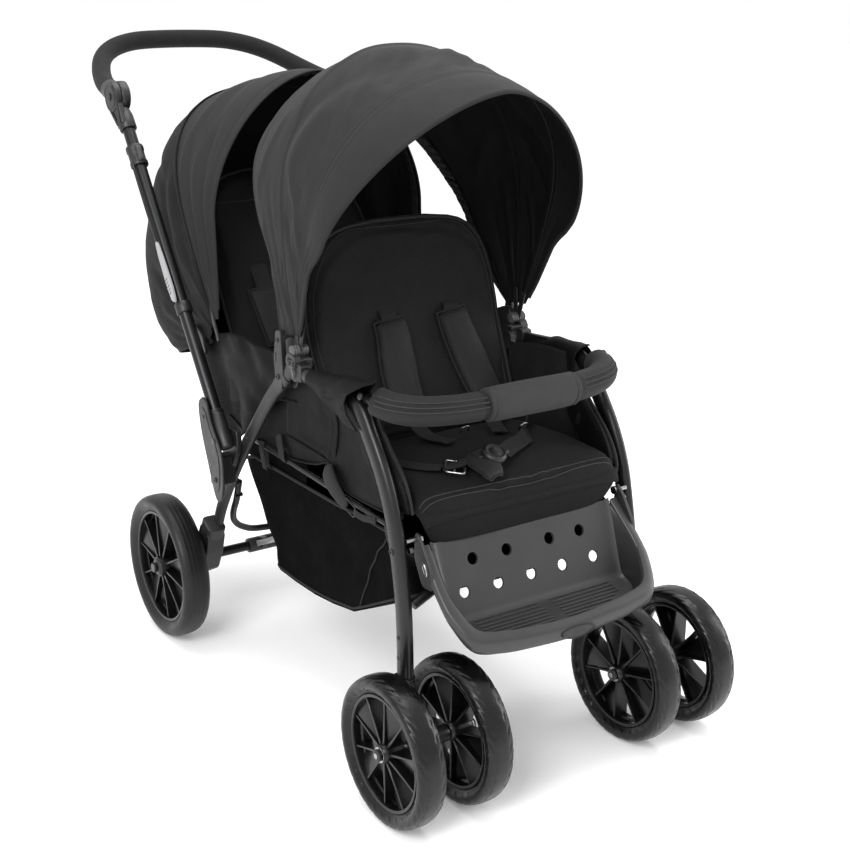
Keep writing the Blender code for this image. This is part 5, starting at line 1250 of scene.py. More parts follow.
relief += folds(U, V, 1.05, 0.40, [
    # soft upright folds low on the rear gore, near side then far side
    (0.20, 0.66, 0.40, 0.80, 0.0048, 0.026), (0.24, 0.54, 0.46, 0.90, -0.0044, 0.024), (0.40, 0.62, 0.60, 0.86, 0.0044, 0.028), (0.14, 0.60, 0.22, 0.92, -0.0036, 0.020),
    (0.015, 0.30, 0.190, 0.24, 0.0032, 0.015), (0.030, 0.42, 0.230, 0.40, -0.0030, 0.014), (0.015, 0.12, 0.120, 0.05, 0.0026, 0.014), (0.02, 0.50, 0.09, 0.47, 0.0030, 0.006), (0.05, 0.44, 0.11, 0.52, -0.0024, 0.006),
    (0.985, 0.30, 0.820, 0.22, 0.0030, 0.014), (0.970, 0.44, 0.780, 0.41, -0.0028, 0.013), (0.985, 0.12, 0.870, 0.06, 0.0026, 0.013), (0.98, 0.50, 0.91, 0.47, 0.0026, 0.006),
    # pulls that run up to the bow at the shoulder and the top
    (0.200, 0.18, 0.330, 0.50, 0.0036, 0.014), (0.270, 0.10, 0.420, 0.42, -0.0036, 0.016), (0.700, 0.16, 0.620, 0.46, 0.0036, 0.016), (0.790, 0.14, 0.720, 0.48, -0.0030, 0.014),
    # the middle gore
    (0.250, 0.96, 0.400, 0.63, -0.0044, 0.013), (0.300, 0.99, 0.470, 0.66, 0.0040, 0.012), (0.380, 0.98, 0.530, 0.68, -0.0040, 0.012), (0.455, 0.99, 0.560, 0.70, 0.0034, 0.010), (0.500, 0.98, 0.600, 0.74, -0.0032, 0.009),
    (0.110, 0.96, 0.250, 0.66, 0.0034, 0.012), (0.060, 0.94, 0.170, 0.62, -0.0030, 0.010), (0.040, 0.90, 0.140, 0.80, 0.0024, 0.007),
    (0.760, 0.97, 0.650, 0.66, -0.0038, 0.013), (0.840, 0.96, 0.740, 0.64, 0.0034, 0.012), (0.930, 0.92, 0.820, 0.66, -0.0030, 0.010)])
soft = wave(np.dstack([U * 1.05 * 0.45, V * 0.4, 0 * U]), 17.0, 2) * 0.0020 + wave(np.dstack([U * 1.05 * 0.6, V * 0.4, 0 * U]), 46.0, 5) * 0.0006
relief += soft * np.clip(np.minimum(gore_t, 1 - gore_t) / 0.12, 0.15, 1)


def ridge_at(values, place, height, half):
    return height * np.exp(-((values - place) / half) ** 2)


relief += ridge_at(V, 0.58, 0.0018, 0.0075) - ridge_at(V, 0.556, 0.0007, 0.0040) - ridge_at(V, 0.604, 0.0007, 0.0040)
relief += ridge_at(V, 0.012, 0.0012, 0.008)
relief *= 1 - 0.85 * ridge_at(V, 1.0, 1.0, 0.01)
canopy = canopy + outward(canopy, TOP) * relief[:, :, None]
# the rear hem scallops a little between its ends
canopy[:6, :, 2] += (0.0030 * np.sin(uu * math.pi * 10) * np.clip(np.minimum(uu, 1 - uu) / 0.1, 0, 1))[None] * np.linspace(1, 0, 6)[:, None]
front_canopy = cloth_piece("front_canopy_cloth", canopy, "canopy", None, ("front_canopy_rear", "front_canopy_mid"), "canopy_fabric", thick=0.0016, middle=TOP, lining="lining")
tangent_2 = np.array((0, -math.cos(math.radians(17.2)), -math.sin(math.radians(17.2))))
pivot_3 = np.array((0, HUB[0], HUB[1]))
bend_end = pivot_3 - tangent_2 * 0.004
bend_start = pivot_3 - tangent_2 * 0.300
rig.blend(front_canopy, "front_frame", "front_canopy_bow", row(bend_start), row(bend_end))

ROWS_C = 40
visor = np.array([(1 - t) * bow_2 + t * visor_rim for t in np.linspace(0, 1, ROWS_C)])
U2, V2 = np.meshgrid(uu, np.linspace(0, 1, ROWS_C))
lift_visor = 0.0034 * np.sin(math.pi * V2) * np.clip(np.minimum(U2, 1 - U2) / 0.12, 0, 1)
lift_visor += wave(np.dstack([U2 * 1.05 * 0.4, V2 * 0.12, 0 * U2]), 14.0, 9) * 0.0007
lift_visor += folds(U2, V2, 1.05, 0.11, [(0.035, 0.3, 0.17, 0.45, 0.0020, 0.006), (0.04, 0.7, 0.14, 0.75, -0.0016, 0.005), (0.965, 0.35, 0.84, 0.4, 0.0020, 0.006)])
lift_visor += ridge_at(V2, 0.0, 0.0012, 0.05) - ridge_at(V2, 0.10, 0.0008, 0.022) + ridge_at(V2, 0.145, 0.0003, 0.02) - ridge_at(V2, 0.19, 0.0006, 0.02)
visor = visor + outward(visor, TOP) * lift_visor[:, :, None]
VISOR_LINE = visor[-1].copy()
visor_obj = cloth_piece("front_visor_cloth", visor, "canopy", None, "front_canopy_visor", "canopy_fabric", thick=0.0018, middle=TOP, lining="lining")
visor_start, visor_end = pivot_3, pivot_3 + tangent_2 * 0.160
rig.blend(visor_obj, "front_canopy_bow", "front_visor", row(visor_start), row(visor_end))


def band(line, middle, out_section, material, name, bodies, ends, slot="canopy_fabric", wobble=0.0, waves=0):
    """A bound edge: a flat section carried along a line, its first axis away from the canopy's middle."""
    line = np.asarray(line)
    away = unit(line - np.array(middle))
    path = line.copy()
    if wobble:
        k = np.linspace(0, 1, len(path))
        path = path + away * (wobble * np.sin(k * 2 * math.pi * waves + 1.5 * np.sin(k * 37)))[:, None]
    obj = piece(name, sweep(path, out_section, ref=away), material, slot=slot, sharp=0)
    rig.blend(obj, *bodies, row(ends[0]), row(ends[1]))
    return obj


band(even(VISOR_LINE, 260)[3:-3], TOP, oval(0.0022, 0.0040, 14, 2.4), "trim", "visor_binding", ("front_canopy_bow", "front_visor"), (visor_start, visor_end))
band(even(visor[4], 240)[6:-6] + outward(visor, TOP)[4][:1] * 0, TOP, oval(0.0011, 0.0011, 8), "stitch", "visor_seam", ("front_canopy_bow", "front_visor"), (visor_start, visor_end))
band(even(canopy[ROWS_A - 3], 240)[8:-8], TOP, oval(0.0009, 0.0010, 8), "stitch", "canopy_seam", ("front_frame", "front_canopy_bow"), (bend_start, bend_end))

# ruched band inside the rear hem
hem_line = even(canopy[0], 420)[10:-10]
k = np.linspace(0, 1, len(hem_line))
into = unit(np.array(canopy[3])[np.linspace(0, COUNT - 1, len(hem_line)).round().astype(int)] - hem_line)
away = unit(hem_line - np.array(TOP))
grid = []
for j, w in enumerate(np.linspace(-0.006, 0.0225, 9)):
    gather = 0.0020 * np.sin(k * 2 * math.pi * 64 + 2.2 * np.sin(k * 41) + j * 0.25) * math.sin(math.pi * (j + 0.3) / 8.6) + 0.0011 * np.sin(k * 2 * math.pi * 23 + 1.0)
    swell = 0.0030 * math.sin(math.pi * j / 8)
    grid.append(hem_line + into * w - away * (0.0034 + swell + gather)[:, None])
ruche = cloth_piece("canopy_hem_band", np.array(grid), "ruche", None, slot="canopy_fabric", thick=0.0012, middle=TOP, held="gathered")
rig.blend(ruche, "front_frame", "front_canopy_bow", row(bend_start), row(bend_end))

# bow ends: flat stays that run from the hub up into the cloth
for side, n in SIDES:
    for name, theta, body, top, x0 in (("stay_a", 17.0, "front_canopy_bow", 0.060, 0.2010), ("stay_b", -3.5, "front_frame", 0.062, 0.2015)):
        t = math.radians(theta)
        line = [(x0 - 0.0040, HUB[0] - r * math.sin(t), HUB[1] + r * math.cos(t)) for r in np.linspace(0.018, top, 14)]
        piece("canopy_%s_%s" % (name, n), on_side(sweep(line, oval(0.0016, 0.0052, 14, 3), ref=X_AXIS, round_ends=0.001), side), "plastic", body, slot="black_plastic")

# ------------------------------------------------------------------------------------------ rear canopy
RC = 150
MID_R = (0, 0.32, 0.66)
back_bows = [bow(REAR_PIVOT, th, hf, h, sh, ri, p, 0.030, RC) for th, hf, h, sh, ri, p in (
    (-108.0, 0.1950, 0.1950, 0.112, 0.142, 3.3), (-96.0, 0.1955, 0.1985, 0.145, 0.196, 3.1), (-78.0, 0.1955, 0.2010, 0.172, 0.232, 3.0), (-58.0, 0.1955, 0.2030, 0.190, 0.230, 2.9),
    (-40.0, 0.1955, 0.2045, 0.196, 0.236, 2.8), (-26.6, 0.1955, 0.2035, 0.200, 0.2290, 2.6))]
marks = [0.0, 0.16, 0.40, 0.64, 0.84, 1.0]
rows_back = []
vb = np.linspace(0, 1, 84)
knots = np.array(back_bows)
for v in vb:
    k0 = min(4, max(0, int(np.searchsorted(marks, v, side="right")) - 1))
    t = (v - marks[k0]) / (marks[k0 + 1] - marks[k0])
    p0, p1, p2, p3 = knots[max(0, k0 - 1)], knots[k0], knots[k0 + 1], knots[min(5, k0 + 2)]
    rows_back.append(0.5 * (2 * p1 + (p2 - p0) * t + (2 * p0 - 5 * p1 + 4 * p2 - p3) * t * t + (3 * p1 - p0 - 3 * p2 + p3) * t ** 3))
back_grid = np.array(rows_back)
ub = np.linspace(0, 1, RC)
U3, V3 = np.meshgrid(ub, vb)
lift_back = folds(U3, V3, 1.05, 0.62, [
    (0.05, 0.60, 0.30, 0.95, -0.0036, 0.016), (0.05, 0.45, 0.28, 0.78, 0.0043, 0.021), (0.04, 0.30, 0.24, 0.52, -0.0043, 0.021), (0.03, 0.18, 0.20, 0.34, 0.0043, 0.021), (0.02, 0.06, 0.18, 0.16, -0.0032, 0.016),
    (0.95, 0.60, 0.70, 0.95, -0.0036, 0.016), (0.95, 0.45, 0.72, 0.78, 0.0043, 0.021), (0.96, 0.30, 0.76, 0.52, -0.0043, 0.021), (0.97, 0.18, 0.80, 0.34, 0.0043, 0.021),
    (0.30, 0.30, 0.42, 0.85, 0.0036, 0.023), (0.50, 0.20, 0.48, 0.80, -0.0032, 0.025), (0.66, 0.30, 0.60, 0.85, 0.0035, 0.023), (0.22, 0.88, 0.40, 0.70, -0.0036, 0.014), (0.32, 0.66, 0.46, 0.60, -0.0043, 0.016),
    (0.10, 0.02, 0.30, 0.10, 0.0029, 0.018), (0.40, 0.03, 0.62, 0.06, -0.0025, 0.018)])
lift_back += wave(np.dstack([U3 * 0.6, V3 * 0.5, 0 * U3]), 15.0, 4) * 0.0042 * (1 - ridge_at(V3, 1.0, 1.0, 0.08)) + wave(np.dstack([U3 * 0.7, V3 * 0.5, 0 * U3]), 42.0, 6) * 0.0008
lift_back += ridge_at(V3, 0.985, 0.0016, 0.010) - ridge_at(V3, 0.955, 0.0008, 0.006)
lift_back *= 1 - 0.9 * ridge_at(V3, 0.0, 1.0, 0.02)
back_grid = back_grid + outward(back_grid, MID_R) * lift_back[:, :, None]
# the back cloth takes the darker canopy_back colour, which is painted shade for its side that faces away from the light
rear_back_obj = cloth_piece("rear_canopy_back_cloth", back_grid, "canopy_back", "push_frame", "rear_canopy_back", "canopy_fabric", thick=0.0016, middle=MID_R, lining="lining")
FOLD_AXIS = (0.0, -0.8227, 0.5685)
FOLD_ANCHOR = (0.0, 0.127, 0.590)
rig.squash(rear_back_obj, "frame_fold", FOLD_AXIS, FOLD_ANCHOR, keep=0.16)
for k, share in ((1, 0.36), (2, 0.64)):
    column = back_grid[2:-2, int(share * (back_grid.shape[1] - 1))]
    seam = piece("rear_canopy_seam_%d" % k, tube(even(column, 60), 0.0010, 8, round_ends=0.0005), "trim", "push_frame", slot="canopy_fabric", sharp=0)
    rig.squash(seam, "frame_fold", FOLD_AXIS, FOLD_ANCHOR, keep=0.16)

front_bows = [bow(REAR_PIVOT, th, hf, h, sh, ri, p, 0.034, RC) for th, hf, h, sh, ri, p in (
    (-27.4, 0.1945, 0.2028, 0.200, 0.2284, 2.58), (-14.0, 0.1945, 0.1972, 0.1975, 0.2205, 2.1), (-1.3, 0.1950, 0.1937, 0.196, 0.2173, 1.75))]
vf = np.linspace(0, 1, 46)
front_grid = []
for v in vf:
    t = v
    front_grid.append((2 * (t - 0.5) * (t - 1)) * front_bows[0] + (-4 * t * (t - 1)) * front_bows[1] + (2 * t * (t - 0.5)) * front_bows[2])
front_grid = np.array(front_grid)
U4, V4 = np.meshgrid(ub, vf)
lift_front = folds(U4, V4, 1.03, 0.19, [
    (0.02, 0.22, 0.34, 0.30, -0.0046, 0.009), (0.03, 0.40, 0.30, 0.50, 0.0052, 0.011), (0.02, 0.60, 0.36, 0.66, -0.0046, 0.009), (0.04, 0.78, 0.26, 0.80, 0.0034, 0.008), (0.20, 0.10, 0.44, 0.46, 0.0036, 0.012), (0.30, 0.60, 0.50, 0.40, -0.0032, 0.012),
    (0.98, 0.22, 0.66, 0.30, -0.0046, 0.009), (0.97, 0.42, 0.70, 0.50, 0.0050, 0.011), (0.98, 0.62, 0.66, 0.66, -0.0044, 0.009), (0.80, 0.10, 0.58, 0.46, 0.0034, 0.012)])
lift_front += wave(np.dstack([U4 * 0.4, V4 * 0.19, 0 * U4]), 20.0, 8) * 0.0018 + 0.0022 * np.sin(math.pi * V4)
lift_front *= 1 - 0.9 * ridge_at(V4, 1.0, 1.0, 0.06) - 0.9 * ridge_at(V4, 0.0, 1.0, 0.06)
lift_front += ridge_at(V4, 0.955, 0.0006, 0.03) - ridge_at(V4, 0.895, 0.0010, 0.014) + ridge_at(V4, 0.86, 0.0004, 0.015)
front_grid = front_grid + outward(front_grid, MID_R) * lift_front[:, :, None]
rear_front_obj = cloth_piece("rear_canopy_front_cloth", front_grid, "canopy", "rear_canopy_bow", "rear_canopy_front", "canopy_fabric", thick=0.0016, middle=MID_R, lining="lining")
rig.squash(rear_front_obj, "frame_fold", FOLD_AXIS, FOLD_ANCHOR, keep=0.16)
rim_line = even(front_grid[-1], 260)[4:-4]
binding = piece("rear_canopy_binding", sweep(rim_line, oval(0.0016, 0.0034, 12, 2.4), ref=unit(rim_line - np.array(MID_R))), "trim", "rear_canopy_bow", slot="canopy_fabric", sharp=0)
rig.squash(binding, "frame_fold", FOLD_AXIS, FOLD_ANCHOR, keep=0.16)
# ruffled facing inside the front rim
face_line = even(front_grid[-2], 380)[8:-8]
k = np.linspace(0, 1, len(face_line))
into = unit(even(front_grid[-9], 380)[8:-8] - face_line)
away = unit(face_line - np.array(MID_R))
grid = []
for j, w in enumerate(np.linspace(0.0, 0.0200, 9)):
    gather = 0.0018 * np.sin(k * 2 * math.pi * 52 + 2.0 * np.sin(k * 33) + j * 0.3) * math.sin(math.pi * (j + 0.3) / 8.6)
    grid.append(face_line + into * w - away * (0.0034 + 0.0026 * math.sin(math.pi * j / 8) + gather)[:, None])
facing = cloth_piece("rear_canopy_facing", np.array(grid), "trim", "rear_canopy_bow", slot="canopy_fabric", thick=0.0011, middle=MID_R, held="gathered")
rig.squash(facing, "frame_fold", FOLD_AXIS, FOLD_ANCHOR, keep=0.16)
for side, n in SIDES:
    clip = slab(rounded([(0.3250, 0.5440), (0.2960, 0.5300), (0.2860, 0.5040), (0.2980, 0.4960), (0.3160, 0.5060), (0.3320, 0.5320)], 0.006), 0.1975, 0.2040)
    clip_obj = piece("rear_canopy_clip_" + n, on_side(clip, side), "plastic", "push_frame", slot="black_plastic", bevel=0.0012)
    t = math.radians(-27.0)
    line = [(0.1965, REAR_PIVOT[0] - r * math.sin(t), REAR_PIVOT[1] + r * math.cos(t)) for r in np.linspace(0.0, 0.10, 10)]
    piece("rear_canopy_stay_" + n, on_side(sweep(line, oval(0.0014, 0.0050, 14, 3), ref=X_AXIS, round_ends=0.001), side), "plastic", "push_frame", slot="black_plastic")


# ------------------------------------------------------------------------------------------ padded fabric
def pillow(centres, thick, edge_u=5.0, edge_v=5.0, dome=0.0, ridges=None):
    """A closed cushion round a grid of middle points; its thickness falls away at all four sides."""
    centres = np.asarray(centres, float)
    n, m = centres.shape[:2]
    normal = unit(np.cross(np.gradient(centres, axis=1), np.gradient(centres, axis=0)))
    u = np.linspace(-1, 1, m)[None] + np.zeros((n, 1))
    v = np.linspace(-1, 1, n)[:, None] + np.zeros((1, m))
    half = 0.5 * np.asarray(thick) * np.sqrt(np.clip(1 - np.abs(u) ** edge_u, 0, 1)) * np.sqrt(np.clip(1 - np.abs(v) ** edge_v, 0, 1))
    half = half * (1 + dome * (1 - u ** 2) * (1 - v ** 2))
    front, back_ = centres + normal * half[:, :, None], centres - normal * half[:, :, None]
    verts = np.concatenate([front.reshape(-1, 3), back_.reshape(-1, 3)])
    faces = []
    for i in range(n - 1):
        for k in range(m - 1):
            a, b, c, d = i * m + k, i * m + k + 1, (i + 1) * m + k + 1, (i + 1) * m + k
            faces.append((a, b, c, d))
            faces.append((n * m + a, n * m + d, n * m + c, n * m + b))
    return verts, faces


def puff(obj, voxel=0.005, cap=0.006, pressure=4.0, levels=1):
    """Blown up as stuffed cloth: remeshed, simulated, held to a greatest move, then subdivided."""
    remesh = obj.modifiers.new("remesh", "REMESH")
    remesh.mode = "VOXEL"
    remesh.voxel_size = voxel
    remesh.use_smooth_shade = True
    applied(obj, 0)
    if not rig.quick():
        start_points = np.array([v.co for v in obj.data.vertices], float)
        sim = obj.modifiers.new("cloth", "CLOTH")
        settings = sim.settings
        settings.quality = 4
        settings.mass = 0.15
        settings.tension_stiffness = settings.compression_stiffness = 12
        settings.shear_stiffness = 6
        settings.bending_stiffness = 1.2
        settings.use_pressure = True
        settings.uniform_pressure_force = pressure
        settings.effector_weights.gravity = 0.0
        sim.collision_settings.use_self_collision = False
        sim.point_cache.frame_start, sim.point_cache.frame_end = 1, 20
        for f in range(1, 21):
            SCENE.frame_set(f)
        graph = bpy.context.evaluated_depsgraph_get()
        done = obj.evaluated_get(graph)
        moved = np.array([v.co for v in done.data.vertices], float)
        obj.modifiers.clear()
        SCENE.frame_set(1)
        if moved.shape == start_points.shape and np.isfinite(moved).all():
            out = np.array([v.normal for v in obj.data.vertices], float)
            push = ((moved - start_points) * out).sum(axis=1, keepdims=True)
            moved = start_points + out * np.clip(push, -0.0005, cap)
            obj.data.vertices.foreach_set("co", moved.ravel())
            obj.data.update()
    if levels:
        sub = obj.modifiers.new("smooth", "SUBSURF")
        sub.levels = sub.render_levels = levels
        applied(obj, 0)
    return obj


def surface_of(obj):
    """A tree for finding places on the object's skin, in the stroller's frame."""
    verts = [(v.co[0], v.co[1] - S, v.co[2]) for v in obj.data.vertices]
    return BVHTree.FromPolygons(verts, [tuple(p.vertices) for p in obj.data.polygons])


def laid(obj, points, lift=0.0, count=80, direction=None):
    """The path dropped on the object's skin: along the direction if one is given, else to the nearest place."""
    tree = surface_of(obj)
    out, normals = [], []
    for p in even(points, count):
        hit = None
        if direction is not None:
            d = Vector(direction).normalized()
            hit, normal, _, _ = tree.ray_cast(Vector(p) - d * 0.25, d)
        if hit is None:
            hit, normal, _, _ = tree.find_nearest(Vector(p))
        out.append(np.array(hit) + np.array(normal) * lift)
        normals.append(np.array(normal))
    return np.array(out), np.array(normals)


def groove(obj, points, depth, half, direction=None, count=160):
    """Presses a seam into the skin of the object along a path."""
    path, _ = laid(obj, points, 0.0, count, direction)
    co = np.array([v.co for v in obj.data.vertices], float)
    co[:, 1] -= S
    no = np.array([v.normal for v in obj.data.vertices], float)
    best = np.full(len(co), 9.0)
    for p in path:
        best = np.minimum(best, ((co - p) ** 2).sum(1))
    press = depth * np.exp(-best / half ** 2)
    co -= no * press[:, None]
    co[:, 1] += S
    obj.data.vertices.foreach_set("co", co.ravel())
    obj.data.update()


def ribbon(name, path, across, half, thick, material, body, slot, cross=9, crown=0.0):
    """A flat strap along a path, across giving its width direction at each point."""
    path = arr(path)
    tangent = unit(np.gradient(path, axis=0))
    across = np.broadcast_to(np.array(across, float), path.shape)
    side_ = unit(across - (across * tangent).sum(1, keepdims=True) * tangent)
    up = np.cross(side_, tangent)
    rows = []
    t = np.linspace(-1, 1, cross)
    half = np.broadcast_to(np.array(half, float), (len(path),))
    for p, s_, n_, h in zip(path, side_, up, half):
        top = [p + s_ * h * x + n_ * (thick / 2 * (1 - abs(x) ** 6 * 0.6) + crown * (1 - x * x)) for x in t]
        low = [p + s_ * h * x - n_ * (thick / 2 * (1 - abs(x) ** 6 * 0.6) - crown * (1 - x * x) * 0.3) for x in t[::-1]]
        rows.append(top + low)
    return piece(name, rows_mesh(np.array(rows)), material, body, slot=slot, sharp=60)


def cord_on(name, path, radius, material, body, slot="seat_fabric", sides=8):
    return piece(name, tube(path, radius, sides, round_ends=radius * 0.5), material, body, slot=slot, sharp=0)


# ------------------------------------------------------------------------------------------ front seat
def backrest(name, face, half_of, top_z, thick, body, node, slots, tilt_back=0.0):
    """face is (y, z) up the front of the rest; half_of gives half its width by height."""
    line = even(smooth(face, 0.01), 40)
    up = np.gradient(line, axis=0)
    up = up / np.linalg.norm(up, axis=1, keepdims=True)
    behind = np.column_stack([up[:, 1], -up[:, 0]])
    mid = line + behind * thick / 2
    grid = []
    for (y, z), (by, bz) in zip(mid, behind):
        h = half_of(z)
        grid.append([(h * u, y + by * 0.006 * (u * u) * -1 + by * 0.0, z) for u in np.linspace(-1, 1, 36)])
    return pillow(np.array(grid), thick, 14.0, 22.0, 0.10), line, behind


def front_half(z):
    return float(np.interp(z, [0.425, 0.476, 0.550, 0.600, 0.640, 0.675, 0.700, 0.717, 0.728, 0.7345, 0.7375], [0.160, 0.166, 0.1710, 0.1715, 0.1680, 0.1580, 0.1450, 0.1290, 0.1080, 0.080, 0.040]))


part_, face_line_, behind_ = backrest("front", [(-0.0690, 0.4300), (-0.0370, 0.5000), (-0.0080, 0.5600), (0.0070, 0.6130), (0.0150, 0.6750), (0.0183, 0.7300), (0.0186, 0.7375)], front_half, 0.7375, 0.0215, "front_back", "front_backrest", None)
front_back = piece("front_backrest_cushion", part_, "backrest", None, sharp=0)
puff(front_back, 0.0055, 0.005)
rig.ride(front_back, "front_back")
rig.replaces(front_back, "front_backrest")
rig.slot(front_back, "seat_fabric")
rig.padded(front_back, fill=0.6)


def edge_path(half_of, line, behind, thick, z0, inset=0.0, count=150, share=0.5):
    """Round the rest's outline, from its near foot over the top to its far foot."""
    zs = line[:, 1]
    right = [(-half_of(z) + inset, np.interp(z, zs, line[:, 0]) + np.interp(z, zs, behind[:, 0]) * thick * share, z) for z in np.linspace(z0, zs[-1] - inset * 0.6, 60)]
    left = [(-x, y, z) for x, y, z in reversed(right)]
    return even(right + left, count)


cord_on("front_backrest_piping", edge_path(front_half, face_line_, behind_, 0.0215, 0.440, 0.0008, 170, 0.22), 0.0034, "pad", "front_back")
inner_seam, _ = laid(front_back, edge_path(front_half, face_line_, behind_, 0.0, 0.445, 0.0140, 200, 0.0), 0.0001, 170)
cord_on("front_backrest_stitch", inner_seam, 0.0006, "stitch", "front_back", sides=6)

# slots, pads and webbing of the harness
harness_body = "front_back"
for side, n, x_slot, pad_line, widths in (
        (-1, "r", -0.0400, [(-0.0390, -0.0080, 0.5920), (-0.0370, -0.0180, 0.5700), (-0.0400, -0.0350, 0.5320), (-0.0440, -0.0560, 0.4960), (-0.0470, -0.0800, 0.4700)], [0.026, 0.0285, 0.0310, 0.0305, 0.0295]),
        (1, "l", 0.0790, [(0.0740, -0.0080, 0.5950), (0.0780, -0.0180, 0.5700), (0.0850, -0.0350, 0.5350), (0.0920, -0.0540, 0.5000), (0.0960, -0.0790, 0.4680)], [0.026, 0.0285, 0.0300, 0.0295, 0.0285])):
    centre = smooth(pad_line, 0.006)
    centre = even(centre, 26)
    lift_pad = -0.0085
    grid = []
    tangent = unit(np.gradient(centre, axis=0))
    across_dir = unit(np.cross(tangent, np.array((0, -1.0, 0.25))))
    across_dir = across_dir * np.sign(across_dir[:, :1])
    front_dir = unit(np.cross(across_dir, tangent))
    front_dir = front_dir * np.where(front_dir[:, 1:2] < 0, 1, -1)
    wide = np.interp(np.linspace(0, 1, 26), np.linspace(0, 1, 5), widths)
    for p, a, f, w in zip(centre, across_dir, front_dir, wide):
        grid.append([p + a * w * u + f * (0.0035 * (1 - u * u)) for u in np.linspace(-1, 1, 15)])
    pad = piece("harness_pad_" + n, pillow(np.array(grid), 0.0190, 5.0, 9.0, 0.1), "pad", None, sharp=0)
    puff(pad, 0.0042, 0.0030)
    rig.ride(pad, harness_body)
    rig.slot(pad, "seat_fabric")
    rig.padded(pad, fill=0.7)
    grid = np.array(grid)
    border = np.concatenate([grid[:, 0], grid[-1, 1:], grid[::-1, -1][1:], grid[0, ::-1][1:-1]])
    cord_on("harness_pad_piping_" + n, even(np.vstack([border, border[:1]]), 130), 0.0020, "trim", harness_body)
    for w in (-0.74, 0.74):
        line = [p + a * ww * w for p, a, ww in zip(centre, across_dir, wide)]
        path, _ = laid(pad, np.array(line)[2:-1], 0.0001, 60, (0, 1, -0.3))
        cord_on("harness_pad_stitch_%s_%s" % (n, "a" if w < 0 else "b"), path, 0.0005, "stitch", harness_body, sides=6)
    # slot in the rest, with the webbing that comes out of it
    y_slot = float(np.interp(0.6225, face_line_[:, 1], face_line_[:, 0]))
    frame_slot = joined(*[slab(rounded([(y_slot - 0.0016, z - 0.0009), (y_slot + 0.003, z - 0.0009), (y_slot + 0.003, z + 0.0009), (y_slot - 0.0016, z + 0.0009)], 0.0006, 2), x_slot - 0.0150, x_slot + 0.0150) for z in (0.6160, 0.6290)])
    piece("harness_slot_" + n, frame_slot, "stitch", harness_body, slot="seat_fabric")
    web = smooth([(x_slot, y_slot + 0.0035, 0.6235), (x_slot, y_slot - 0.0030, 0.6190), (x_slot * 0.98 + pad_line[0][0] * 0.02, y_slot - 0.0065, 0.6100), tuple(np.array(pad_line[0]) + (0, -0.0020, 0.004)), tuple(np.array(pad_line[0]) + (0, -0.002, -0.012))], 0.003)
    ribbon("harness_web_" + n, web, X_AXIS, 0.0135, 0.0018, "webbing", harness_body, "seat_fabric")
    low = np.array(pad_line[-1])
    web2 = smooth([tuple(low + (0.0, 0.002, 0.012)), tuple(low + (0.002 * side, -0.010, -0.010)), (low[0] * 0.85, -0.1150, 0.4390), (low[0] * 0.62 + 0.004, -0.1550, 0.4370)], 0.005)
    ribbon("harness_lower_web_" + n, web2, X_AXIS, 0.0120, 0.0018, "webbing", "front_frame", "seat_fabric")

# seat cushion with its front flap
SEAT_TOP = [(-0.0500, 0.4150), (-0.0800, 0.4185), (-0.1300, 0.4215), (-0.2000, 0.4230), (-0.2550, 0.4205), (-0.2850, 0.4155), (-0.2985, 0.4070), (-0.3040, 0.3960)]
top_line = even(smooth(SEAT_TOP, 0.006), 44)
grid = []
for k, (y, z) in enumerate(top_line):
    v = k / 43
    edge_in = 0.0015 * v ** 6
    grid.append([((0.1745 - edge_in) * u, y + 0.0040 * (abs(u) ** 6) * (v ** 4), z - 0.0150 + 0.0035 * (1 - u * u) * (1 - v) - 0.0040 * abs(u) ** 8) for u in np.linspace(-1, 1, 48)])
seat = piece("front_seat_cushion", pillow(np.array(grid), 0.0265, 18.0, 12.0, 0.10), "seat", None, sharp=0)
puff(seat, 0.0055, 0.0060)
groove(seat, [(-0.168, -0.2925, 0.43), (0.0, -0.2950, 0.43), (0.168, -0.2925, 0.43)], 0.0018, 0.0036, (0, 0, -1))
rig.ride(seat, "front_frame")
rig.replaces(seat, "front_seat_base")
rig.slot(seat, "seat_fabric")
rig.padded(seat, fill=0.6)
for k, y in enumerate((-0.2915, -0.2985)):
    path, _ = laid(seat, [(-0.168, y + 0.002, 0.43), (-0.08, y - 0.001, 0.43), (0.0, y - 0.002, 0.43), (0.08, y - 0.001, 0.43), (0.168, y + 0.002, 0.43)], 0.0002, 120, (0, 0.18, -1))
    cord_on("seat_front_stitch_%d" % (k + 1), path, 0.0009, "stitch", "front_frame", sides=6)
path, _ = laid(seat, [(-0.1720, -0.3000, 0.4000), (-0.12, -0.3080, 0.3990), (0.0, -0.3100, 0.3990), (0.12, -0.3080, 0.3990), (0.1720, -0.3000, 0.4000)], 0.0001, 120)
cord_on("seat_front_piping", path, 0.0010, "seat", "front_frame")
flap = []
for v in np.linspace(0, 1, 22):
    z = 0.4000 - 0.0480 * v
    flap.append([((0.1735 - 0.0240 * v ** 1.5) * u, -0.3050 + 0.0085 * v + 0.0020 * math.sin(3 * u + 1) * v + 0.010 * abs(u) ** 6 - 0.0022 * math.sin(math.pi * v), z - 0.0025 * (1 - u * u) * v) for u in np.linspace(-1, 1, 60)])
cloth_piece("seat_front_flap", np.array(flap), "seat", "front_frame", slot="seat_fabric", thick=0.0035, middle=(0, -0.2, 0.38), held="hung", rests=("front_seat_cushion",))

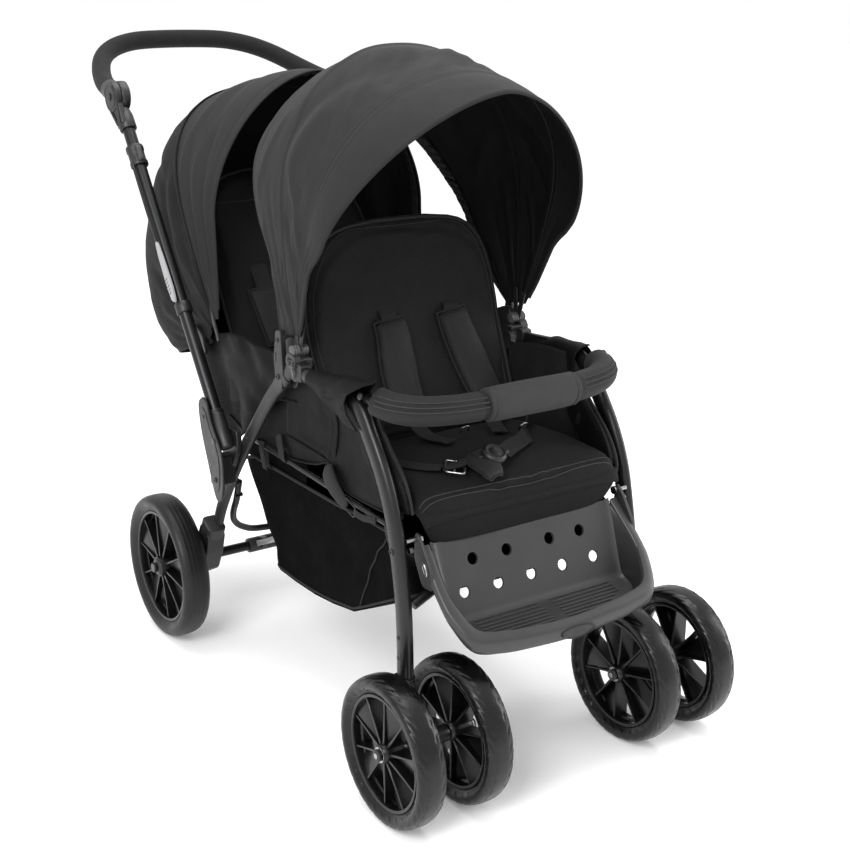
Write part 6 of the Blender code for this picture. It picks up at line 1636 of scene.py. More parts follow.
# crotch pad, buckles and straps on the seat
grid = []
line = even(smooth([(-0.0330, -0.2180, 0.4330), (-0.0380, -0.2440, 0.4380), (-0.0450, -0.2740, 0.4360), (-0.0520, -0.3020, 0.4290)], 0.004), 20)
for k, p in enumerate(line):
    w = 0.0230 + 0.0080 * math.sin(math.pi * min(1, k / 14)) - 0.010 * max(0, (k - 14) / 5) ** 2
    grid.append([(p[0] + w * u * 0.93, p[1] + w * u * 0.34, p[2] + 0.004 * (1 - u * u)) for u in np.linspace(-1, 1, 13)])
crotch = piece("crotch_pad", pillow(np.array(grid), 0.0110, 5.0, 6.0, 0.1), "pad", None, sharp=0, levels=1)
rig.ride(crotch, "front_frame")
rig.slot(crotch, "seat_fabric")
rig.padded(crotch, fill=0.6)
grid = np.array(grid)
border = np.concatenate([grid[:, 0], grid[-1, 1:], grid[::-1, -1][1:], grid[0, ::-1][1:-1]])
cord_on("crotch_pad_piping", even(np.vstack([border, border[:1]]), 90), 0.0013, "trim", "front_frame")


def buckle(name, corners, z, tilt, material="steel"):
    """A slide buckle: a wire frame with a bar across its middle."""
    ring_pts = rounded([(x, y) for x, y in corners], 0.006, 4)
    outline = np.array([(x, y, z + tilt * (y - corners[0][1])) for x, y in ring_pts])
    outline = np.vstack([outline, outline[:1]])
    a, b = (arr(corners)[0] + arr(corners)[1]) / 2, (arr(corners)[2] + arr(corners)[3]) / 2
    bar = [(a[0], a[1], z + tilt * (a[1] - corners[0][1])), (b[0], b[1], z + tilt * (b[1] - corners[0][1]))]
    loop = even(outline, 60)[:-1]
    return piece(name, joined(sweep(loop, oval(0.0017, 0.0021, 10), ref=(0, 0, 1), closed=True, caps=False), tube(even(bar, 6), 0.0015, 8)), material, "front_frame", slot="frame_metal", sharp=0)


buckle("slide_buckle", [(-0.0778, -0.2150), (-0.0600, -0.2380), (-0.0880, -0.2760), (-0.1063, -0.2530)], 0.4360, 0.02)
strap = smooth([(-0.1520, -0.1150, 0.4290), (-0.1360, -0.1650, 0.4300), (-0.1120, -0.2200, 0.4330), (-0.0850, -0.2440, 0.4365), (-0.0560, -0.2440, 0.4400), (-0.0220, -0.2560, 0.4440)], 0.006)
ribbon("lap_strap_r", strap, (0.75, -0.6, 0.1), 0.0105, 0.0018, "webbing", "front_frame", "seat_fabric")
strap = smooth([(-0.0080, -0.2560, 0.4450), (0.0200, -0.2360, 0.4430), (0.0500, -0.2160, 0.4400), (0.0800, -0.1960, 0.4380), (0.1120, -0.1600, 0.4340), (0.1400, -0.1200, 0.4290)], 0.006)
ribbon("lap_strap_l", strap, (0.55, 0.8, 0.1), 0.0125, 0.0018, "webbing", "front_frame", "seat_fabric")
rounds = [lathe([(0.0, -0.0060), (0.0150, -0.0060), (0.0178, -0.0040), (0.0182, 0.0010), (0.0165, 0.0040), (0.0140, 0.0050), (0.0120, 0.0038), (0.0085, 0.0038), (0.0070, 0.0050), (0.0, 0.0056)], (-0.0290, -0.2640, 0.4500), (0.05, -0.42, 0.9), 40)]
piece("round_buckle", rounds[0], "plastic", "front_frame", slot="black_plastic", sharp=50)
tongues = [slab(rounded([(-0.2640, 0.4440), (-0.2420, 0.4440), (-0.2420, 0.4490), (-0.2640, 0.4500)], 0.002), x - 0.0075, x + 0.0075) for x in (-0.0100, -0.0460)]
piece("buckle_tongues", joined(*tongues), "plastic_grey", "front_frame", slot="black_plastic", bevel=0.0008)
glint = [tube(smooth([(x - 0.007, y, 0.4430), (x - 0.004, y - 0.004, 0.4520), (x + 0.006, y - 0.004, 0.4520), (x + 0.008, y, 0.4430)], 0.002), 0.0013, 8) for x, y in ((0.0870, -0.1780), (0.0060, -0.1420))]
piece("strap_rings", joined(*glint), "steel", "front_frame", slot="frame_metal")

# ------------------------------------------------------------------------------------------ bumper
BUMP = smooth(u_bend((-0.190, 0.544), (-0.284, 0.5290), 0.191, 0.190, 3.4, 0, 0.145, 12), 0.008)
BUMP = even(BUMP, 150)
along = np.linspace(0, 1, 150)
tangent, normal, binormal = frames(BUMP, ref=(0, 0, 1))
sect = 40
rows = []
for k in range(150):
    row_ = []
    s_ = along[k]
    plain = 0.40 < s_ < 0.735
    for j in range(sect):
        a = 2 * math.pi * j / sect
        r = 0.0202
        r += 0.0008 * math.sin(a * 2 + s_ * 20) * 0.35
        if not plain:
            if k in (51, 52, 53, 54, 55, 56):
                r -= 0.0032
            for line_a, depth in ((0.36, 0.0018), (0.60, 0.0020), (0.80, 0.0018), (1.02, 0.0014)):
                d = abs((a - line_a * math.pi / 2.0 + math.pi) % (2 * math.pi) - math.pi)
                r -= depth * math.exp(-(d / 0.07) ** 2)
        row_.append(BUMP[k] + normal[k] * math.cos(a) * r + binormal[k] * math.sin(a) * r)
    rows.append(row_)
bump_part = rows_mesh(np.array(rows))
bumper = piece("bumper_cover", bump_part, "bumper", "bumper", "bumper_bar", "seat_fabric", sharp=0)
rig.padded(bumper, fill=0.8)
a0, a1 = 54, 107
sleeve_path = BUMP[a0:a1]
m_ = len(sleeve_path)
t_ = np.linspace(0, 1, m_)
rows = []
for k in range(m_):
    swell = 0.0038 + 0.0006 * math.sin(t_[k] * math.pi) + 0.0009 * (math.exp(-((t_[k] - 0.05) / 0.018) ** 2) * -1 - math.exp(-((t_[k] - 0.95) / 0.018) ** 2)) - 0.0028 * (math.exp(-(t_[k] / 0.008) ** 2) + math.exp(-((1 - t_[k]) / 0.008) ** 2))
    rows.append([sleeve_path[k] + (normal[a0 + k] * math.cos(a) + binormal[a0 + k] * math.sin(a)) * (0.0196 + swell + 0.0006 * math.sin(2 * a + 1) + 0.0003 * math.sin(5 * a + 7 * t_[k])) for a in np.arange(44) * 2 * math.pi / 44])
sleeve = piece("bumper_sleeve", rows_mesh(np.array(rows)), "sleeve", "bumper", slot="seat_fabric", sharp=0)
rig.padded(sleeve, fill=0.7)
for name, k in (("a", 2), ("b", m_ - 4)):
    loop = np.array([sleeve_path[k] + (normal[a0 + k] * math.cos(a) + binormal[a0 + k] * math.sin(a)) * 0.0229 for a in np.arange(50) * 2 * math.pi / 50])
    piece("bumper_sleeve_seam_" + name, sweep(loop, oval(0.0006, 0.0006, 6), closed=True, caps=False), "stitch", "bumper", slot="seat_fabric", sharp=0)
zips = []
for lo, hi in ((3, 53), (108, 147)):
    for line_a, r in ((0.48, 0.0202), (0.70, 0.0202), (0.91, 0.0202)):
        a = line_a * math.pi / 2
        zips.append(tube(np.array([BUMP[k] + (normal[k] * math.cos(a) + binormal[k] * math.sin(a)) * r for k in range(lo, hi)]), 0.0011, 6))
piece("bumper_stitches", joined(*zips), "stitch", "bumper", slot="seat_fabric", sharp=0)
for side, n in SIDES:
    peg = lathe([(0.0, 0.0), (0.0075, 0.0), (0.0080, 0.0010), (0.0080, 0.0150), (0.0095, 0.0160), (0.0100, 0.0180), (0.0100, 0.0260), (0.0, 0.0270)], (side * 0.1915, -0.1960, 0.5385), (0, -1, 0.0), 28)
    piece("bumper_mount_" + n, peg, "plastic", "front_frame", slot="black_plastic", sharp=40)
    snap = lathe([(0.0, -0.001), (0.0050, -0.001), (0.0050, 0.0012), (0.0038, 0.0022), (0.0, 0.0026)], (side * 0.2118, -0.2100, 0.5480), (side, 0, 0.15), 20)
    piece("bumper_snap_" + n, snap, "plastic", "bumper", slot="frame_metal", sharp=40)

# ------------------------------------------------------------------------------------------ rear seat
def rear_half(z):
    return float(np.interp(z, [0.40, 0.50, 0.60, 0.70, 0.735, 0.758, 0.770, 0.7745], [0.158, 0.162, 0.160, 0.150, 0.138, 0.112, 0.080, 0.045]))


part_, rear_line_, rear_behind_ = backrest("rear", [(0.2020, 0.4130), (0.2420, 0.4800), (0.2920, 0.5600), (0.3420, 0.6400), (0.3870, 0.7120), (0.4220, 0.7700), (0.4245, 0.7745)], rear_half, 0.7745, 0.0195, "rear_back", "rear_backrest", None)
rear_back_cushion = piece("rear_backrest_cushion", part_, "seat", None, sharp=0)
puff(rear_back_cushion, 0.0060, 0.0045)
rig.ride(rear_back_cushion, "rear_back")
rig.replaces(rear_back_cushion, "rear_backrest")
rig.slot(rear_back_cushion, "seat_fabric")
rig.padded(rear_back_cushion, fill=0.6)
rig.squash(rear_back_cushion, "frame_fold", FOLD_AXIS, FOLD_ANCHOR, keep=0.5)
cord_on("rear_backrest_piping", edge_path(rear_half, rear_line_, rear_behind_, 0.0195, 0.425, 0.0015, 150, 0.30), 0.0024, "pad", "rear_back")
seam, _ = laid(rear_back_cushion, [(-0.145, 0.395, 0.722), (-0.05, 0.397, 0.7225), (0.05, 0.397, 0.7225), (0.145, 0.395, 0.722)], 0.0004, 90, (0, 0.8, -0.5))
cord_on("rear_backrest_seam", seam, 0.0011, "pad", "rear_back")
for side, n in SIDES:
    up = np.array((0, 0.53, 0.848))
    out_ = np.array((0, -0.848, 0.53))
    base = np.array((side * 0.0840, 0.2850, 0.5450))
    grid = []
    for v in np.linspace(-1, 1, 24):
        w = 0.0265 - 0.002 * v
        grid.append([base + up * (0.050 * v) + X_AXIS * (w * u + side * 0.006 * v) + out_ * (0.0100 + 0.0035 * (1 - u * u)) for u in np.linspace(-1, 1, 13)])
    pad = piece("rear_harness_pad_" + n, pillow(np.array(grid), 0.0125, 5.0, 9.0, 0.1), "pad", "rear_back", slot="seat_fabric", sharp=0, levels=1)
    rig.padded(pad, fill=0.6)
    grid = np.array(grid)
    border = np.concatenate([grid[:, 0], grid[-1, 1:], grid[::-1, -1][1:], grid[0, ::-1][1:-1]])
    cord_on("rear_harness_piping_" + n, even(np.vstack([border, border[:1]]), 90), 0.0017, "trim", "rear_back")
    top = base + up * 0.045 + out_ * 0.014
    high = base + up * 0.122 + out_ * 0.001
    ribbon("rear_harness_web_" + n, smooth([top, (top + high) / 2 + out_ * 0.002, high, high - out_ * 0.006 + up * 0.003], 0.005), X_AXIS, 0.0150, 0.0018, "webbing", "rear_back", "seat_fabric")
    low_ = base - up * 0.048 + out_ * 0.012
    ribbon("rear_harness_lower_" + n, smooth([low_, low_ + out_ * 0.01 - up * 0.03, (side * 0.060, 0.1900, 0.4450), (side * 0.040, 0.1400, 0.4400)], 0.006), X_AXIS, 0.0110, 0.0018, "webbing", "front_frame", "seat_fabric")
REAR_TOP = [(0.0080, 0.4020), (0.0120, 0.4150), (0.0240, 0.4220), (0.0600, 0.4235), (0.1200, 0.4190), (0.1840, 0.4115)]
line = even(smooth(REAR_TOP, 0.006), 34)
grid = [[(0.1690 * u, y - 0.0, z - 0.0100 + 0.003 * (1 - u * u)) for u in np.linspace(-1, 1, 44)] for y, z in line]
rear_seat = piece("rear_seat_cushion", pillow(np.array(grid), 0.0230, 12.0, 12.0, 0.15), "seat", None, sharp=0)
puff(rear_seat, 0.0060, 0.0050)
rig.ride(rear_seat, "front_frame")
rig.replaces(rear_seat, "rear_seat_base")
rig.slot(rear_seat, "seat_fabric")
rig.padded(rear_seat, fill=0.6)


# ------------------------------------------------------------------------------------------ side cloths
def field(y, z, points, default=0.0):
    return float(np.interp(y, [p[0] for p in points], [p[1] for p in points]))


LEG_TOP = [(-0.26, 0.470), (-0.2462, 0.4458), (-0.2105, 0.4970), (-0.192, 0.520), (-0.173, 0.532), (-0.150, 0.5405), (-0.120, 0.544), (-0.0775, 0.545), (-0.047, 0.544)]
for side, n in SIDES:
    phase = 0.0 if side < 0 else 2.1
    # cloth of the front seat's side, hanging inside the leg
    top = even(smooth([(0.0420, 0.5000), (0.0100, 0.5100), (-0.0200, 0.5220), (-0.0620, 0.5330), (-0.1100, 0.5340), (-0.1500, 0.5310), (-0.1800, 0.5170), (-0.2050, 0.4880), (-0.2360, 0.4450), (-0.2680, 0.4020)], 0.01), 84)
    low = even(smooth([(0.0400, 0.4240), (-0.0100, 0.4220), (-0.0550, 0.4200), (-0.0820, 0.4170), (-0.1000, 0.4080), (-0.1281, 0.3880), (-0.1669, 0.3857), (-0.2160, 0.3864), (-0.2500, 0.3880), (-0.2760, 0.3910)], 0.01), 84)
    grid = []
    for j, v in enumerate(np.linspace(0, 1, 34)):
        row_ = []
        for i in range(84):
            u = i / 83
            y, z = top[i] * (1 - v) + low[i] * v
            x = 0.1886 - 0.0010 * math.sin(math.pi * v)
            fold = 0.0026 * math.sin(7 * u + 3.5 * v + phase) * math.exp(-((u - 0.40) / 0.30) ** 2) + 0.0022 * math.sin(15 * u - 6 * v + 1 + phase) * (1 - v)
            fold += 0.0034 * noise.noise(Vector((y * 17 + side, z * 20, 1.7)))
            seam = 0.0016 * math.exp(-((y + 0.0900 - 0.010 * v) / 0.0040) ** 2)
            fold *= min(1, 4 * v + 0.25)
            x += min(0.0010, fold) if v < 0.9 else fold * 0.4
            bag = 0.0030 * math.sin(math.pi * u) * math.sin(math.pi * v)
            row_.append((side * (x - bag * 0.6 + seam), y, z))
        grid.append(row_)
    cloth_piece("side_cloth_" + n, np.array(grid), "side_cloth", "front_frame", "side_panel_" + n, "seat_fabric", thick=0.0016, middle=(0, -0.1, 0.45), held="hung", rests=("side_rail_rod_" + n,))
    hem_path = [(side * 0.1890, y, z) for y, z in even(low, 60)]
    cord_on("side_cloth_hem_" + n, hem_path, 0.0019, "side_cloth", "front_frame")
    # the lower side cloth behind it, reaching back past the rear leg
    top = even(smooth([(0.2350, 0.4750), (0.1640, 0.4950), (0.0860, 0.5050), (0.0345, 0.5080), (-0.0100, 0.5120), (-0.0474, 0.5160), (-0.1000, 0.5160)], 0.01), 90)
    low = even(smooth([(0.2420, 0.4060), (0.2050, 0.3960), (0.1643, 0.3880), (0.1250, 0.3910), (0.0859, 0.3900), (0.0600, 0.3915), (0.0345, 0.3890), (-0.0099, 0.3950), (-0.0474, 0.4032), (-0.0720, 0.4130), (-0.1000, 0.4160)], 0.01), 90)
    grid = []
    for v in np.linspace(0, 1, 30):
        row_ = []
        for i in range(90):
            u = i / 89
            y, z = top[i] * (1 - v) + low[i] * v
            wr = 0.0030 * math.sin(9 * u + 5 * v + phase) * math.sin(math.pi * v) + 0.0032 * noise.noise(Vector((y * 15 + side * 3, z * 19, 8.1)))
            wr += 0.0026 * math.exp(-((v - 0.80 - 0.06 * math.sin(9 * u)) / 0.05) ** 2) * math.exp(-((u - 0.62) / 0.25) ** 2)
            row_.append((side * (0.1848 + min(0.0014, wr) + 0.0012 * v ** 4), y, z))
        grid.append(row_)
    cloth_piece("side_cloth_rear_" + n, np.array(grid), "side_cloth", "front_frame", slot="seat_fabric", thick=0.0014, middle=(0, 0.05, 0.45), held="hung", rests=("side_cloth_" + n,))
    cord_on("side_cloth_rear_hem_" + n, [(side * 0.1872, y, z) for y, z in even(low, 70)], 0.0017, "side_cloth", "front_frame")
    # dark lining between the seats' side cloth and the basket's rear rim
    grid = []
    for v in np.linspace(0, 1, 22):
        row_ = []
        for i in range(50):
            u = i / 49
            y = 0.0100 + (0.2280 - 0.0250 * v) * u
            z = 0.4750 * (1 - v) + (0.3500 - 0.0020 * math.sin(3 * u)) * v
            x = 0.1758 - 0.0060 * math.sin(math.pi * v) + 0.0030 * noise.noise(Vector((y * 14, z * 17, side * 6.0))) * math.sin(math.pi * v)
            row_.append((side * x, y, z))
        grid.append(row_)
    cloth_piece("basket_upper_cloth_" + n, np.array(grid), "basket", "front_frame", slot="basket_mesh", thick=0.0012, middle=(0, 0.1, 0.4), held="hung", rests=("side_rail_rod_" + n,))
    # the sleeve over the upper leg, open in front like a hood over the bumper's end
    crest = [(0.060, 0.5490), (0.0924, 0.5545), (0.1367, 0.5605), (0.1747, 0.5665), (0.2260, 0.5705)] if side < 0 else [(0.060, 0.5450), (0.0924, 0.5500), (0.1134, 0.5540), (0.1641, 0.5590), (0.1900, 0.5580)]
    tip = 0.2330 if side < 0 else 0.1860
    front_at = [(0.0, 0.1800), (0.16, 0.1820), (0.30, min(tip, 0.2100)), (0.42, tip), (0.52, tip - 0.0200), (0.62, 0.1880 if side < 0 else 0.1760), (0.74, 0.1750), (0.86, 0.1790), (0.93, 0.1880), (1.0, 0.2010 if side < 0 else 0.1900)]
    grid = []
    for k in range(60):
        t = k / 59
        row_ = []
        for j, s_ in enumerate(np.linspace(0, 1, 46)):
            reach = float(np.interp(s_, [p[0] for p in front_at], [p[1] for p in front_at]))
            y = -(0.0600 + (reach - 0.0600) * t)
            zt = float(np.interp(-y, [p[0] for p in crest], [p[1] for p in crest]))
            r = float(np.interp(-y, [0.06, 0.12, 0.17, 0.23], [0.0135, 0.0160, 0.0200, 0.0235]))
            low_x = float(np.interp(-y, [0.06, 0.12, 0.17, 0.20], [0.1925, 0.1985, 0.2090, 0.2135]))
            low_z = float(np.interp(-y, [0.06, 0.08, 0.12, 0.16, 0.20], [0.5180, 0.5080, 0.5000, 0.4960, 0.4970]))
            fold = 0.0034 * math.sin(5.0 * t + 7.0 * s_ + phase) * math.sin(math.pi * min(1, 1.2 * t)) + 0.0050 * noise.noise(Vector((t * 3.4 + side * 5, s_ * 5.2, 2.2)))
            fold += 0.0042 * math.exp(-((s_ - 0.62 - 0.26 * (1 - t)) / 0.040) ** 2) * math.sin(math.pi * t) - 0.0030 * math.exp(-((s_ - 0.76 - 0.10 * (1 - t)) / 0.035) ** 2) * math.sin(math.pi * t)
            if s_ < 0.16:
                w = s_ / 0.16
                x, z = 0.1995 - r, zt - r - 0.0220 * (1 - w)
                row_.append((side * (x - max(-0.001, fold * 0.6)), y, z))
            elif s_ < 0.62:
                a = math.radians(-90 + 180 * (s_ - 0.16) / 0.46)
                rr = r + max(-0.0012, fold * 0.7)
                row_.append((side * (0.1995 + rr * math.sin(a)), y, zt - r + rr * math.cos(a) - 0.0004))
            else:
                w = (s_ - 0.62) / 0.38
                x = (0.1995 + r) * (1 - w ** 1.4) + low_x * w ** 1.4
                z = (zt - r) * (1 - w) + low_z * w
                row_.append((side * (x + max(-0.0010, fold * (1 - 0.6 * w))), y, z))
        grid.append(row_)
    grid = np.array(grid)
    cloth_piece("leg_sleeve_" + n, grid, "side_cloth", "front_frame", slot="seat_fabric", thick=0.0014, middle=(side * 0.1995, -0.12, 0.53), held="draped", rests=("front_leg_tube_" + n,))
    cord_on("leg_sleeve_edge_" + n, even(grid[-1], 90), 0.0014, "side_cloth", "front_frame")
    # padded wing between the leg and the cushion, with doubled piping on its front edge
    fore = even(smooth([(-0.1960, 0.5160), (-0.2050, 0.5000), (-0.2350, 0.4700), (-0.2640, 0.4420), (-0.2810, 0.4150), (-0.2870, 0.3930)], 0.008), 32)
    aft = even(smooth([(-0.1350, 0.5120), (-0.1400, 0.4950), (-0.1560, 0.4650), (-0.1820, 0.4350), (-0.2080, 0.4100), (-0.2250, 0.3900)], 0.008), 32)
    grid = []
    for k in range(32):
        grid.append([(side * (0.1802 + 0.0016 * math.sin(2.6 * u + 0.18 * k + phase)), *(aft[k] * (0.5 - 0.5 * u) + fore[k] * (0.5 + 0.5 * u))) for u in np.linspace(-1, 1, 19)])
    wing = piece("seat_wing_" + n, pillow(np.array(grid), 0.0105, 9.0, 10.0, 0.1), "side_cloth", None, sharp=0)
    puff(wing, 0.0045, 0.0025)
    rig.ride(wing, "front_frame")
    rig.slot(wing, "seat_fabric")
    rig.padded(wing, fill=0.6)
    for m, step_in, x_ in (("a", 0.0, 0.1790), ("b", 0.0085, 0.1752)):
        edge_ = [(side * x_, y + step_in * 0.9, z + step_in * 0.35) for y, z in fore[1:-1]]
        cord_on("seat_wing_piping_%s_%s" % (m, n), even(smooth(edge_, 0.006), 60), 0.0021, "pad", "front_frame")
    # inner side cloth of the front seat, from the sleeve down to the cushion
    inner_top = even(smooth([(-0.0150, 0.5300), (-0.0500, 0.5360), (-0.0900, 0.5420), (-0.1300, 0.5440), (-0.1700, 0.5420), (-0.1950, 0.5200)], 0.01), 54)
    inner_low = even(smooth([(-0.0350, 0.4020), (-0.0700, 0.4000), (-0.1200, 0.3990), (-0.1700, 0.3985), (-0.2200, 0.3985), (-0.2640, 0.3990)], 0.01), 54)
    grid = []
    for j, v in enumerate(np.linspace(0, 1, 30)):
        row_ = []
        for i in range(54):
            y, z = inner_top[i] * (1 - v) + inner_low[i] * v
            x = 0.1812 - 0.0060 * math.sin(math.pi * v) - 0.0050 * v ** 2
            x += 0.0038 * math.sin(i * 0.42 + 4.5 * v + phase) * math.sin(math.pi * min(1, v * 1.2)) + 0.0034 * noise.noise(Vector((y * 30, z * 26, side * 5.0)))
            row_.append((side * min(x, 0.1830), y, z))
        grid.append(row_)
    cloth_piece("seat_side_lining_" + n, np.array(grid), "seat", "front_frame", slot="seat_fabric", thick=0.0014, middle=(side * 0.4, -0.15, 0.45), held="hung", rests=("leg_sleeve_" + n,))
    # rear seat's side drape
    top = even(smooth([(0.3280, 0.5000), (0.2980, 0.5260), (0.2500, 0.5430), (0.1950, 0.5480), (0.1290, 0.5460), (0.0700, 0.5400), (0.0250, 0.5230)], 0.01), 90)
    low = even(smooth([(0.3380, 0.3700), (0.2800, 0.3620), (0.2200, 0.3720), (0.1700, 0.4020), (0.1200, 0.4360), (0.0700, 0.4720), (0.0100, 0.4840)], 0.01), 90)
    grid = []
    for j, v in enumerate(np.linspace(-0.16, 1, 44)):
        row_ = []
        for i in range(90):
            u = i / 89
            vv = max(0.0, v)
            y, z = top[i] * (1 - vv) + low[i] * vv
            x = 0.1890 - 0.0006 * vv
            if v < 0:
                roll = -v / 0.16
                x -= 0.0180 * roll
                z -= 0.0120 * roll * roll
            wr = 0.0044 * math.sin(14 * u - 3.0 * vv + 2.2 * math.sin(5 * u + phase)) * math.exp(-((u - 0.30) / 0.28) ** 2) * (1 - 0.4 * vv)
            wr += 0.0030 * math.sin(17 * u + 7 * vv + phase) * vv + 0.0020 * math.sin(29 * u - 9 * vv + 1.5) * math.exp(-(vv / 0.35) ** 2)
            wr += 0.0040 * noise.noise(Vector((y * 18 + side * 2, z * 30, 4.4)))
            if v >= 0:
                x += min(wr, 0.0045 - 0.0030 * (1 if 0.02 < y < 0.24 and z < 0.54 - (y + 0.0155) * 0.95 + 0.03 and z > 0.52 - (y + 0.0155) * 1.08 - 0.03 else 0))
            row_.append((side * x, y, z + 0.0014 * math.sin(17 * u + phase) * (1 - vv)))
        grid.append(row_)
    cloth_piece("rear_side_drape_" + n, np.array(grid), "side_cloth", "front_frame", "rear_side_panel_" + n, "seat_fabric", thick=0.0016, middle=(0, 0.15, 0.45), held="draped", rests=("rear_leg_tube_" + n,))
    cord_on("rear_drape_hem_" + n, [(side * 0.1892, y, z) for y, z in even(low, 60)], 0.0019, "side_cloth", "front_frame")
    # inner lining of the rear seat's side, below the drape
    top2 = even(smooth([(0.2500, 0.4350), (0.1900, 0.4450), (0.1300, 0.4550), (0.0700, 0.4700), (0.0200, 0.4780)], 0.01), 40)
    low2 = even(smooth([(0.2150, 0.4000), (0.1700, 0.4000), (0.1200, 0.4000), (0.0700, 0.4010), (0.0150, 0.4040)], 0.01), 40)
    grid = [[(side * (0.1835 + 0.0014 * math.sin(i * 0.5 + 3 * v) * math.sin(math.pi * v)), *(top2[i] * (1 - v) + low2[i] * v)) for i in range(40)] for v in np.linspace(0, 1, 14)]
    cloth_piece("rear_side_lining_" + n, np.array(grid), "lining", "front_frame", slot="seat_fabric", thick=0.0014, middle=(0, 0.1, 0.43), held="hung", rests=("rear_side_drape_" + n,))
    # webbing loop on the rail and the padded strap with its ring
    loop = smooth([(0.1920, 0.0640, 0.4200), (0.1935, 0.0560, 0.4020), (0.1938, 0.0500, 0.3860), (0.1900, 0.0480, 0.3795), (0.1855, 0.0490, 0.3830), (0.1850, 0.0550, 0.4000)], 0.004)
    ribbon("rail_loop_" + n, [(side * x, y, z) for x, y, z in loop], (0, 1, 0.1), 0.0085, 0.0016, "webbing", "front_frame", "seat_fabric")
    strap = even(smooth([(0.1935, -0.0900, 0.4110), (0.1965, -0.0960, 0.4020), (0.1975, -0.1100, 0.3900), (0.1965, -0.1250, 0.3790), (0.1950, -0.1385, 0.3710)], 0.004), 26)
    padded_strap = piece("basket_strap_" + n, sweep([(side * x, y, z) for x, y, z in strap], oval(0.0050, 0.0150, 26, 2.4), ref=X_AXIS, scale=np.interp(np.linspace(0, 1, 26), [0, 0.12, 0.35, 0.8, 1], [0.80, 1.06, 1.08, 0.80, 0.62]), round_ends=0.005), "pad", "front_frame", slot="seat_fabric", sharp=0)
    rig.padded(padded_strap, fill=0.6)
    ring_c, ring_a, ring_b = np.array((side * 0.1958, -0.1520, 0.3700)), np.array((0, -0.0135, -0.0045)), np.array((0, 0.0022, -0.0078))
    loop = rounded([ring_c + ring_a * i + ring_b * j for i, j in ((-1, -1), (1, -1), (1, 1), (-1, 1))], 0.005, 5)
    piece("strap_ring_" + n, sweep(even(np.vstack([loop, loop[:1]]), 50)[:-1], oval(0.0012, 0.0012, 8), closed=True, caps=False), "leg_grey", "front_frame", slot="frame_metal", sharp=0)
    tail = smooth([(side * 0.1958, -0.1630, 0.3665), (side * 0.1950, -0.1850, 0.3650), (side * 0.1925, -0.2150, 0.3700)], 0.005)
    ribbon("strap_tail_" + n, tail, (0, 0.3, 0.95), 0.0050, 0.0014, "webbing", "front_frame", "seat_fabric")

# strip of seat cloth under the front backrest's foot, behind the cushion
grid = []
for v in np.linspace(0, 1, 16):
    grid.append([(0.1700 * u, -0.0600 + 0.1150 * v, 0.4080 + 0.0060 * math.sin(math.pi * v * 0.5) + 0.0012 * noise.noise(Vector((u * 5, v * 2, 4.4)))) for u in np.linspace(-1, 1, 60)])
cloth_piece("seat_rear_strip", np.array(grid), "seat", "front_frame", slot="seat_fabric", thick=0.0014, middle=(0, -0.04, 0.3), held="laid", rests=("front_seat_cushion",))

# ------------------------------------------------------------------------------------------ basket
def tray_loop(y_rear, y_front, half_rear, half_front, z_of, corner, count, bow_out=0.0):
    pts = rounded([(-half_rear, y_rear), (half_rear, y_rear), (half_front, y_front), (-half_front, y_front)], corner, 8)
    pts = even(np.vstack([pts, pts[:1]]), count + 1)[:-1]
    return np.array([(x, y, z_of(y)) for x, y in pts])


def rim_z(y):
    return float(np.interp(y, [-0.285, -0.250, -0.2118, -0.140, -0.090, 0.120, 0.175, 0.2130], [0.3330, 0.3460, 0.3517, 0.3525, 0.3490, 0.3500, 0.3515, 0.3390]))


def floor_z(y):
    return float(np.interp(y, [-0.290, -0.2246, -0.1474, -0.1150, -0.0541, 0.0007, 0.0576, 0.1300], [0.2800, 0.2470, 0.2060, 0.1900, 0.1800, 0.1750, 0.1745, 0.1775]))


BC = 220
rim_loop = tray_loop(0.2130, -0.2820, 0.1775, 0.1760, rim_z, 0.014, BC)
floor_loop = tray_loop(0.1310, -0.2860, 0.1720, 0.1680, floor_z, 0.024, BC)
rows = []
for v in np.linspace(0, 1, 34):
    bulge = math.sin(math.pi * v ** 0.8)
    ring_ = rim_loop * (1 - v) + floor_loop * v
    centre = np.array((0, -0.06, 0))
    out_dir = ring_ - centre
    out_dir[:, 2] = 0
    out_dir = unit(out_dir)
    s_ = np.arange(BC) / BC * 2 * math.pi
    rear_pull = -(0.0070 * bulge + 0.0150 * math.exp(-((v - 0.76) / 0.13) ** 2)) * np.clip((ring_[:, 1] - 0.09) / 0.04, 0, 1)
    side_push = 0.0030 * bulge * (np.abs(ring_[:, 0]) > 0.15)
    wr = 0.0016 * np.sin(s_ * 9 + 5 * v) * bulge * 0.6 + 0.0010 * np.sin(s_ * 17 - 7 * v) * v * (1 - v) * 4
    wr += np.array([0.0044 * noise.noise(Vector((p[0] * 9, p[1] * 9, p[2] * 11 + 3.0))) for p in ring_]) * bulge
    ring_ = ring_ + out_dir * (side_push + wr)[:, None]
    ring_[:, 1] += rear_pull
    lim = 0.1790
    ring_[:, 0] = np.clip(ring_[:, 0], -lim, lim)
    rows.append(ring_)
for f in np.linspace(0.06, 0.94, 12):
    ring_ = floor_loop.copy()
    mid_y = np.clip(ring_[:, 1], -0.23, 0.09)
    ring_[:, 0] = ring_[:, 0] * (1 - f)
    ring_[:, 1] = ring_[:, 1] * (1 - f) + mid_y * f
    ring_[:, 2] = np.array([floor_z(y) for y in ring_[:, 1]]) - 0.0070 * math.sin(math.pi / 2 * f) + 0.0020 * np.sin(ring_[:, 1] * 60) * f
    rows.append(ring_)
basket_grid = np.array(rows)
n_, m_ = basket_grid.shape[:2]
closed_grid = np.concatenate([basket_grid, basket_grid[:, :1]], axis=1)
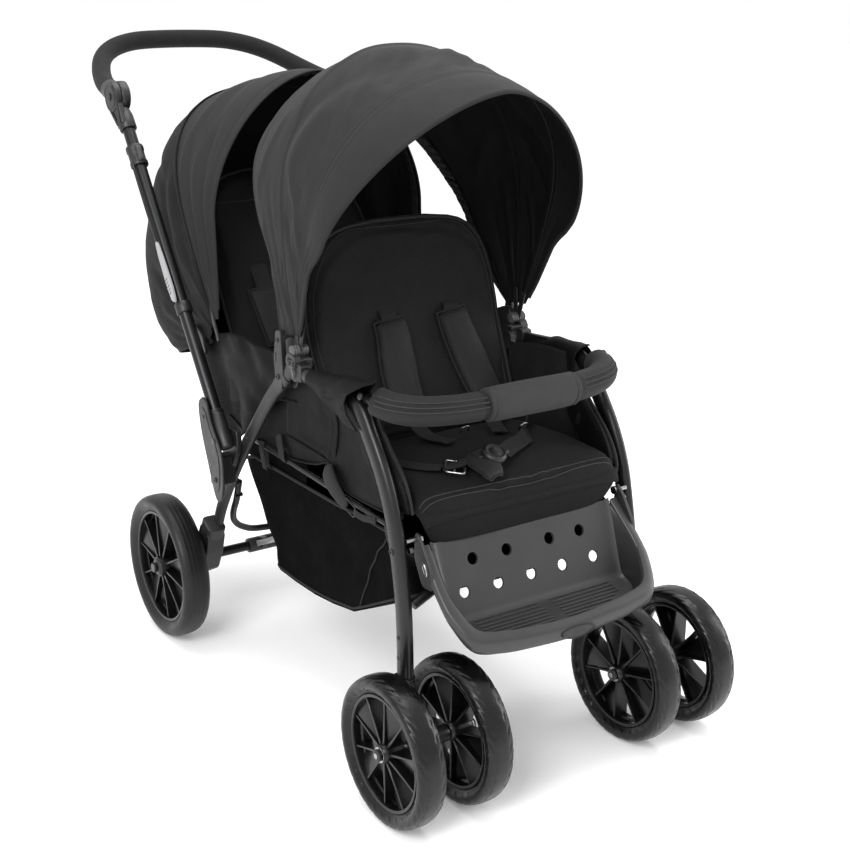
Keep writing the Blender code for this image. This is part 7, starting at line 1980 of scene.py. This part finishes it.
normal_ = unit(np.cross(np.gradient(closed_grid, axis=1), np.gradient(closed_grid, axis=0)))
inside_at = closed_grid - np.array((0, -0.06, 0.30))
if (normal_ * inside_at).sum() < 0:
    normal_ = -normal_
inner_ = closed_grid - normal_ * 0.0014
verts = np.concatenate([closed_grid[:, :-1].reshape(-1, 3), inner_[:, :-1].reshape(-1, 3)])
faces = []
for i in range(n_ - 1):
    for k in range(m_):
        l = (k + 1) % m_
        faces.append((i * m_ + k, i * m_ + l, (i + 1) * m_ + l, (i + 1) * m_ + k))
        o = n_ * m_
        faces.append((o + i * m_ + k, o + (i + 1) * m_ + k, o + (i + 1) * m_ + l, o + i * m_ + l))
for k in range(m_):
    l = (k + 1) % m_
    faces.append((k, n_ * m_ + k, n_ * m_ + l, l))
# the floor's last strip closes on itself down the middle
last = (n_ - 1) * m_
faces.append(tuple(last + k for k in range(m_)))
faces.append(tuple(n_ * m_ + last + k for k in range(m_ - 1, -1, -1)))
basket = piece("basket_cloth", (verts, faces), "basket", "front_frame", "basket", "basket_mesh", sharp=0)
width, length = spans(closed_grid[:34])
flat_area = area_of(closed_grid) + 0.0
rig.sheet(basket, flat=(1.02, 0.62), held="hung", area=round(min(flat_area * 1.02, 0.632), 4), rests_on=["side_rail_rod_r", "side_rail_rod_l"])
piece("basket_top_binding", sweep(even(np.vstack([basket_grid[0], basket_grid[0][:1]]), 260)[:-1], oval(0.0026, 0.0020, 10), closed=True, caps=False), "trim", "front_frame", slot="basket_mesh", sharp=0)
low_loop = basket_grid[32]
piece("basket_low_binding", sweep(even(np.vstack([low_loop, low_loop[:1]]), 300)[:-1], oval(0.0019, 0.0019, 8), closed=True, caps=False), "trim", "front_frame", slot="basket_mesh", sharp=0)
for side, n in SIDES:
    k_near = [int(np.argmin(np.abs(r[:, 1] - y) + np.abs(r[:, 0] - side * 0.174) * 2)) for r, y in zip(basket_grid[:34], np.linspace(-0.232, -0.132, 34))]
    seam_line = np.array([basket_grid[i][k] + np.array((side * 0.0006, 0, 0)) for i, k in enumerate(k_near)])
    cord_on("basket_seam_" + n, even(smooth(seam_line[::4], 0.006), 50), 0.0013, "trim", "front_frame", "basket_mesh")
    for j, y in enumerate((0.120, -0.245)):
        hang = smooth([(side * 0.1775, y, rim_z(y) - 0.004), (side * 0.1830, y, rim_z(y) + 0.004), (side * 0.1880, y, float(np.interp(y, [-0.248, 0.145], [0.370, 0.388])) + 0.0048), (side * 0.1932, y, float(np.interp(y, [-0.248, 0.145], [0.370, 0.388])) - 0.002), (side * 0.1880, y, rim_z(y) - 0.002)], 0.003)
        ribbon("basket_hanger_%s_%d" % (n, j + 1), hang, (0, 1, 0), 0.0075, 0.0012, "webbing", "front_frame", "basket_mesh", 5)


# ------------------------------------------------------------------------------------------ size of the imported model and of all that is shown, written to extents.json
with open("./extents.json", "w") as size_file:
    json.dump({"cad": CAD_BOX, "visual": [[float(c) for c in corner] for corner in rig.bounds()]}, size_file)
